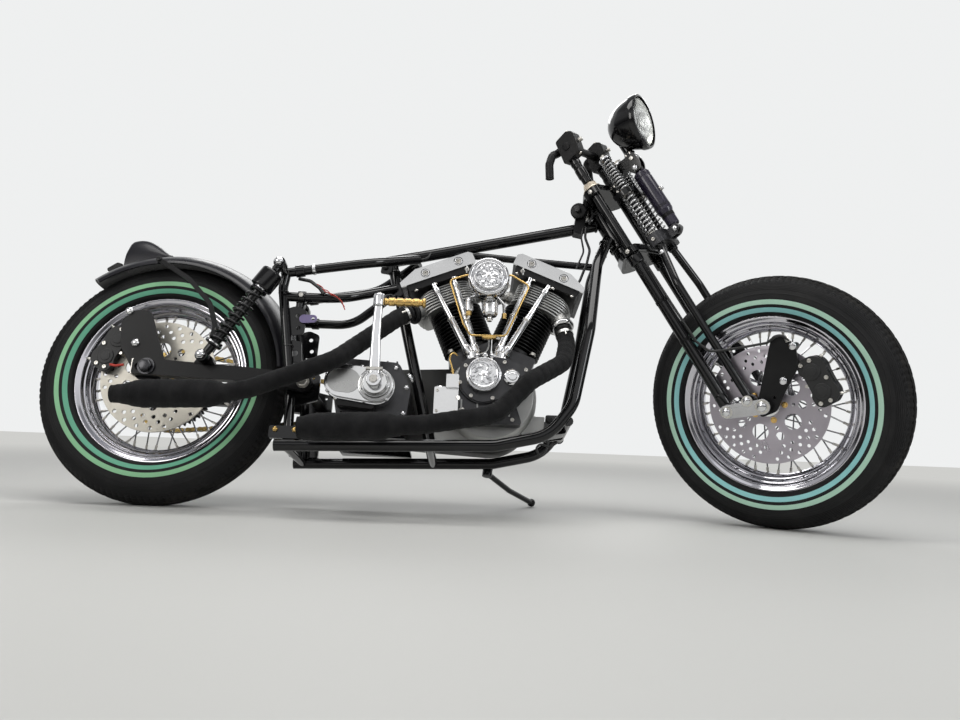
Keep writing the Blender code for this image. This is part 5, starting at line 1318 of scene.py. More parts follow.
def tail_lamp():
    """Fin-shaped lamp with a lens at its back and a small plate bracket."""
    piece = Piece("tail_light", "frame", BIKE)
    base = 0.3525
    count = 28
    across = 17
    points = []
    for j in range(across):
        v = j / (across - 1) * 2.0 - 1.0
        y = 0.026 * v
        share = sqrt(max(0.0, 1.0 - (abs(v) ** 2.2) * 0.92))
        for i in range(count):
            u = i / (count - 1)
            x = -0.028 - 0.128 * u
            fall = 1.0 if u < 0.93 else 1.0 - 0.22 * ((u - 0.93) / 0.07) ** 2.0
            crest = 0.078 * sin(min(1.0, u * 1.06) * pi * 0.5) ** 1.1 * fall
            low = TYRE_RADIUS + sqrt(base ** 2 - x ** 2)
            points.append((x, y, low + max(0.0006, crest * share)))
    for j in range(across):
        v = j / (across - 1) * 2.0 - 1.0
        for i in range(count):
            u = i / (count - 1)
            x = -0.028 - 0.128 * u
            points.append((x, 0.026 * v, TYRE_RADIUS + sqrt(base ** 2 - x ** 2)))
    faces = []
    m = across * count
    for j in range(across - 1):
        for i in range(count - 1):
            a = j * count + i
            faces.append((a, a + 1, a + count + 1, a + count))
            faces.append((a + m, a + count + m, a + count + 1 + m, a + 1 + m))
    for i in range(count - 1):
        faces.append((i, i + m, i + 1 + m, i + 1))
        a = (across - 1) * count + i
        faces.append((a, a + 1, a + 1 + m, a + m))
    for j in range(across - 1):
        a = j * count
        faces.append((a, a + count, a + count + m, a + m))
        a = j * count + count - 1
        faces.append((a, a + m, a + count + m, a + count))
    piece.add((points, faces), "fender_black")
    piece.add(turned((-0.152, 0.0, 0.6625), (-1.0, 0.0, 0.16),
                     softened([(0.0, 0.0), (0.0165, 0.0), (0.0165, 0.006), (0.013, 0.0095), (0.0, 0.0105)],
                              0.001), 40), "red_lens")
    bracket = corner_rounded([(-0.1985, 0.621), (-0.168, 0.63), (-0.16, 0.644), (-0.176, 0.649),
                              (-0.202, 0.63)], 0.004)
    piece.add(prism(bracket, -0.02, -0.016), "satin_black")
    piece.add(prism(bracket, 0.016, 0.02), "satin_black")
    piece.add(bar([(-0.188, -0.02, 0.633), (-0.188, 0.02, 0.633)], 0.004, sides=14), "satin_black")
    piece.done("tail_lamp", sharp=50)


def shock(side, word):
    """Coil-over damper: lower eye, body, real coil, fat upper cover and top eye."""
    piece = Piece("shock_absorber_" + word, "frame", BIKE)
    y = 0.164 * side
    low = Vector((0.14, y, 0.345))
    top = Vector((0.303, y, 0.598))
    way = (top - low).normalized()
    length = (top - low).length
    for p in (low, top):
        piece.add(turned(p, LEFT, softened([(0.006, -0.0155), (0.015, -0.0155), (0.015, 0.0155),
                                                 (0.006, 0.0155)], 0.0012, True), 36), "gloss_black")
        piece.add(drum(p, LEFT, 0.009, -0.0165, 0.0165, 28, 0.0008), "rubber")
        piece.add(acorn(p + Vector((0, side * 0.0165, 0)), (0, side, 0), 0.0118, 0.013), "chrome")
    body = [(0.0, 0.01), (0.01, 0.01), (0.011, 0.022), (0.011, 0.034), (0.0205, 0.036), (0.0218, 0.038),
            (0.0218, 0.045), (0.012, 0.046), (0.012, length - 0.092), (0.0205, length - 0.091),
            (0.0218, length - 0.089), (0.0218, length - 0.084)]
    piece.add(turned(low, way, softened(body, 0.0008), 48), "gloss_black")
    piece.add(turned(low, way, [(0.012, length - 0.084), (0.0165, length - 0.084), (0.0165, length - 0.079),
                                (0.012, length - 0.079)], 40), "chrome")
    piece.add(turned(low, way, softened([(0.0, length - 0.08), (0.027, length - 0.08), (0.029, length - 0.077),
                                         (0.029, length - 0.032), (0.027, length - 0.028),
                                         (0.019, length - 0.026), (0.012, length - 0.022),
                                         (0.0115, length - 0.01), (0.0, length - 0.01)], 0.0012), 56),
              "gloss_black")
    piece.add(helix(low + way * 0.0455, low + way * (length - 0.0895), 0.018, 0.0034, 9.5, 10, 24), "gloss_black")
    piece.add(turned(low, way, [(0.0205, 0.04), (0.0224, 0.0405), (0.0224, 0.0435), (0.0205, 0.044)], 48), "chrome")
    piece.done("shock_" + word, sharp=40)


def caliper(piece, place, material):
    """Four-piston caliper body with its bolts and bridge."""
    half = [(-0.062, -0.018), (-0.052, -0.03), (-0.03, -0.032), (-0.02, -0.026), (0.02, -0.026), (0.03, -0.032),
            (0.052, -0.03), (0.062, -0.018), (0.061, 0.012), (0.05, 0.026), (0.034, 0.031), (0.012, 0.028),
            (-0.012, 0.028), (-0.034, 0.031), (-0.05, 0.026), (-0.061, 0.012)]
    outline = corner_rounded(half, 0.006)
    piece.add(prism(outline, -0.0285, -0.0085), material, place)
    piece.add(prism(outline, 0.0085, 0.0285), material, place)
    bridge = corner_rounded([(-0.05, 0.014), (0.05, 0.014), (0.044, 0.03), (-0.044, 0.03)], 0.005)
    piece.add(prism(bridge, -0.01, 0.01), material, place)
    for x in (-0.026, 0.026):
        piece.add(drum((x, 0.0, -0.004), RIGHT, 0.0205, 0.026, 0.031, 36, 0.002), material, place)
        piece.add(drum((x, 0.0, -0.004), RIGHT, 0.012, 0.03, 0.0325, 32, 0.001), material, place)
    for x, z in ((-0.052, 0.004), (-0.05, -0.019), (0.052, 0.004), (0.05, -0.019), (0.0, 0.02)):
        piece.add(cap_bolt((x, -0.0285, z), RIGHT, 0.005, 0.0035), "zinc", place)
    piece.add(drum((0.0, 0.0, -0.03), LEFT, 0.004, -0.026, 0.026, 14), "zinc", place)
    for x in (-0.05, 0.046):
        piece.add(turned((x, -0.018, 0.028), (x * 6, 0, 1),
                         [(0.0, 0.0), (0.004, 0.0), (0.004, 0.006), (0.0022, 0.008), (0.0022, 0.014),
                          (0.0, 0.014)], 12), "zinc", place)


def rear_brake():
    piece = Piece("rear_brake_set", "frame", BIKE)
    z = TYRE_RADIUS
    r = CALIPER_REACH
    outline = corner_rounded([(-0.03, z - 0.026), (0.026, z - 0.026), (0.032, z + 0.022),
                              (-0.16 * r, z + 1.13 * r), (-0.46 * r, z + 1.13 * r), (-0.67 * r, z + 0.9 * r),
                              (-0.61 * r, z + 0.43 * r)], 0.01)
    piece.add(plate(outline, [circle(0.0, z, 0.0143, 32)], -0.1195, -0.112), "satin_black")
    place = Matrix.Translation((0.0, DISC_Y, z)) @ Matrix.Rotation(radians(-62), 4,
            "Y") @ Matrix.Translation((0, 0, r))
    caliper(piece, place, "plastic")
    for x, h in ((-0.075, 0.472), (-0.047, 0.388)):
        piece.add(drum((x, -0.112, h), LEFT, 0.0085, -0.001, 0.026, 24, 0.001), "satin_black")
        piece.add(acorn((x, -0.1195, h), RIGHT, 0.0105, 0.008), "polished")
    piece.add(bar([(-0.104, -0.1135, 0.331), (-0.088, -0.115, 0.328), (-0.07, -0.1135, 0.332)], 0.0032, 0.02,
                  12), "red")
    piece.done("rear_brake", bevel=0.001, sharp=40)


# Engine

def cylinder_space(side):
    """Engine space of one cylinder: z along the bore, x away from the other one."""
    flip = Matrix.Scale(side, 4, Vector((1.0, 0.0, 0.0)))
    return Matrix.Translation(CRANK) @ Matrix.Rotation(side * V_HALF_ANGLE, 4, "Y") @ flip


def kept_apart(shape, side, gap):
    """Pull what reaches over the middle between the cylinders back to it."""
    points = []
    for p in shape[0]:
        q = Vector(p)
        if side * (q.x - CRANK.x) < gap:
            q.x = CRANK.x + side * gap
        points.append(q)
    return points, shape[1]


BARREL_BASE = 0.1403
BARREL_TOP = 0.2678
HEAD_HEIGHT = 0.3297


def barrel(side, word):
    piece = Piece("barrel_" + word, "frame", BIKE)
    space = cylinder_space(side)
    profile = [(0.0, BARREL_BASE), (0.063, BARREL_BASE), (0.063, BARREL_BASE + 0.008), (0.056, BARREL_BASE + 0.01)]
    fins = 12
    pitch = (BARREL_TOP - BARREL_BASE - 0.014) / fins
    for k in range(fins):
        z = BARREL_BASE + 0.013 + pitch * k
        profile += [(0.0555, z), (0.069, z + 0.0004), (0.07, z + 0.0012), (0.07, z + 0.0024), (0.069, z + 0.0032),
                    (0.0555, z + 0.0042)]
    profile += [(0.056, BARREL_TOP - 0.0003), (0.0, BARREL_TOP - 0.0003)]
    shape = shifted(lathe(profile, 96), space)
    piece.add(kept_apart(shape, side, CYLINDER_GAP), "engine_black")
    for x, y in ((0.052, -0.05), (0.052, 0.05), (-0.046, -0.052), (-0.046, 0.052)):
        stud = shifted(hex_bolt((x, y, BARREL_BASE + 0.0075), UP, 0.0135, 0.009), space)
        piece.add(kept_apart(stud, side, CYLINDER_GAP), "zinc")
    piece.done("cylinder_" + word, sharp=30)


def intake_port(side):
    """Middle of the intake face and the way it looks."""
    space = cylinder_space(side)
    return space @ Vector((-0.074, 0.0, BARREL_TOP + 0.024)), (space.to_3x3()
            @ Vector((-1.0, 0.0, 0.0))).normalized()


def exhaust_port(side):
    """Middle of the exhaust face and the way it looks."""
    out = Vector((0.18, -0.34, -0.92) if side > 0 else (-0.72, -0.48, -0.5)).normalized()
    root = cylinder_space(side) @ Vector((0.066, -0.036, BARREL_TOP + 0.026))
    return root + out * 0.06, out


def cylinder_head(side, word):
    piece = Piece("cylinder_head_" + word, "frame", BIKE)
    space = cylinder_space(side)
    base = BARREL_TOP
    core = [(0.0, base), (0.061, base), (0.056, HEAD_HEIGHT - 0.001), (0.0, HEAD_HEIGHT - 0.001)]
    piece.add(kept_apart(shifted(lathe(core, 64), space), side, CYLINDER_GAP), "cast")
    fins = 8
    pitch = (HEAD_HEIGHT - base - 0.004) / fins
    for k in range(fins):
        z = base + 0.002 + pitch * k
        share = sin(pi * (k + 0.8) / (fins + 0.6))
        reach = 0.084 + 0.019 * share
        outline = []
        count = 72
        for i in range(count):
            a = 2 * pi * i / count
            wide = reach if cos(a) > 0 else 0.064
            deep = 0.074 + 0.005 * share
            power = 0.55 if cos(a) > 0 else 0.75
            c, s = squarish(a, power)
            sag = -0.009 * max(0.0, cos(a)) ** 2
            outline.append((wide * c, deep * s, sag))
        low = [(x, y, z + dz) for x, y, dz in outline]
        high = [(x, y, z + 0.003 + dz) for x, y, dz in outline]
        rim_low = [(x * 0.985, y * 0.985, h - 0.0006) for x, y, h in low]
        rim_high = [(x * 0.985, y * 0.985, h + 0.0006) for x, y, h in high]
        rows = [rim_low, low, high, rim_high]
        shape = [p for row in rows for p in row], end_faces(4, count) + bands(4, count)
        piece.add(kept_apart(shifted(shape, space), side, CYLINDER_GAP), "cast")
    face, out = exhaust_port(side)
    piece.add(turned(face, out, softened([(0.0, -0.06), (0.024, -0.06), (0.025, -0.02), (0.0262, -0.0125),
                                          (0.027, -0.01), (0.0, -0.01)], 0.001), 48), "cast")
    piece.add(turned(face, out, softened([(0.0, -0.013), (0.03, -0.013), (0.0318, -0.008), (0.031, -0.004),
                                          (0.0268, 0.0), (0.0, 0.0)], 0.0012), 56),
              "chrome" if side > 0 else "engine_black")
    intake, inward = intake_port(side)
    piece.add(turned(intake, inward, softened([(0.0, -0.03), (0.018, -0.03), (0.019, -0.01), (0.019, 0.0),
              (0.0, 0.0)], 0.001), 40), "cast")
    plug = space @ Vector((0.03, -0.066, BARREL_TOP + 0.02))
    way = (space.to_3x3() @ Vector((0.35, -0.9, 0.1))).normalized()
    piece.add(turned(plug, way, [(0.0, -0.004), (0.0105, -0.004), (0.0105, 0.006), (0.0, 0.006)], 6), "zinc")
    piece.done("head_" + word, sharp=30)


def rocker_box(side, word):
    """Dark lower housing and the polished cover, its outer end with the long chamfer, with ring bolts."""
    piece = Piece("rocker_cover_" + word, "frame", BIKE)
    space = cylinder_space(side)
    base = HEAD_HEIGHT + 0.0003
    shift = 0.008 if side > 0 else 0.014
    low = corner_rounded([(-0.088 + shift, base), (0.088 + shift, base), (0.09 + shift, base + 0.0185),
                          (-0.09 + shift, base + 0.0185)], 0.002)
    piece.add(shifted(prism(low, -0.092, 0.092), space), "engine_black")
    bottom = base + 0.018
    half = 0.1 if side > 0 else 0.104
    outline = [(-half + shift, bottom), (half + shift, bottom), (half + shift, bottom + 0.013),
               (half + shift - 0.05, bottom + 0.036), (-half + shift + 0.01, bottom + 0.036),
               (-half + shift, bottom + 0.028)]
    spots = ((-0.047, bottom + 0.019), (0.046, bottom + 0.0165))
    holes = [circle(x, z, 0.0122, 32) for x, z in spots]
    piece.add(shifted(plate(corner_rounded(outline, 0.002, 3), holes, -0.096, -0.09), space), "polished")
    piece.add(shifted(prism(corner_rounded(outline, 0.002, 3), -0.0901, 0.096), space), "dark_alloy")
    for x, z in spots:
        ring = [(0.0062, -0.006), (0.0104, -0.006), (0.0112, -0.001), (0.01, 0.0006), (0.0084, 0.0006),
                (0.0062, -0.003)]
        shape = turned((x, -0.096, z), RIGHT, ring, 32)
        piece.add(shifted(shape, space), "chrome")
        piece.add(shifted(turned((x, -0.096, z), RIGHT, [(0.0, -0.006), (0.0064, -0.006), (0.0062, -0.0008),
                (0.0034, -0.0008), (0.0031, -0.004), (0.0, -0.004)], 24), space), "zinc")
        piece.add(shifted(drum((x, 0.096, z), LEFT, 0.008, -0.001, 0.0015, 28, 0.0005), space), "chrome")
    for x in (-0.072, -0.024, 0.03, 0.084):
        piece.add(shifted(drum((x, -0.088, base + 0.001), DOWN, 0.0052, 0.0, 0.004, 6), space), "zinc")
    for x in (-0.06, 0.06):
        piece.add(shifted(drum((x + shift, 0.0, bottom + 0.036), UP, 0.0075, -0.001, 0.0035, 6), space), "zinc")
    obj = piece.done("rocker_box_" + word, sharp=30, bevel=0.0009)


def pushrods(side, word):
    piece = Piece("pushrod_tubes_" + word, "frame", BIKE)
    y = -0.09
    space = cylinder_space(side)
    spread = (-0.034, 0.018) if side > 0 else (-0.02, 0.036)
    tops = [space @ Vector((x, y + 0.004, HEAD_HEIGHT + 0.0015)) for x in spread]
    feet = [CRANK + Vector((x, y, 0.094)) for x in ((0.008, 0.026) if side > 0 else (-0.036, -0.054))]
    for f, h in zip(feet, tops):
        way = (h - f).normalized()
        length = (h - f).length
        profile = [(0.0, 0.01), (0.0112, 0.01), (0.0112, 0.03), (0.0098, 0.033), (0.0092, 0.038),
                   (0.0092, length * 0.5), (0.01, length * 0.505), (0.01, length * 0.525),
                   (0.0078, length * 0.53), (0.0074, length - 0.03), (0.0088, length - 0.029),
                   (0.0088, length - 0.014), (0.0074, length - 0.013), (0.0074, length), (0.0, length)]
        piece.add(turned(f, way, softened(profile, 0.0006), 36), "chrome")
        piece.add(drum(f + way * (length * 0.515), way, 0.0108, -0.0022, 0.0022, 36, 0.0006), "zinc")
        piece.add(drum(f + way * 0.013, way, 0.0124, -0.004, 0.004, 6, 0.0), "zinc")
        piece.add(drum(f + way * (length - 0.0215), way, 0.01, -0.005, 0.005, 36, 0.0006), "polished")
        piece.add(bar([f + way * (length * 0.6) + Vector((0, -0.0085, 0)),
                       f + way * (length - 0.03) + Vector((0, -0.0078, 0))], 0.001, sides=8), "steel")
    block_low = CRANK + Vector((0.018 if side > 0 else -0.046, y, 0.0915))
    piece.add(turned(block_low, (side * 0.2, 0, 1), softened([(0.0, -0.012), (0.0215, -0.012), (0.0215, -0.004),
            (0.0185, -0.001), (0.018, 0.012), (0.015, 0.016), (0.0, 0.016)], 0.001), 48), "polished")
    for k in range(4):
        dx, dy = polar(0.018, pi / 4 + k * pi / 2)
        spot = block_low + Vector((dx, dy, -0.0035 - side * 0.2 * dx))
        piece.add(acorn(spot, (side * 0.2, 0, 1), 0.0048, 0.0085), "chrome")
    piece.done("pushrods_" + word)


def rosette(radius, height, seed):
    """A round medallion chased with curling leaves."""
    petals, count, rings = 7, 96, 36
    points = [(0.0, 0.0, height * 1.2)]
    for i in range(1, rings + 1):
        r = radius * i / rings
        u = i / rings
        for k in range(count):
            a = 2 * pi * k / count
            curl = a + 1.6 * sin(3.0 * u + seed) * u
            leaf = abs(sin(petals * curl / 2.0)) * sin(pi * min(1.0, u * 1.05)) ** 0.7
            scroll = sin(petals * 2 * a - 16.0 * u + seed) * sin(pi * u)
            rough = noise.noise(Vector((r * cos(a) * 95.0, r * sin(a) * 95.0, seed)))
            h = height * (0.3 * leaf + 0.09 * scroll + 0.42 * rough)
            h += height * 0.9 * max(0.0, 1.0 - (u / 0.2) ** 2)
            if u > 0.94:
                h = height * 0.6
            points.append((r * cos(a), r * sin(a), h))
    return points, round_faces(rings, count)


def crankcase():
    piece = Piece("crank_case", "frame", BIKE)
    case = [(0.0, -0.0615), (0.108, -0.0615), (0.114, -0.056), (0.1165, -0.05), (0.118, -0.046),
            (0.118, -0.006), (0.1205, -0.005), (0.1205, 0.005), (0.118, 0.006), (0.118, 0.046), (0.1165, 0.05),
            (0.114, 0.056), (0.108, 0.0615), (0.0, 0.0615)]
    piece.add(turned(CRANK, LEFT, softened(case, 0.0012), 128), "cast")
    piece.add(drum(CRANK, LEFT, 0.08, 0.058, 0.0877, 72, 0.002), "cast")
    for k in range(11):
        a = radians(-160 + 14.0 * k)
        x, z = CRANK.x + 0.1235 * cos(a), CRANK.z + 0.1235 * sin(a)
        if z < CRANK.z - 0.1145:
            continue
        piece.add(drum((x, 0, z), LEFT, 0.0075, -0.012, 0.012, 20, 0.001), "cast")
        piece.add(hex_bolt((x, -0.012, z), RIGHT, 0.0095, 0.006), "zinc")
    for side in (-1, 1):
        space = cylinder_space(side)
        deck = corner_rounded([(-0.05, 0.05), (0.066, 0.05), (0.066, 0.14), (-0.05, 0.14)], 0.006)
        shape = shifted(prism(deck, -0.058, 0.058), space)
        piece.add(kept_apart(shape, side, 0.0004), "aged_cast")
    chest = corner_rounded([(-0.088, 0.03), (-0.076, 0.078), (-0.036, 0.096), (0.03, 0.092), (0.078, 0.072),
                            (0.103, 0.04), (0.094, 0.008), (0.06, -0.006), (0.02, -0.022), (-0.03, -0.034),
                            (-0.07, -0.012)], 0.026, 8)
    place = Matrix.Translation(CRANK)
    piece.add(prism(chest, -0.106, -0.056), "aged_cast", place)
    piece.add(prism(scaled(chest, (0.012, 0.03), 0.955, 0.955), -0.1115, -0.1), "aged_cast", place)
    for x, z in ((-0.066, 0.064), (-0.078, 0.02), (-0.05, -0.014), (0.004, -0.018), (0.05, 0.0), (0.088, 0.014),
                 (0.086, 0.058), (0.032, 0.076), (-0.018, 0.082)):
        piece.add(cap_bolt((x, -0.1112, z), RIGHT, 0.0048, 0.0038), "zinc", place)
    lower = corner_rounded([(-0.105, -0.08), (0.08, -0.08), (0.05, 0.01), (-0.1, 0.01)], 0.012)
    piece.add(prism(lower, -0.096, -0.056), "aged_cast", place)
    for x in (-0.09, -0.06, -0.02, 0.02, 0.055):
        piece.add(cap_bolt((x, -0.096, -0.068), RIGHT, 0.0048, 0.0036), "zinc", place)
    for k in range(4):
        x = -0.075 + 0.04 * k
        piece.add(prism([(x, -0.06), (x + 0.004, -0.06), (x + 0.004, -0.02), (x, -0.02)], -0.0985, -0.09),
                  "cast", place)
    piece.add(turned(CRANK + Vector((0.052, 0.0, 0.037)), RIGHT,
                     softened([(0.0, 0.104), (0.0195, 0.104), (0.0205, 0.114), (0.018, 0.1195), (0.012, 0.1205),
                               (0.01, 0.1235), (0.0, 0.124)], 0.001), 48), "chrome")
    for k in range(3):
        dx, dz = polar(0.015, 0.5 + 2 * pi * k / 3)
        piece.add(cap_bolt(CRANK + Vector((0.052 + dx, -0.119, 0.037 + dz)), RIGHT, 0.0024, 0.002), "zinc")
    front_lug = corner_rounded([(0.93, 0.207), (0.9848, 0.207), (0.9892, 0.258), (0.93, 0.258)], 0.004)
    piece.add(prism(front_lug, -0.034, 0.034), "cast")
    rear_lug = corner_rounded([(0.712, 0.1825), (0.8, 0.1825), (0.8, 0.216), (0.706, 0.216)], 0.004)
    piece.add(prism(rear_lug, -0.024, 0.024), "cast")
    piece.add(turned(CRANK + Vector((-0.07, -0.1, -0.05)), (-0.3, -1, -0.2),
                     [(0.0, 0.0), (0.0085, 0.0), (0.0085, 0.006), (0.0062, 0.0075), (0.0062, 0.014),
                      (0.0, 0.0145)], 6), "zinc")
    piece.done("crankcase", sharp=32, bevel=0.001)


def timer_cover():
    piece = Piece("timing_cover", "frame", BIKE)
    centre = CRANK + Vector((-0.02, 0.0, 0.038))
    profile = [(0.0, 0.1123), (0.0434, 0.1123), (0.0444, 0.1135), (0.0444, 0.129), (0.0432, 0.1325),
               (0.0416, 0.133), (0.0411, 0.1315), (0.0393, 0.1315), (0.0383, 0.135), (0.0356, 0.1375),
               (0.0, 0.1378)]
    piece.add(turned(centre, RIGHT, softened(profile, 0.0007), 96), "chrome")
    place = Matrix.Translation(centre + Vector((0.0, -0.1375, 0.0))) @ Matrix.Rotation(radians(90), 4, "X")
    piece.add(rosette(0.0356, 0.0026, 1.3), "chrome", place)
    piece.done("timer_cover", sharp=60)


def oil_housing():
    piece = Piece("stepped_housing", "frame", BIKE)
    lower = corner_rounded([(0.7085, 0.2262), (0.7675, 0.2262), (0.7675, 0.296), (0.7085, 0.296)], 0.004)
    piece.add(prism(lower, -0.1495, -0.097), "polished")
    upper = corner_rounded([(0.7365, 0.29), (0.7675, 0.29), (0.7675, 0.3295), (0.7365, 0.3295)], 0.0035)
    piece.add(prism(upper, -0.1495, -0.097), "polished")
    for x, z in ((0.716, 0.235), (0.76, 0.235), (0.716, 0.287)):
        piece.add(cap_bolt((x, -0.1495, z), RIGHT, 0.0036, 0.003), "zinc")
    piece.add(turned((0.722, -0.122, 0.0), UP, softened([(0.0, 0.29), (0.012, 0.29), (0.012, 0.299),
            (0.0095, 0.304), (0.004, 0.306), (0.0, 0.306)], 0.0012), 40), "chrome")
    piece.add(turned((0.764, -0.122, 0.315), (1, 0, 0.3),
                     [(0.0, -0.01), (0.0065, -0.01), (0.0065, 0.004), (0.0, 0.004)], 6), "brass")
    piece.add(drum((0.764, -0.144, 0.27), (0.6, -1, 0), 0.006, 0.0, 0.007, 6), "zinc")
    piece.done("oil_housing", bevel=0.0014, segments=2)
    piece = Piece("breather_curl", "frame", BIKE)
    path = [(0.752, -0.12, 0.33), (0.751, -0.121, 0.345), (0.746, -0.122, 0.362), (0.741, -0.122, 0.378),
            (0.744, -0.12, 0.391), (0.754, -0.118, 0.394), (0.76, -0.116, 0.388)]
    piece.add(bar(path, 0.0022, 0.02, 14, 6), "brass")
    piece.add(drum((0.752, -0.12, 0.0), UP, 0.0052, 0.329, 0.338, 6), "brass")
    piece.add(drum((0.7505, -0.1208, 0.0), UP, 0.0042, 0.342, 0.35, 6), "brass")
    piece.done(sharp=40)


def carburettor():
    piece = Piece("carburettor_body", "frame", BIKE)
    body = [(0.0, 0.06), (0.021, 0.06), (0.023, 0.064), (0.023, 0.078), (0.0205, 0.082), (0.0205, 0.11),
            (0.0245, 0.114), (0.0258, 0.118), (0.0258, 0.134), (0.024, 0.138), (0.0, 0.138)]
    piece.add(turned((CARB_X, 0.0, 0.56), RIGHT, softened(body, 0.001), 56), "cast")
    bowl = [(0.0, 0.49), (0.006, 0.49), (0.006, 0.4945), (0.01, 0.4955), (0.0175, 0.499), (0.0205, 0.505),
            (0.0205, 0.525), (0.0212, 0.526), (0.0212, 0.532), (0.019, 0.534), (0.017, 0.545), (0.0, 0.545)]
    piece.add(turned((CARB_X, CARB_Y, 0.0), UP, softened(bowl, 0.0008), 56), "polished")
    piece.add(hex_bolt((CARB_X, CARB_Y, 0.4905), DOWN, 0.012, 0.006), "zinc")
    for k in range(4):
        dx, dy = polar(0.0215, pi / 4 + k * pi / 2)
        piece.add(drum((CARB_X + dx * 0.92, CARB_Y + dy * 0.92, 0.0), UP, 0.003, 0.524, 0.5375, 14), "zinc")
    piece.add(bar([(0.858, -0.094, 0.556), (0.874, -0.094, 0.54), (0.876, -0.1, 0.505)], 0.004, 0.01, 16), "chrome")
    piece.add(drum((0.8755, -0.1, 0.0), UP, 0.0062, 0.497, 0.512, 6), "brass")
    piece.add(drum((0.866, -0.118, 0.56), RIGHT, 0.0105, 0.0, 0.01, 28, 0.001), "zinc")
    lever = slot_outline((0.866, 0.56), (0.884, 0.578), 0.007, 0.0045, 8)
    piece.add(prism(lever, -0.131, -0.128), "zinc")
    middle = Vector((CRANK.x, 0.0, 0.586))
    for side in (-1, 1):
        face, inward = intake_port(side)
        piece.add(bar([face + inward * 0.0004, face + inward * 0.006, middle], 0.015, 0.012, 32), "cast")
        piece.add(turned(face, inward, [(0.0145, 0.0006), (0.0186, 0.0006), (0.0186, 0.0052), (0.0145, 0.0052)],
                         40), "zinc")
    piece.add(bar([middle, (CARB_X, -0.064, 0.56)], 0.0145, sides=32), "cast")
    piece.done("carburettor", bevel=0.0004)
    piece = Piece("filter_canister", "frame", BIKE)
    top = Vector((0.7835, -0.115, 0.549))
    low = Vector((0.7845, -0.115, 0.508))
    way = (top - low).normalized()
    piece.add(turned(low, way, softened([(0.0, 0.0), (0.009, 0.0), (0.0106, 0.002), (0.0106, 0.028),
                                         (0.0085, 0.032), (0.0085, 0.036), (0.0, 0.04)], 0.0008), 36), "chrome")
    piece.add(turned(low, -way, [(0.0, -0.001), (0.0074, -0.001), (0.0074, 0.01), (0.006, 0.0115),
                                 (0.0, 0.0115)], 6), "brass")
    piece.add(bar([low - way * 0.01, low - way * 0.018, low + Vector((-0.008, 0.004, -0.022))], 0.0034, 0.006,
                  14), "zinc")
    piece.add(bar([top - way * 0.004, (0.8, -0.104, 0.556), (0.822, -0.092, 0.56)], 0.0042, 0.012, 16), "chrome")
    piece.done(sharp=35)


AIR_SCALE = 1.05


def air_cleaner():
    piece = Piece("air_filter", "frame", BIKE)
    place = Matrix.Translation((0.832, 0.0, 0.58)) @ Matrix.Rotation(radians(90), 4, "X")
    profile = [(r * AIR_SCALE, z) for r, z in ((0.0, 0.1385), (0.044, 0.1385), (0.0475, 0.14), (0.0492, 0.144),
                                               (0.0495, 0.148), (0.0495, 0.174), (0.0488, 0.179),
                                               (0.0474, 0.1828), (0.045, 0.1852), (0.0424, 0.1858),
                                               (0.0402, 0.1842), (0.039, 0.1812), (0.0385, 0.1806),
                                               (0.0378, 0.182), (0.0368, 0.1866), (0.035, 0.1892),
                                               (0.0338, 0.1896), (0.0334, 0.188), (0.0, 0.188))]
    piece.add(lathe(softened(profile, 0.0006), 128), "chrome", place)
    piece.add(lathe([(0.0522, 0.156), (0.0525, 0.1566), (0.0525, 0.16), (0.0522, 0.1606)], 128), "steel", place)
    piece.add(rosette(0.0353, 0.0036, 4.1), "chrome", place @ Matrix.Translation((0.0, 0.0, 0.1884)))
    piece.done("air_cleaner", sharp=60)


def oil_line():
    y = -0.128
    top = HEAD_HEIGHT + 0.006
    inner = 0.0923
    a = cylinder_space(-1) @ Vector((-0.06, -inner, top))
    b = cylinder_space(1) @ Vector((-0.06, -inner, top))
    corners = [Vector((0.8, -0.11, 0.604)), Vector((0.776, y, 0.604)), Vector((0.732, y, 0.588)),
               Vector((0.771, y, 0.471)), Vector((0.79, y, 0.44)), Vector((0.88, y, 0.441)),
               Vector((0.938, y, 0.58)), Vector((0.89, y, 0.609)), Vector((0.868, -0.11, 0.606))]
    piece = Piece("oil_feed", "frame", BIKE)
    piece.add(bar(corners, 0.0026, 0.012, 16, 6), "brass")
    for p in (a, b):
        near = Vector((p.x, y + 0.004, p.z - 0.022))
        piece.add(bar([p, Vector((p.x, y + 0.004, p.z)), near], 0.0024, 0.01, 14, 6), "steel")
        piece.add(drum(p, Vector((0.0, -1.0, 0.0)), 0.0062, 0.001, 0.009, 6), "zinc")
    piece.add(drum((CARB_X, y, 0.436), FORWARD, 0.0058, -0.01, 0.01, 6), "brass")
    piece.add(drum((CARB_X, y, 0.436), FORWARD, 0.0044, -0.017, 0.017, 6), "brass")
    piece.done("oil_line")
    piece = Piece("oil_return", "frame", BIKE)
    loop = [(0.838, y + 0.001, 0.43), (0.8385, -0.122, 0.414), (0.832, -0.112, 0.402), (0.818, -0.104, 0.398),
            (0.803, -0.099, 0.397)]
    piece.add(bar(loop, 0.0021, 0.012, 12, 5), "steel")
    piece.done(sharp=40)


# Gear case, kick starter, primary drive

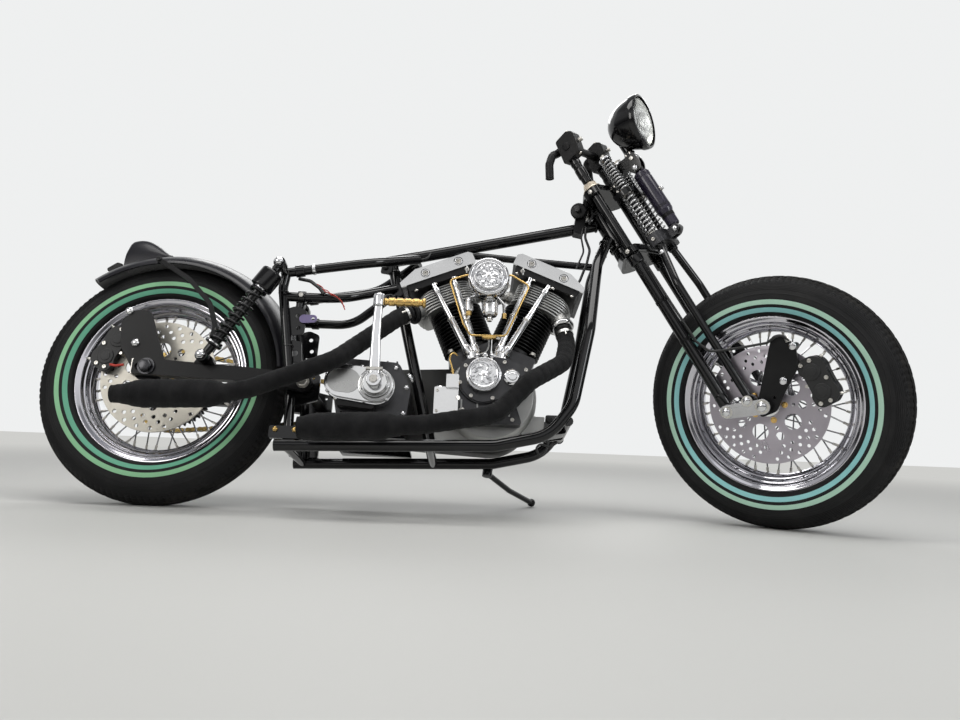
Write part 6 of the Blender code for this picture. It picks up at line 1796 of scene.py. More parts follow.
def gear_case():
    piece = Piece("gear_case", "frame", BIKE)
    outline = corner_rounded([(0.47, 0.215), (0.64, 0.222), (0.648, 0.3), (0.615, 0.365), (0.48, 0.372),
                              (0.452, 0.3)], 0.012)
    piece.add(prism(outline, -0.1, 0.068), "aged_cast")
    piece.add(prism(outline, -0.11, -0.104), "aged_cast")
    piece.add(prism(scaled(outline, (0.55, 0.295), 0.93, 0.93), -0.106, -0.098), "aged_cast")
    for k in range(6):
        x = 0.486 + 0.024 * k
        piece.add(prism([(x, 0.362), (x + 0.004, 0.362), (x + 0.004, 0.3735), (x, 0.3735)], -0.095, 0.06),
                  "aged_cast")
    piece.add(prism(corner_rounded([(0.495, 0.364), (0.612, 0.358), (0.612, 0.366), (0.495, 0.3725)], 0.002),
                    -0.085, 0.03), "polished")
    for x, z in ((0.478, 0.356), (0.608, 0.35), (0.637, 0.3), (0.632, 0.234), (0.48, 0.228), (0.462, 0.3)):
        piece.add(acorn(right(x, 0.11, z), RIGHT, 0.0062, 0.009), "chrome")
    piece.add(drum((0.486, 0.0, 0.3), LEFT, 0.0366, 0.06, 0.0815, 56, 0.002), "aged_cast")
    foot = corner_rounded([(0.49, 0.1745), (0.61, 0.1745), (0.62, 0.24), (0.482, 0.24)], 0.005)
    piece.add(prism(foot, -0.085, 0.05), "aged_cast")
    for x in (0.502, 0.6):
        piece.add(hex_bolt(right(x, 0.085, 0.188), RIGHT, 0.013, 0.007), "zinc")
    piece.add(turned((0.64, -0.07, 0.335), (1, 0, 0.6),
                     softened([(0.0, 0.0), (0.013, 0.0), (0.013, 0.006), (0.009, 0.009), (0.0, 0.01)], 0.001),
                     32), "chrome")
    piece.done("transmission_case", bevel=0.001)


def kick_cover():
    piece = Piece("kicker_cover", "frame", BIKE)
    outline = slot_outline((0.482, 0.3), (0.566, 0.29), 0.0437, 0.0457, 26)
    piece.add(prism(outline, -0.152, -0.1105), "polished")
    piece.add(prism(scaled(outline, (0.524, 0.295), 0.95, 0.92), -0.16, -0.15), "polished")
    oval = slot_outline((0.476, 0.3), (0.498, 0.299), 0.029, 0.03, 26)
    piece.add(prism(oval, -0.1612, -0.158), "steel")
    rings = [(0.0, 0.156), (0.043, 0.156), (0.044, 0.16), (0.0425, 0.1625), (0.0395, 0.1632), (0.0385, 0.1612),
             (0.0372, 0.1612), (0.0362, 0.1655), (0.0335, 0.168), (0.0325, 0.1655), (0.0312, 0.1655),
             (0.03, 0.184), (0.0285, 0.1858), (0.0, 0.1858)]
    piece.add(turned(KICK_SHAFT, RIGHT, softened(rings, 0.0007), 96), "polished")
    for x, z in ((0.446, 0.316), (0.45, 0.274), (0.482, 0.3405), (0.53, 0.3365), (0.5, 0.261), (0.54, 0.252),
                 (0.594, 0.257)):
        piece.add(acorn(right(x, 0.1515, z), RIGHT, 0.0056, 0.0086), "chrome")
    piece.add(prism(corner_rounded([(0.47, 0.242), (0.56, 0.234), (0.566, 0.244), (0.474, 0.255)], 0.004),
                    -0.146, -0.1105), "engine_black")
    piece.add(bar([right(0.456, 0.138, 0.33), right(0.45, 0.142, 0.356), right(0.462, 0.146, 0.368)], 0.0042,
                  0.012, 14), "zinc")
    piece.done("kick_cover", bevel=0.0008)


def kick_starter():
    piece = Piece("kick_arm", "frame", BIKE)
    y = 0.2
    piece.add(turned(KICK_SHAFT, RIGHT, softened([(0.0, 0.1863), (0.018, 0.1863), (0.0188, 0.188),
                                                  (0.0188, 0.209), (0.0172, 0.212), (0.01, 0.212),
                                                  (0.0092, 0.2106), (0.0, 0.2106)], 0.0008), 56), "chrome")
    piece.add(drum((0.566, -0.21, 0.292), RIGHT, 0.009, 0.0, 0.004, 6), "zinc")
    spine = [right(0.566, y, 0.302), right(0.565, y + 0.004, 0.35), right(0.564, y + 0.008, 0.4),
             right(0.565, y + 0.012, 0.45), right(0.566, y + 0.014, 0.49)]
    wide = [0.0145, 0.0128, 0.0112, 0.0104, 0.01]
    points = []
    count = 24
    for p, w in zip(spine, wide):
        for k in range(count):
            c, s = squarish(2 * pi * k / count, 0.7)
            points.append(p + Vector((w * c, w * 0.62 * s, 0.0)))
    piece.add((points, bands(len(spine), count) + end_faces(len(spine), count)), "chrome")
    piece.add(drum((0.566, -0.2085, 0.318), FORWARD, 0.005, -0.02, 0.02, 6), "zinc")
    piece.add(turned((0.566, -(y + 0.014), 0.0), UP, softened([(0.0, 0.4745), (0.013, 0.4745), (0.014, 0.4765),
            (0.014, 0.502), (0.0122, 0.5055), (0.006, 0.506), (0.0, 0.506)], 0.001), 48), "chrome")
    piece.add(turned((0.566, -(y + 0.014), 0.5055), UP,
                     [(0.0, 0.0), (0.005, 0.0), (0.005, 0.003), (0.003, 0.005), (0.0, 0.005)], 20), "zinc")
    piece.done("kick_starter", sharp=40)
    piece = Piece("kick_pedal_rod", "frame", BIKE @ Matrix.Translation((0.5805, -0.212, 0.488))
                  @ Matrix.Rotation(radians(90), 4, "Y"))
    profile = [(0.0, 0.0), (0.0086, 0.0), (0.0094, 0.001), (0.0094, 0.004), (0.008, 0.005)]
    for k in range(4):
        z = 0.008 + 0.02 * k
        profile += [(0.0086, z), (0.0103, z + 0.0015), (0.0103, z + 0.015), (0.0086, z + 0.0165)]
    profile += [(0.0086, 0.09), (0.0122, 0.0925), (0.0122, 0.0975), (0.0105, 0.0995), (0.0, 0.0998)]
    piece.add(lathe(softened(profile, 0.0007), 48), "brass")
    piece.done("kick_pedal", sharp=40)


def primary_cover():
    piece = Piece("primary_case", "frame", BIKE)
    middle = (0.698, SHAFT_Z)
    outline = slot_outline((GEAR_X, SHAFT_Z), (CRANK.x, SHAFT_Z), 0.104, 0.12, 48)
    piece.add(prism(outline, 0.088, 0.144), "grey_cast")
    for low, high, share in ((0.1435, 0.148, 0.985), (0.1475, 0.1585, 0.935), (0.158, 0.1615, 0.9)):
        piece.add(prism(scaled(outline, middle, 1 - (1 - share) * 0.62, share), low, high), "grey_cast")
    for x, z in scaled(outline, middle, 0.975, 0.955)[::8]:
        piece.add(cap_bolt((x, 0.1478, z), LEFT, 0.005, 0.004), "zinc")
    for x, r, inner, sides in ((CRANK.x, 0.056, 0.052, 72), (GEAR_X, 0.036, 0.033, 64)):
        cap = [(0.0, 0.158), (r, 0.158), (r, 0.1612), (inner, 0.1618), (0.0, 0.1618)]
        piece.add(turned((x, 0.0, SHAFT_Z), LEFT, softened(cap, 0.0008), sides), "polished")
    piece.done("primary_cover", bevel=0.002, segments=2)


# Exhausts in their heat wrap

TAPE_PITCH = 0.024
TAPE_EDGE = 0.00125
WRAP_STEP = 0.004


def wrapped(name, node, points, bend, radii_at, tip_radius):
    """A pipe wound with tape: each turn's edge stands a little over the next, with an end band."""
    path = dense(rounded(points, bend, 10), WRAP_STEP)
    frames = frames_along(path)
    sides = 36
    verts = []
    uv = []
    walked = 0.0
    total = sum((b[0] - a[0]).length for a, b in zip(frames[:-1], frames[1:]))
    for i, (p, _, side, other) in enumerate(frames):
        if i:
            walked += (p - frames[i - 1][0]).length
        base = radii_at(walked / total)
        for k in range(sides):
            a = 2 * pi * k / sides
            phase = (walked / TAPE_PITCH + k / sides) % 1.0
            step = TAPE_EDGE * phase if phase < 0.93 else TAPE_EDGE * (1.0 - phase) / 0.07
            ripple = 0.00045 * noise.noise(Vector((walked * 60.0, cos(a) * 2.0, sin(a) * 2.0)))
            edge = min(1.0, walked / WRAP_STEP, (total - walked) / WRAP_STEP)
            r = base - 0.0007 + (step + ripple) * edge
            verts.append(p + side * (r * cos(a)) + other * (r * sin(a)))
            uv.append((walked, a * base))
    piece = Piece(name, "frame", BIKE)
    piece.add((verts, bands(len(frames), sides)), "wrap")
    start = len(verts)
    p, t, _, _ = frames[-1]
    cap = [(tip_radius * 0.99, -0.001), (tip_radius, 0.0), (tip_radius * 0.9, 0.0008),
           (tip_radius * 0.84, 0.0002), (tip_radius * 0.82, -0.03), (0.0, -0.031)]
    piece.add(turned(p, t, cap, 48), "satin_black")
    p, t, _, _ = frames[0]
    piece.add(turned(p, t, [(0.0, 0.0), (0.0215, 0.0), (0.0232, 0.002), (0.0232, 0.007), (0.0218, 0.0085),
                            (0.0, 0.0085)], 48), "engine_black")
    band = frames[int(0.022 / WRAP_STEP)]
    piece.add(turned(band[0], band[1], [(0.0226, -0.004), (0.0238, -0.0038), (0.0238, 0.0038), (0.0226, 0.004)],
                     48), "steel")
    piece.add(drum(band[0] + Vector((0.0, -0.0245, 0.0)), band[1], 0.003, -0.007, 0.007, 6), "zinc")
    uv += [(0.0, 0.0)] * (len(piece.points) - start)
    obj = piece.done(node, sharp=60, uv=uv)


def share_of(path, index):
    """How far along a polyline one of its points lies, from 0 to 1."""
    lengths = [(Vector(b) - Vector(a)).length for a, b in zip(path[:-1], path[1:])]
    return sum(lengths[:index]) / sum(lengths)


def blend_radii(stops):
    """A function that gives the radius at a share of the way, blended between (share, radius) stops."""
    def at(share):
        for (s0, r0), (s1, r1) in zip(stops[:-1], stops[1:]):
            if share <= s1:
                u = (share - s0) / max(1e-6, s1 - s0)
                u = max(0.0, min(1.0, u))
                u = u * u * (3 - 2 * u)
                return r0 + (r1 - r0) * u
        return stops[-1][1]
    return at


def exhausts():
    face, out = exhaust_port(-1)
    path = [face + out * 0.0003, face + out * 0.04, right(0.47, 0.2, 0.339), right(0.275, 0.202, 0.259),
            right(0.215, 0.202, 0.245), right(0.19, 0.204, 0.243), right(0.06, 0.206, 0.237),
            right(0.022, 0.206, 0.235), right(-0.045, 0.206, 0.232)]
    s = [share_of(path, i) for i in range(len(path))]
    wrapped("exhaust_pipe_upper", "exhaust_upper", path, 0.07,
            blend_radii([(0.0, 0.0225), (s[4] - 0.015, 0.0225), (s[5] + 0.015, 0.034), (s[7] - 0.02, 0.034),
                         (1.0, 0.021)]), 0.021)
    face, out = exhaust_port(1)
    path = [face + out * 0.0003, face + out * 0.05, right(1.026, 0.13, 0.375), right(0.94, 0.196, 0.306),
            right(0.86, 0.212, 0.216), right(0.7, 0.214, 0.186), right(0.64, 0.214, 0.18),
            right(0.6, 0.214, 0.178), right(0.432, 0.214, 0.168), right(0.4, 0.214, 0.166)]
    s = [share_of(path, i) for i in range(len(path))]
    wrapped("exhaust_pipe_lower", "exhaust_lower", path, 0.075,
            blend_radii([(0.0, 0.0225), (s[6] - 0.01, 0.0225), (s[7] + 0.015, 0.0334), (s[8] - 0.02, 0.0334),
                         (1.0, 0.026)]), 0.026)


# Fork: the rigid rear fork, the sprung front fork and what they carry

def rigid_fork():
    piece = Piece("rear_fork", "fork", FORK)
    for y in (-LEG_Y, LEG_Y):
        leg = (LEG_FORWARD, y, 0.0)
        upper = [(0.0, -0.12), (0.0135, -0.12), (0.0135, 0.104), (0.0, 0.104)]
        piece.add(turned(leg, UP, upper, 40), "gloss_black")
        low = Vector((ROCKER_REAR.x, y, ROCKER_REAR.z))
        top = Vector((LEG_FORWARD, y, -0.116))
        piece.add(bar([top, low.lerp(top, 0.06)], LEG_RADIUS, sides=40), "gloss_black")
        collar = [(0.0, -0.143), (0.0175, -0.143), (0.02, -0.1405), (0.0205, -0.138), (0.0205, -0.1175),
                  (0.0195, -0.1145), (0.0, -0.1125)]
        piece.add(turned(leg, UP, softened(collar, 0.0008), 48), "gloss_black")
        piece.add(turned(leg, UP, softened([(0.0, 0.1052), (0.0205, 0.1052), (0.0205, 0.1075), (0.0, 0.1075)],
                                           0.0006), 40), "zinc")
        piece.add(hex_bolt((LEG_FORWARD, y, 0.1054), UP, 0.035, 0.02), "nut_steel")
        end = low + Vector((0.0, 0.0, 0.018))
        piece.add(turned(end, (low - top), softened([(0.0, -0.03), (0.0155, -0.03), (0.0163, -0.024),
                (0.0163, 0.0), (0.0, 0.0)], 0.001), 40), "gloss_black")
        s = 1 if y > 0 else -1
        piece.add(drum((low.x, y - s * 0.012, low.z), (0, s, 0), 0.0165, 0.0, 0.0262, 48, 0.0015), "gloss_black")
    half = [(-0.024, 0.03), (0.028, 0.111), (0.072, 0.111), (0.078, 0.04)]
    outline = half + [(x, -y) for x, y in reversed(half)] + [(-0.034, 0.0)]
    outline = corner_rounded(outline, 0.012, 6)
    piece.add(prism(outline, 0.0853, 0.105, "XY"), "gloss_black")
    piece.add(prism(outline, -0.112, -0.0923, "XY"), "gloss_black")
    for z, way in ((0.1045, 1), (-0.1115, -1)):
        raised = scaled(outline, (0.03, 0.0), 0.8, 0.86)
        piece.add(prism(raised, min(z, z + way * 0.0016), max(z, z + way * 0.0016), "XY"), "gloss_black")
    for y in (-0.111, 0.111):
        s = 1 if y > 0 else -1
        for z in (0.0951, -0.1021):
            piece.add(drum((0.048, y, z), (0, s, 0), 0.0062, -0.001, 0.0045, 24, 0.0008), "zinc")
    piece.add(turned((0, 0, 0), UP, softened([(0.0, -0.097), (0.027, -0.097), (0.027, -0.06), (0.0262, -0.0575),
                                              (0.0262, -0.0525), (0.0, -0.0525)], 0.0008), 56), "gloss_black")
    piece.add(turned((0, 0, 0), UP, softened([(0.0, 0.104), (0.0225, 0.104), (0.0225, 0.1072), (0.0, 0.1072)],
                                             0.0006), 40), "zinc")
    piece.add(acorn((0, 0, 0.1068), UP, 0.0195, 0.017), "gloss_black")
    piece.done("rigid_fork", bevel=0.001)


def spring_bracket():
    piece = Piece("spring_plate", "fork", FORK)
    outline = [(0.0783, -0.07), (0.11, -0.07), (0.122, -0.066), (0.131, -0.056), (0.134, -0.04), (0.134, 0.04),
               (0.131, 0.056), (0.122, 0.066), (0.11, 0.07), (0.0783, 0.07)]
    piece.add(plate(corner_rounded(outline, 0.003, 3),
                    [circle(SPRING_X, y, 0.0092, 28) for y in (-SPRING_Y, SPRING_Y)], 0.0452, 0.0588, "XY"),
              "gloss_black")
    arm = corner_rounded([(0.0783, 0.052), (0.0903, 0.052), (0.0943, 0.104), (0.144, 0.126), (0.178, 0.126),
                          (0.178, 0.148), (0.132, 0.148), (0.0783, 0.12)], 0.005, 5)
    piece.add(prism(arm, -0.015, 0.015), "gloss_black")
    for y in (-1, 1):
        cheek = corner_rounded([(0.134, 0.118), (0.148, 0.0945), (0.172, 0.0945), (0.18, 0.112), (0.18, 0.136),
                                (0.14, 0.144)], 0.007, 6)
        low, high = sorted((y * 0.0124, y * 0.0182))
        piece.add(prism(cheek, low, high), "gloss_black")
        piece.add(acorn((0.16, y * 0.018, 0.104), (0, y, 0), 0.0088, 0.0105), "chrome")
        piece.add(drum((0.165, y * 0.018, 0.133), (0, y, 0), 0.0058, 0.0, 0.0035, 24, 0.0006), "zinc")
        for z in (0.066, 0.084, 0.102):
            piece.add(cap_bolt((0.0843, y * 0.015, z), (0, y, 0), 0.0042, 0.0036), "zinc")
    piece.done("spring_bracket", bevel=0.0012)


def spring_fork():
    piece = Piece("front_fork", "fork", FORK)
    for s in (-1, 1):
        legs = [(SPRING_X, s * SPRING_Y, -0.098), (SPRING_X, s * SPRING_Y, -0.131), (0.107, s * 0.088, -0.24),
                (0.104, s * 0.088, -0.602)]
        piece.add(bar(legs, 0.0105, 0.08, 32, 14), "gloss_black")
        piece.add(turned((SPRING_X, s * SPRING_Y, 0.0), DOWN,
                         softened([(0.0, 0.115), (0.0135, 0.115), (0.0135, 0.129), (0.0115, 0.132),
                                   (0.0, 0.132)], 0.0008), 36), "gloss_black")
        piece.add(drum((LEG_PIVOT_X, s * 0.076, LEG_PIVOT_Z), (0, s, 0), 0.015, 0.0, 0.024, 44, 0.0014),
                  "gloss_black")
        piece.add(acorn((0.11, s * 0.0585, -0.145), (-0.1, s, 0.35), 0.0072, 0.01), "chrome")
    left = [(0.09, 0.064), (0.13, 0.064), (0.14, 0.03)]
    outline = left + [(x, -y) for x, y in reversed(left)]
    piece.add(prism(corner_rounded(outline, 0.01, 5), -0.12, -0.0866, "XY"), "dark_alloy")
    for s in (-1, 1):
        cheek = corner_rounded([(0.13, -0.116), (0.16, -0.114), (0.174, -0.102), (0.17, -0.088), (0.13, -0.09)],
                               0.005, 5)
        low, high = sorted((s * 0.0124, s * 0.0179))
        piece.add(prism(cheek, low, high), "dark_alloy")
        piece.add(acorn((0.16, s * 0.0178, -0.101), (0, s, 0), 0.008, 0.0095), "chrome")
        piece.add(cap_bolt((0.11, s * 0.064, -0.103), (0, s, 0), 0.0052, 0.0045), "zinc")
        piece.add(drum((SPRING_X, s * SPRING_Y, -0.0866), UP, 0.015, -0.004, 0.0, 32), "zinc")
    piece.done("spring_fork", bevel=0.001)


def springs(side, word):
    piece = Piece("fork_springs_" + word, "fork", FORK)
    x, y = SPRING_X, side * SPRING_Y
    piece.add(helix((x, y, -0.0857), (x, y, 0.0445), 0.0145, 0.0029, 9.5, 10, 26), "spring_steel")
    piece.add(helix((x, y, 0.0595), (x, y, 0.165), 0.0145, 0.0025, 10.5, 10, 26), "spring_steel")
    piece.add(drum((x, y, 0.0), UP, 0.0072, -0.086, 0.18, 28), "dark_alloy")
    piece.add(turned((x, y, 0.0), UP, softened([(0.0, 0.165), (0.0172, 0.165), (0.0178, 0.1665),
                                                (0.0178, 0.1695), (0.0165, 0.171), (0.0, 0.171)], 0.0006), 44),
              "chrome")
    piece.add(drum((x, y, 0.0), UP, 0.0112, 0.1708, 0.1765, 6), "zinc")
    piece.add(drum((x, y, 0.0), UP, 0.01, 0.1768, 0.18, 6), "zinc")
    piece.add(turned((x, y, 0.1796), UP, [(0.0, 0.0), (0.0062, 0.0), (0.0056, 0.0022), (0.003, 0.0034),
                                          (0.0, 0.0036)], 24), "zinc")
    for z in (0.0445, 0.059):
        piece.add(turned((x, y, z), UP, [(0.0, -0.0008), (0.0168, -0.0008), (0.0168, 0.0008), (0.0, 0.0008)],
                         36), "zinc")
    piece.add(turned((x, y, -0.085), UP, [(0.0, 0.0), (0.0175, 0.0), (0.0175, 0.002), (0.0, 0.003)], 36), "zinc")
    piece.done("spring_set_" + word, sharp=45)


def damper():
    piece = Piece("ride_damper", "fork", FORK)
    profile = [(0.0, -0.088), (0.0145, -0.088), (0.0168, -0.084), (0.017, -0.062), (0.0174, -0.05),
               (0.0205, -0.044), (0.0222, -0.039), (0.0222, 0.068), (0.0214, 0.069), (0.0214, 0.072),
               (0.0222, 0.073), (0.0222, 0.085), (0.0205, 0.089), (0.0175, 0.0915), (0.0, 0.092)]
    piece.add(turned((DAMPER_X, 0, 0), UP, softened(profile, 0.0008), 64), "damper_black")
    piece.add(turned((DAMPER_X, 0, 0), UP, [(0.017, -0.06), (0.018, -0.06), (0.0182, -0.05), (0.0172, -0.05)],
                     48), "satin_black")
    piece.add(drum((DAMPER_X, 0, 0), UP, 0.0095, -0.1, 0.103, 28), "steel")
    for z in (-0.101, 0.104):
        piece.add(drum((DAMPER_X, 0, z), LEFT, 0.013, -0.0116, 0.0116, 36, 0.001), "satin_black")
    piece.add(drum((0.1815, 0.0, 0.019), FORWARD, 0.006, 0.0, 0.0095, 28, 0.001), "chrome")
    piece.add(drum((0.1815, 0.0, 0.019), FORWARD, 0.0078, 0.0, 0.003, 28, 0.0008), "zinc")
    for k in range(3):
        z = -0.03 + 0.003 * k
        piece.add(turned((DAMPER_X, 0, z), UP, [(0.022, -0.0005), (0.0226, -0.0002), (0.0226, 0.0006),
                                                (0.022, 0.0009)], 56), "satin_black")
    piece.done("fork_damper", sharp=40)


def handlebar():
    piece = Piece("handlebars", "fork", FORK)
    for s in (-1, 1):
        y = s * LEG_Y
        riser = [(0.0, 0.1293), (0.0115, 0.1293), (0.0128, 0.131), (0.0128, 0.148), (0.015, 0.15),
                 (0.015, 0.176), (0.0122, 0.179), (0.012, 0.22), (0.0, 0.22)]
        piece.add(turned((LEG_FORWARD, y, 0.0), UP, softened(riser, 0.0008), 48), "gloss_black")
        piece.add(turned((LEG_FORWARD, y, 0.0), UP, softened([(0.0, 0.1785), (0.0135, 0.1785), (0.0135, 0.19),
                (0.015, 0.192), (0.015, 0.202), (0.013, 0.204), (0.0, 0.204)], 0.0008), 44), "gloss_black")
        block = corner_rounded([(0.026, 0.208), (0.082, 0.214), (0.094, 0.27), (0.078, 0.283), (0.036, 0.278)],
                               0.007, 5)
        piece.add(prism(block, y - 0.0185, y + 0.0185), "engine_black")
        for x, z in ((0.04, 0.222), (0.074, 0.226)):
            piece.add(drum((x, y, z), (0.05, 0, -1), 0.0052, -0.005, 0.014, 6), "zinc")
        for x, z in ((0.048, 0.279), (0.076, 0.2825)):
            for dy in (-0.009, 0.009):
                piece.add(cap_bolt((x, y + dy, z - 0.001), (-0.1, 0, 1), 0.0048, 0.004), "zinc")
        piece.add(drum((0.056, y, 0.248), (0, s, 0), 0.0114, -0.02, 0.0215, 36, 0.001), "satin_black")
        grip = [(0.06, y, 0.256), (0.04, y, 0.256), (0.02, y, 0.256), (0.01, y + s * 0.022, 0.252),
                (-0.006, y + s * 0.034, 0.232), (-0.024, y + s * 0.04, 0.196)]
        piece.add(bar(grip, 0.0115, 0.02, 24, 5), "satin_black")
        piece.add(turned(grip[-1], Vector(grip[-1]) - Vector(grip[-2]),
                         softened([(0.0, -0.002), (0.0118, -0.002), (0.0118, 0.001), (0.0095, 0.002),
                                   (0.009, -0.01), (0.0, -0.01)], 0.0004), 36), "satin_black")
        piece.add(drum((0.096, y, 0.244), (1, 0, -0.1), 0.0062, -0.006, 0.005, 24, 0.0008), "zinc")
    piece.add(bar([(0.056, -LEG_Y, 0.248), (0.056, LEG_Y, 0.248)], 0.0114, sides=36), "satin_black")
    piece.done("handlebar", bevel=0.001)


LAMP_SPACE = FORK @ Matrix.Translation((0.236, 0.0, 0.204)) @ Matrix.Rotation(radians(22.4), 4,
        "Y") @ Matrix.Rotation(radians(90), 4, "Y")


def headlamp():
    piece = Piece("lamp_shell", "fork", LAMP_SPACE)
    shell = [(0.0, -0.094), (0.012, -0.0932), (0.022, -0.09), (0.0345, -0.083), (0.044, -0.075),
             (0.053, -0.064), (0.06, -0.052), (0.0655, -0.039), (0.069, -0.026), (0.0715, -0.016),
             (0.0722, -0.01)]
    inner = [(0.07, -0.01), (0.066, -0.028), (0.056, -0.048), (0.0, -0.048)]
    piece.add(lathe(softened(shell, 0.0012) + inner, 96), "gloss_black")
    rim = [(0.07, -0.0095), (0.0752, -0.0095), (0.076, -0.007), (0.076, 0.005), (0.0745, 0.0085), (0.07, 0.01),
           (0.0686, 0.0094), (0.0684, 0.004), (0.0684, -0.0095)]
    piece.add(lathe(rim + [rim[0]], 96), "gloss_black")
    bowl = [(0.069, -0.0015), (0.064, -0.006), (0.056, -0.013), (0.044, -0.0195), (0.03, -0.0232),
            (0.018, -0.0248), (0.0, -0.025)]
    piece.add(lathe(bowl, 96), "silver_bowl")
    piece.add(lathe([(0.0, -0.0245), (0.009, -0.0245), (0.011, -0.018), (0.0095, -0.0125), (0.005, -0.01),
                     (0.0, -0.0095)], 40), "zinc")
    piece.add(drum((-0.0735, 0.0, 0.0015), BACK, 0.0045, -0.002, 0.005, 20, 0.0005), "zinc")
    local = LAMP_SPACE.inverted() @ FORK
    piece.add(shifted(turned((0.162, 0.0, 0.0), UP, softened([(0.0, 0.1483), (0.015, 0.1483), (0.015, 0.154),
            (0.012, 0.16), (0.012, 0.195), (0.0, 0.195)], 0.001), 44), local), "gloss_black")
    piece.add(shifted(drum((0.162, 0.0, 0.1505), UP, 0.0165, -0.002, 0.0035, 6), local), "zinc")
    piece.done("headlamp", sharp=40)
    lens = Piece("lamp_lens", "fork", LAMP_SPACE)
    r = 0.0677
    rings = 30
    count = 96
    points = [(0.0, 0.0, 0.0155)]
    for i in range(1, rings + 1):
        u = i / rings
        for k in range(count):
            a = 2 * pi * k / count
            x, y = r * u * cos(a), r * u * sin(a)
            flute = 0.00045 * cos(2 * pi * y / 0.0085) * (1.0 if u < 0.93 else 0.0)
            points.append((x, y, 0.0035 + 0.012 * sqrt(max(0.0, 1.0 - u * u * 0.98)) * (1.0 - 0.25 * u) + flute))
    faces = round_faces(rings, count)
    start = len(points)
    last = 1 + (rings - 1) * count
    for k in range(count):
        a = 2 * pi * k / count
        points.append((r * cos(a), r * sin(a), -0.0008))
    points.append((0.0, 0.0, -0.0008))
    for k in range(count):
        j = (k + 1) % count
        faces.append((last + k, start + k, start + j, last + j))
        faces.append((start + k, len(points) - 1, start + j))
    lens.add((points, faces), "glass")
    lens.done("headlamp_lens", sharp=60)


def rocker(side, word):
    piece = Piece("fork_rocker_" + word, "fork", FORK)
    low, high = sorted((side * 0.1048, side * 0.1146))
    rear = (ROCKER_REAR.x, ROCKER_REAR.z)
    front = (ROCKER_FRONT.x, ROCKER_FRONT.z)
    piece.add(prism(slot_outline(rear, front, 0.0168, 0.0188, 24), low, high), "link_chrome")
    face = side * 0.1146
    waist = slot_outline((rear[0] + 0.006, rear[1] - 0.0024), (front[0] - 0.004, front[1] + 0.0016), 0.008,
                         0.0095, 16)
    low, high = sorted((side * 0.113, side * 0.1158))
    piece.add(prism(waist, low, high), "link_chrome")
    for (x, z), r, reach in (((rear[0], rear[1]), 0.012, 0.0112), ((LEG_PIVOT_X, LEG_PIVOT_Z), 0.011, 0.0105),
                             ((front[0], front[1]), 0.014, 0.012)):
        piece.add(drum((x, face, z), (0, side, 0), r * 1.22, -0.001, 0.0018, 36, 0.0005), "zinc")
        piece.add(acorn((x, face + side * 0.0015, z), (0, side, 0), r * 0.96, reach - 0.0015), "chrome")
    low = side * 0.0668
    piece.add(drum((front[0], low, front[1]), (0, side, 0), 0.0138, 0.0, 0.039, 36, 0.001), "zinc")
    piece.add(drum((LEG_PIVOT_X, side * 0.099, LEG_PIVOT_Z), (0, side, 0), 0.0078, 0.0, 0.007, 28), "zinc")
    piece.done("front_rocker_" + word, bevel=0.0008)


def front_brake():
    piece = Piece("front_brake_set", "fork", FORK)
    x, z, r = ROCKER_FRONT.x, ROCKER_FRONT.z, CALIPER_REACH
    outline = [(x - 0.024, z - 0.02), (x + 0.018, z - 0.026), (x + 0.34 * r, z - 0.004),
               (x + 0.88 * r, z + 0.3 * r), (x + 1.01 * r, z + 0.64 * r), (x + 0.92 * r, z + 0.93 * r),
               (x + 0.76 * r, z + 0.98 * r), (x - 0.0166, z + 0.0093)]
    holes = [circle(x + 0.22 * r, z + 0.04 * r, 0.004, 20)]
    piece.add(plate(corner_rounded(outline, 0.01, 6), holes, -0.0918, -0.0852), "satin_black")
    for u, v in ((0.97, 0.64), (0.51, 0.21)):
        piece.add(drum((x + u * r, DISC_Y, z + v * r), RIGHT, 0.009, 0.0, 0.033, 32, 0.001), "satin_black")
        piece.add(turned((x + u * r, -0.0925, z + v * r), RIGHT,
                         softened([(0.0, 0.0), (0.0098, 0.0), (0.01, 0.002), (0.0086, 0.0046), (0.005, 0.0062),
                                   (0.0, 0.0066)], 0.0006), 36), "chrome")
    place = Matrix.Translation((x, DISC_Y, z)) @ Matrix.Rotation(radians(95), 4,
            "Y") @ Matrix.Translation((0, 0, r))
    caliper(piece, place, "plastic")
    piece.done("front_brake", bevel=0.0009)


# Small parts that hang on the pieces

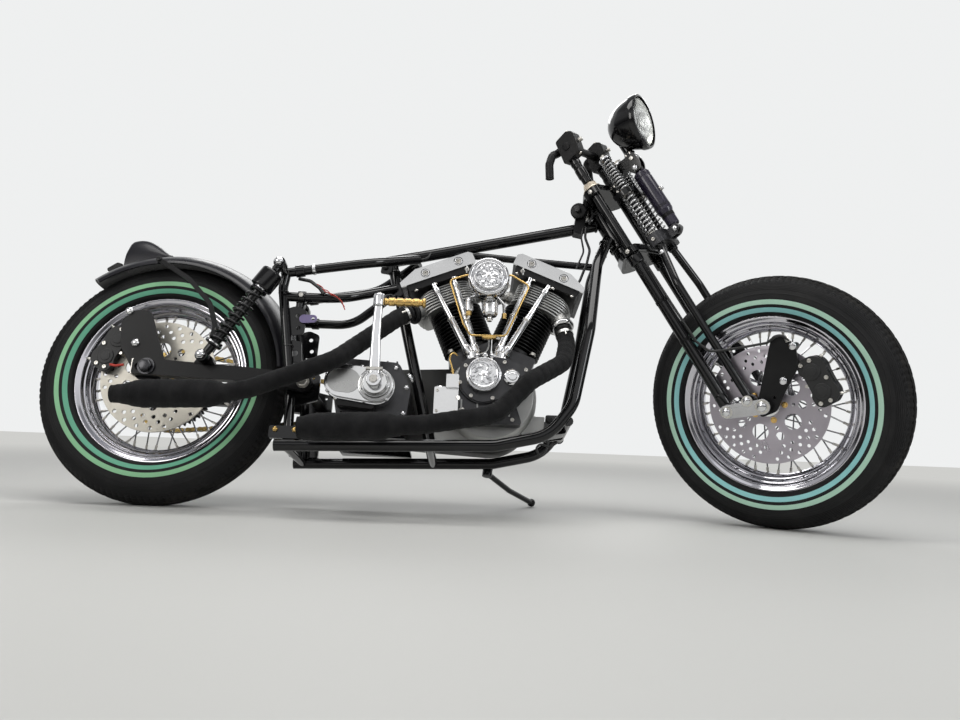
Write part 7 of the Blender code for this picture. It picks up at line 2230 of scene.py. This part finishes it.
def frame_trims():
    piece = Piece("wiring", "frame", BIKE)
    runs = (
        ([right(0.34, 0.105, 0.585), right(0.372, 0.114, 0.576), right(0.398, 0.118, 0.556),
          right(0.41, 0.118, 0.54)], 0.0046, "wire_black"),
        ([right(0.398, 0.118, 0.556), right(0.414, 0.116, 0.54), right(0.44, 0.112, 0.534),
          right(0.458, 0.108, 0.52)], 0.0016, "wire_black"),
        ([right(0.39, 0.119, 0.566), right(0.404, 0.118, 0.56), right(0.412, 0.118, 0.546),
          right(0.436, 0.114, 0.541), right(0.456, 0.11, 0.526),
          right(0.466, 0.107, 0.503)], 0.0014, "red"),
        ([right(0.394, 0.117, 0.56), right(0.402, 0.116, 0.544), right(0.42, 0.114, 0.547),
          right(0.448, 0.11, 0.53), right(0.464, 0.106, 0.512)],
         0.0013, "red"),
        ([right(0.4, 0.119, 0.552), right(0.418, 0.117, 0.552), right(0.43, 0.115, 0.538)], 0.0013, "red"),
        ([(0.6715, -0.01, 0.722), (0.672, -0.016, 0.712), (0.664, -0.02, 0.696), (0.64, -0.018, 0.69),
          (0.6, -0.01, 0.684)], 0.003, "wire_black"),
        ([(1.098, -0.036, 0.8), (1.094, -0.04, 0.768), (1.108, -0.036, 0.732), (1.1, -0.034, 0.695),
          (1.08, -0.03, 0.64), (1.04, -0.04, 0.6)], 0.0036, "wire_black"),
        ([(1.09, -0.03, 0.8), (1.084, -0.036, 0.77), (1.092, -0.03, 0.73), (1.072, -0.026, 0.68)], 0.0026,
         "wire_black"),
        ([(1.0, -0.04, 0.196), (0.99, -0.052, 0.158), (0.976, -0.056, 0.15), (0.965, -0.054, 0.172),
          (0.979, -0.05, 0.186), (1.0, -0.046, 0.176), (1.02, -0.044, 0.19)], 0.0028, "wire_black"),
    )
    for path, radius, mat in runs:
        piece.add(bar(path, radius, 0.03, 14, 8), mat)
    piece.done(sharp=60)
    coil = Piece("coil_and_switch", "frame", BIKE)
    coil.add(drum((1.088, -0.006, 0.858), (0.35, 0.9, 0.2), 0.0225, -0.036, 0.03, 40, 0.004), "satin_black")
    coil.add(drum((1.088, -0.006, 0.858), (0.35, 0.9, 0.2), 0.0238, -0.01, 0.006, 40, 0.001), "zinc")
    coil.add(drum((1.074, -0.042, 0.852), (-0.35, -0.9, -0.2), 0.0085, -0.004, 0.01, 24, 0.001), "wire_black")
    coil.add(prism(corner_rounded([(1.064, 0.792), (1.092, 0.786), (1.1, 0.836), (1.072, 0.846)], 0.004),
                   -0.022, 0.01), "engine_black")
    coil.add(bar([(1.098, -0.03, 0.872), (1.112, -0.034, 0.862), (1.116, -0.036, 0.84), (1.106, -0.036, 0.812)],
                 0.0034, 0.012, 14), "wire_black")
    coil.done(sharp=40, bevel=0.001)
    nuts = Piece("carburettor_studs", "frame", BIKE)
    for x, z in ((0.81, 0.393), (0.83, 0.396), (0.847, 0.394)):
        nuts.add(drum((x, -0.112, z - 0.016), UP, 0.0038, -0.012, 0.014, 16), "zinc")
        nuts.add(acorn((x, -0.112, z - 0.008), UP, 0.0066, 0.013), "chrome")
    nuts.add(turned((0.899, -0.112, 0.337), RIGHT, softened([(0.0, -0.002), (0.02, -0.002), (0.0218, 0.001),
            (0.021, 0.006), (0.016, 0.0095), (0.01, 0.01), (0.009, 0.0075), (0.0, 0.0075)], 0.0006), 48),
             "chrome")
    nuts.done(sharp=40)


def fork_trims():
    piece = Piece("brake_hose", "fork", FORK)
    hose = [(0.262, -0.098, -0.52), (0.258, -0.101, -0.5), (0.24, -0.104, -0.494), (0.219, -0.103, -0.497),
            (0.165, -0.1, -0.475), (0.114, -0.098, -0.453), (0.088, -0.104, -0.438), (0.074, -0.108, -0.4),
            (0.072, -0.108, -0.25), (0.071, -0.106, -0.15)]
    piece.add(bar(hose, 0.0032, 0.02, 16, 8), "wire_black")
    for z in (-0.38, -0.26):
        piece.add(turned((0.0475, -0.089, z), UP, [(0.0157, -0.004), (0.0168, -0.004), (0.0168, 0.004),
                                                   (0.0157, 0.004)], 36), "satin_black")
        piece.add(drum((0.066, -0.104, z), UP, 0.0052, -0.003, 0.003, 16), "satin_black")
    piece.add(drum((0.26, -0.0965, -0.512), (0.2, 0, 1), 0.0056, -0.008, 0.008, 6), "zinc")
    tab = corner_rounded([(0.062, -0.42), (0.098, -0.432), (0.104, -0.5), (0.06, -0.52)], 0.006)
    piece.add(plate(tab, [circle(0.088, -0.446, 0.0045, 18), circle(0.09, -0.474, 0.0045, 18),
                          circle(0.084, -0.498, 0.0045, 18)], 0.084, 0.088), "gloss_black")
    piece.done(sharp=60)


def side_stand():
    piece = Piece("stand_leg", "stand", BIKE)
    elbow = Vector((0.915, 0.235, 0.108))
    foot = Vector((0.985, 0.33, 0.0897))
    axis = BIKE.to_3x3().inverted() @ Vector(JOINTS["side_stand_fold"]["axis"])
    piece.add(bar([STAND_PIVOT, elbow, foot], 0.0078, 0.05, 24, 10), "gloss_black")
    piece.add(turned(STAND_PIVOT, axis, softened([(0.0, -0.0088), (0.0138, -0.0088), (0.0138, 0.0088),
                                                  (0.0, 0.0088)], 0.0012), 40), "gloss_black")
    piece.add(turned(foot, UP, [(0.0, -0.0118), (0.006, -0.0102), (0.01, -0.006), (0.0118, 0.0), (0.01, 0.006),
                                (0.006, 0.0102), (0.0, 0.0118)], 32), "satin_black")
    piece.done("side_stand", sharp=50)


camera()
studio()

tyre_mesh = tyre_shape()
tyre("tyre_rear", REAR_AXLE, "rear_wheel_set", "rear_tyre", tyre_mesh, "teal_rear", "mint_rear")
tyre("tyre_front", FRONT_AXLE, "front_wheel_set", "front_tyre", tyre_mesh, "teal", "mint")
wheel("spoke_wheel_rear", REAR_AXLE, "rear_wheel_set", "rear_wheel", 0.084)
wheel("spoke_wheel_front", FRONT_AXLE, "front_wheel_set", "front_wheel", 0.066)
brake_disc("disc_rear", REAR_AXLE, "rear_wheel_set", "rear_disc", "disc_rear", 0.3, 24, 0.0052)
brake_disc("disc_front", FRONT_AXLE, "front_wheel_set", "front_disc", "disc_front", 0.62, 30, 0.0044)
sprocket()
chain()
frame_tubes()
head_and_backbone()
cross_members()
for side, word in ((-1, "right"), (1, "left")):
    subframe(side, word)
seat_post()
swingarm()
fender()
tail_lamp()
for side, word in ((-1, "right"), (1, "left")):
    shock(side, word)
rear_brake()
crankcase()
timer_cover()
oil_housing()
for side, word in ((-1, "rear"), (1, "front")):
    barrel(side, word)
    cylinder_head(side, word)
    rocker_box(side, word)
    pushrods(side, word)
carburettor()
air_cleaner()
oil_line()
gear_case()
kick_cover()
kick_starter()
primary_cover()
exhausts()
rigid_fork()
spring_bracket()
spring_fork()
for side, word in ((-1, "right"), (1, "left")):
    springs(side, word)
    rocker(side, word)
damper()
handlebar()
headlamp()
front_brake()
side_stand()
frame_trims()
fork_trims()
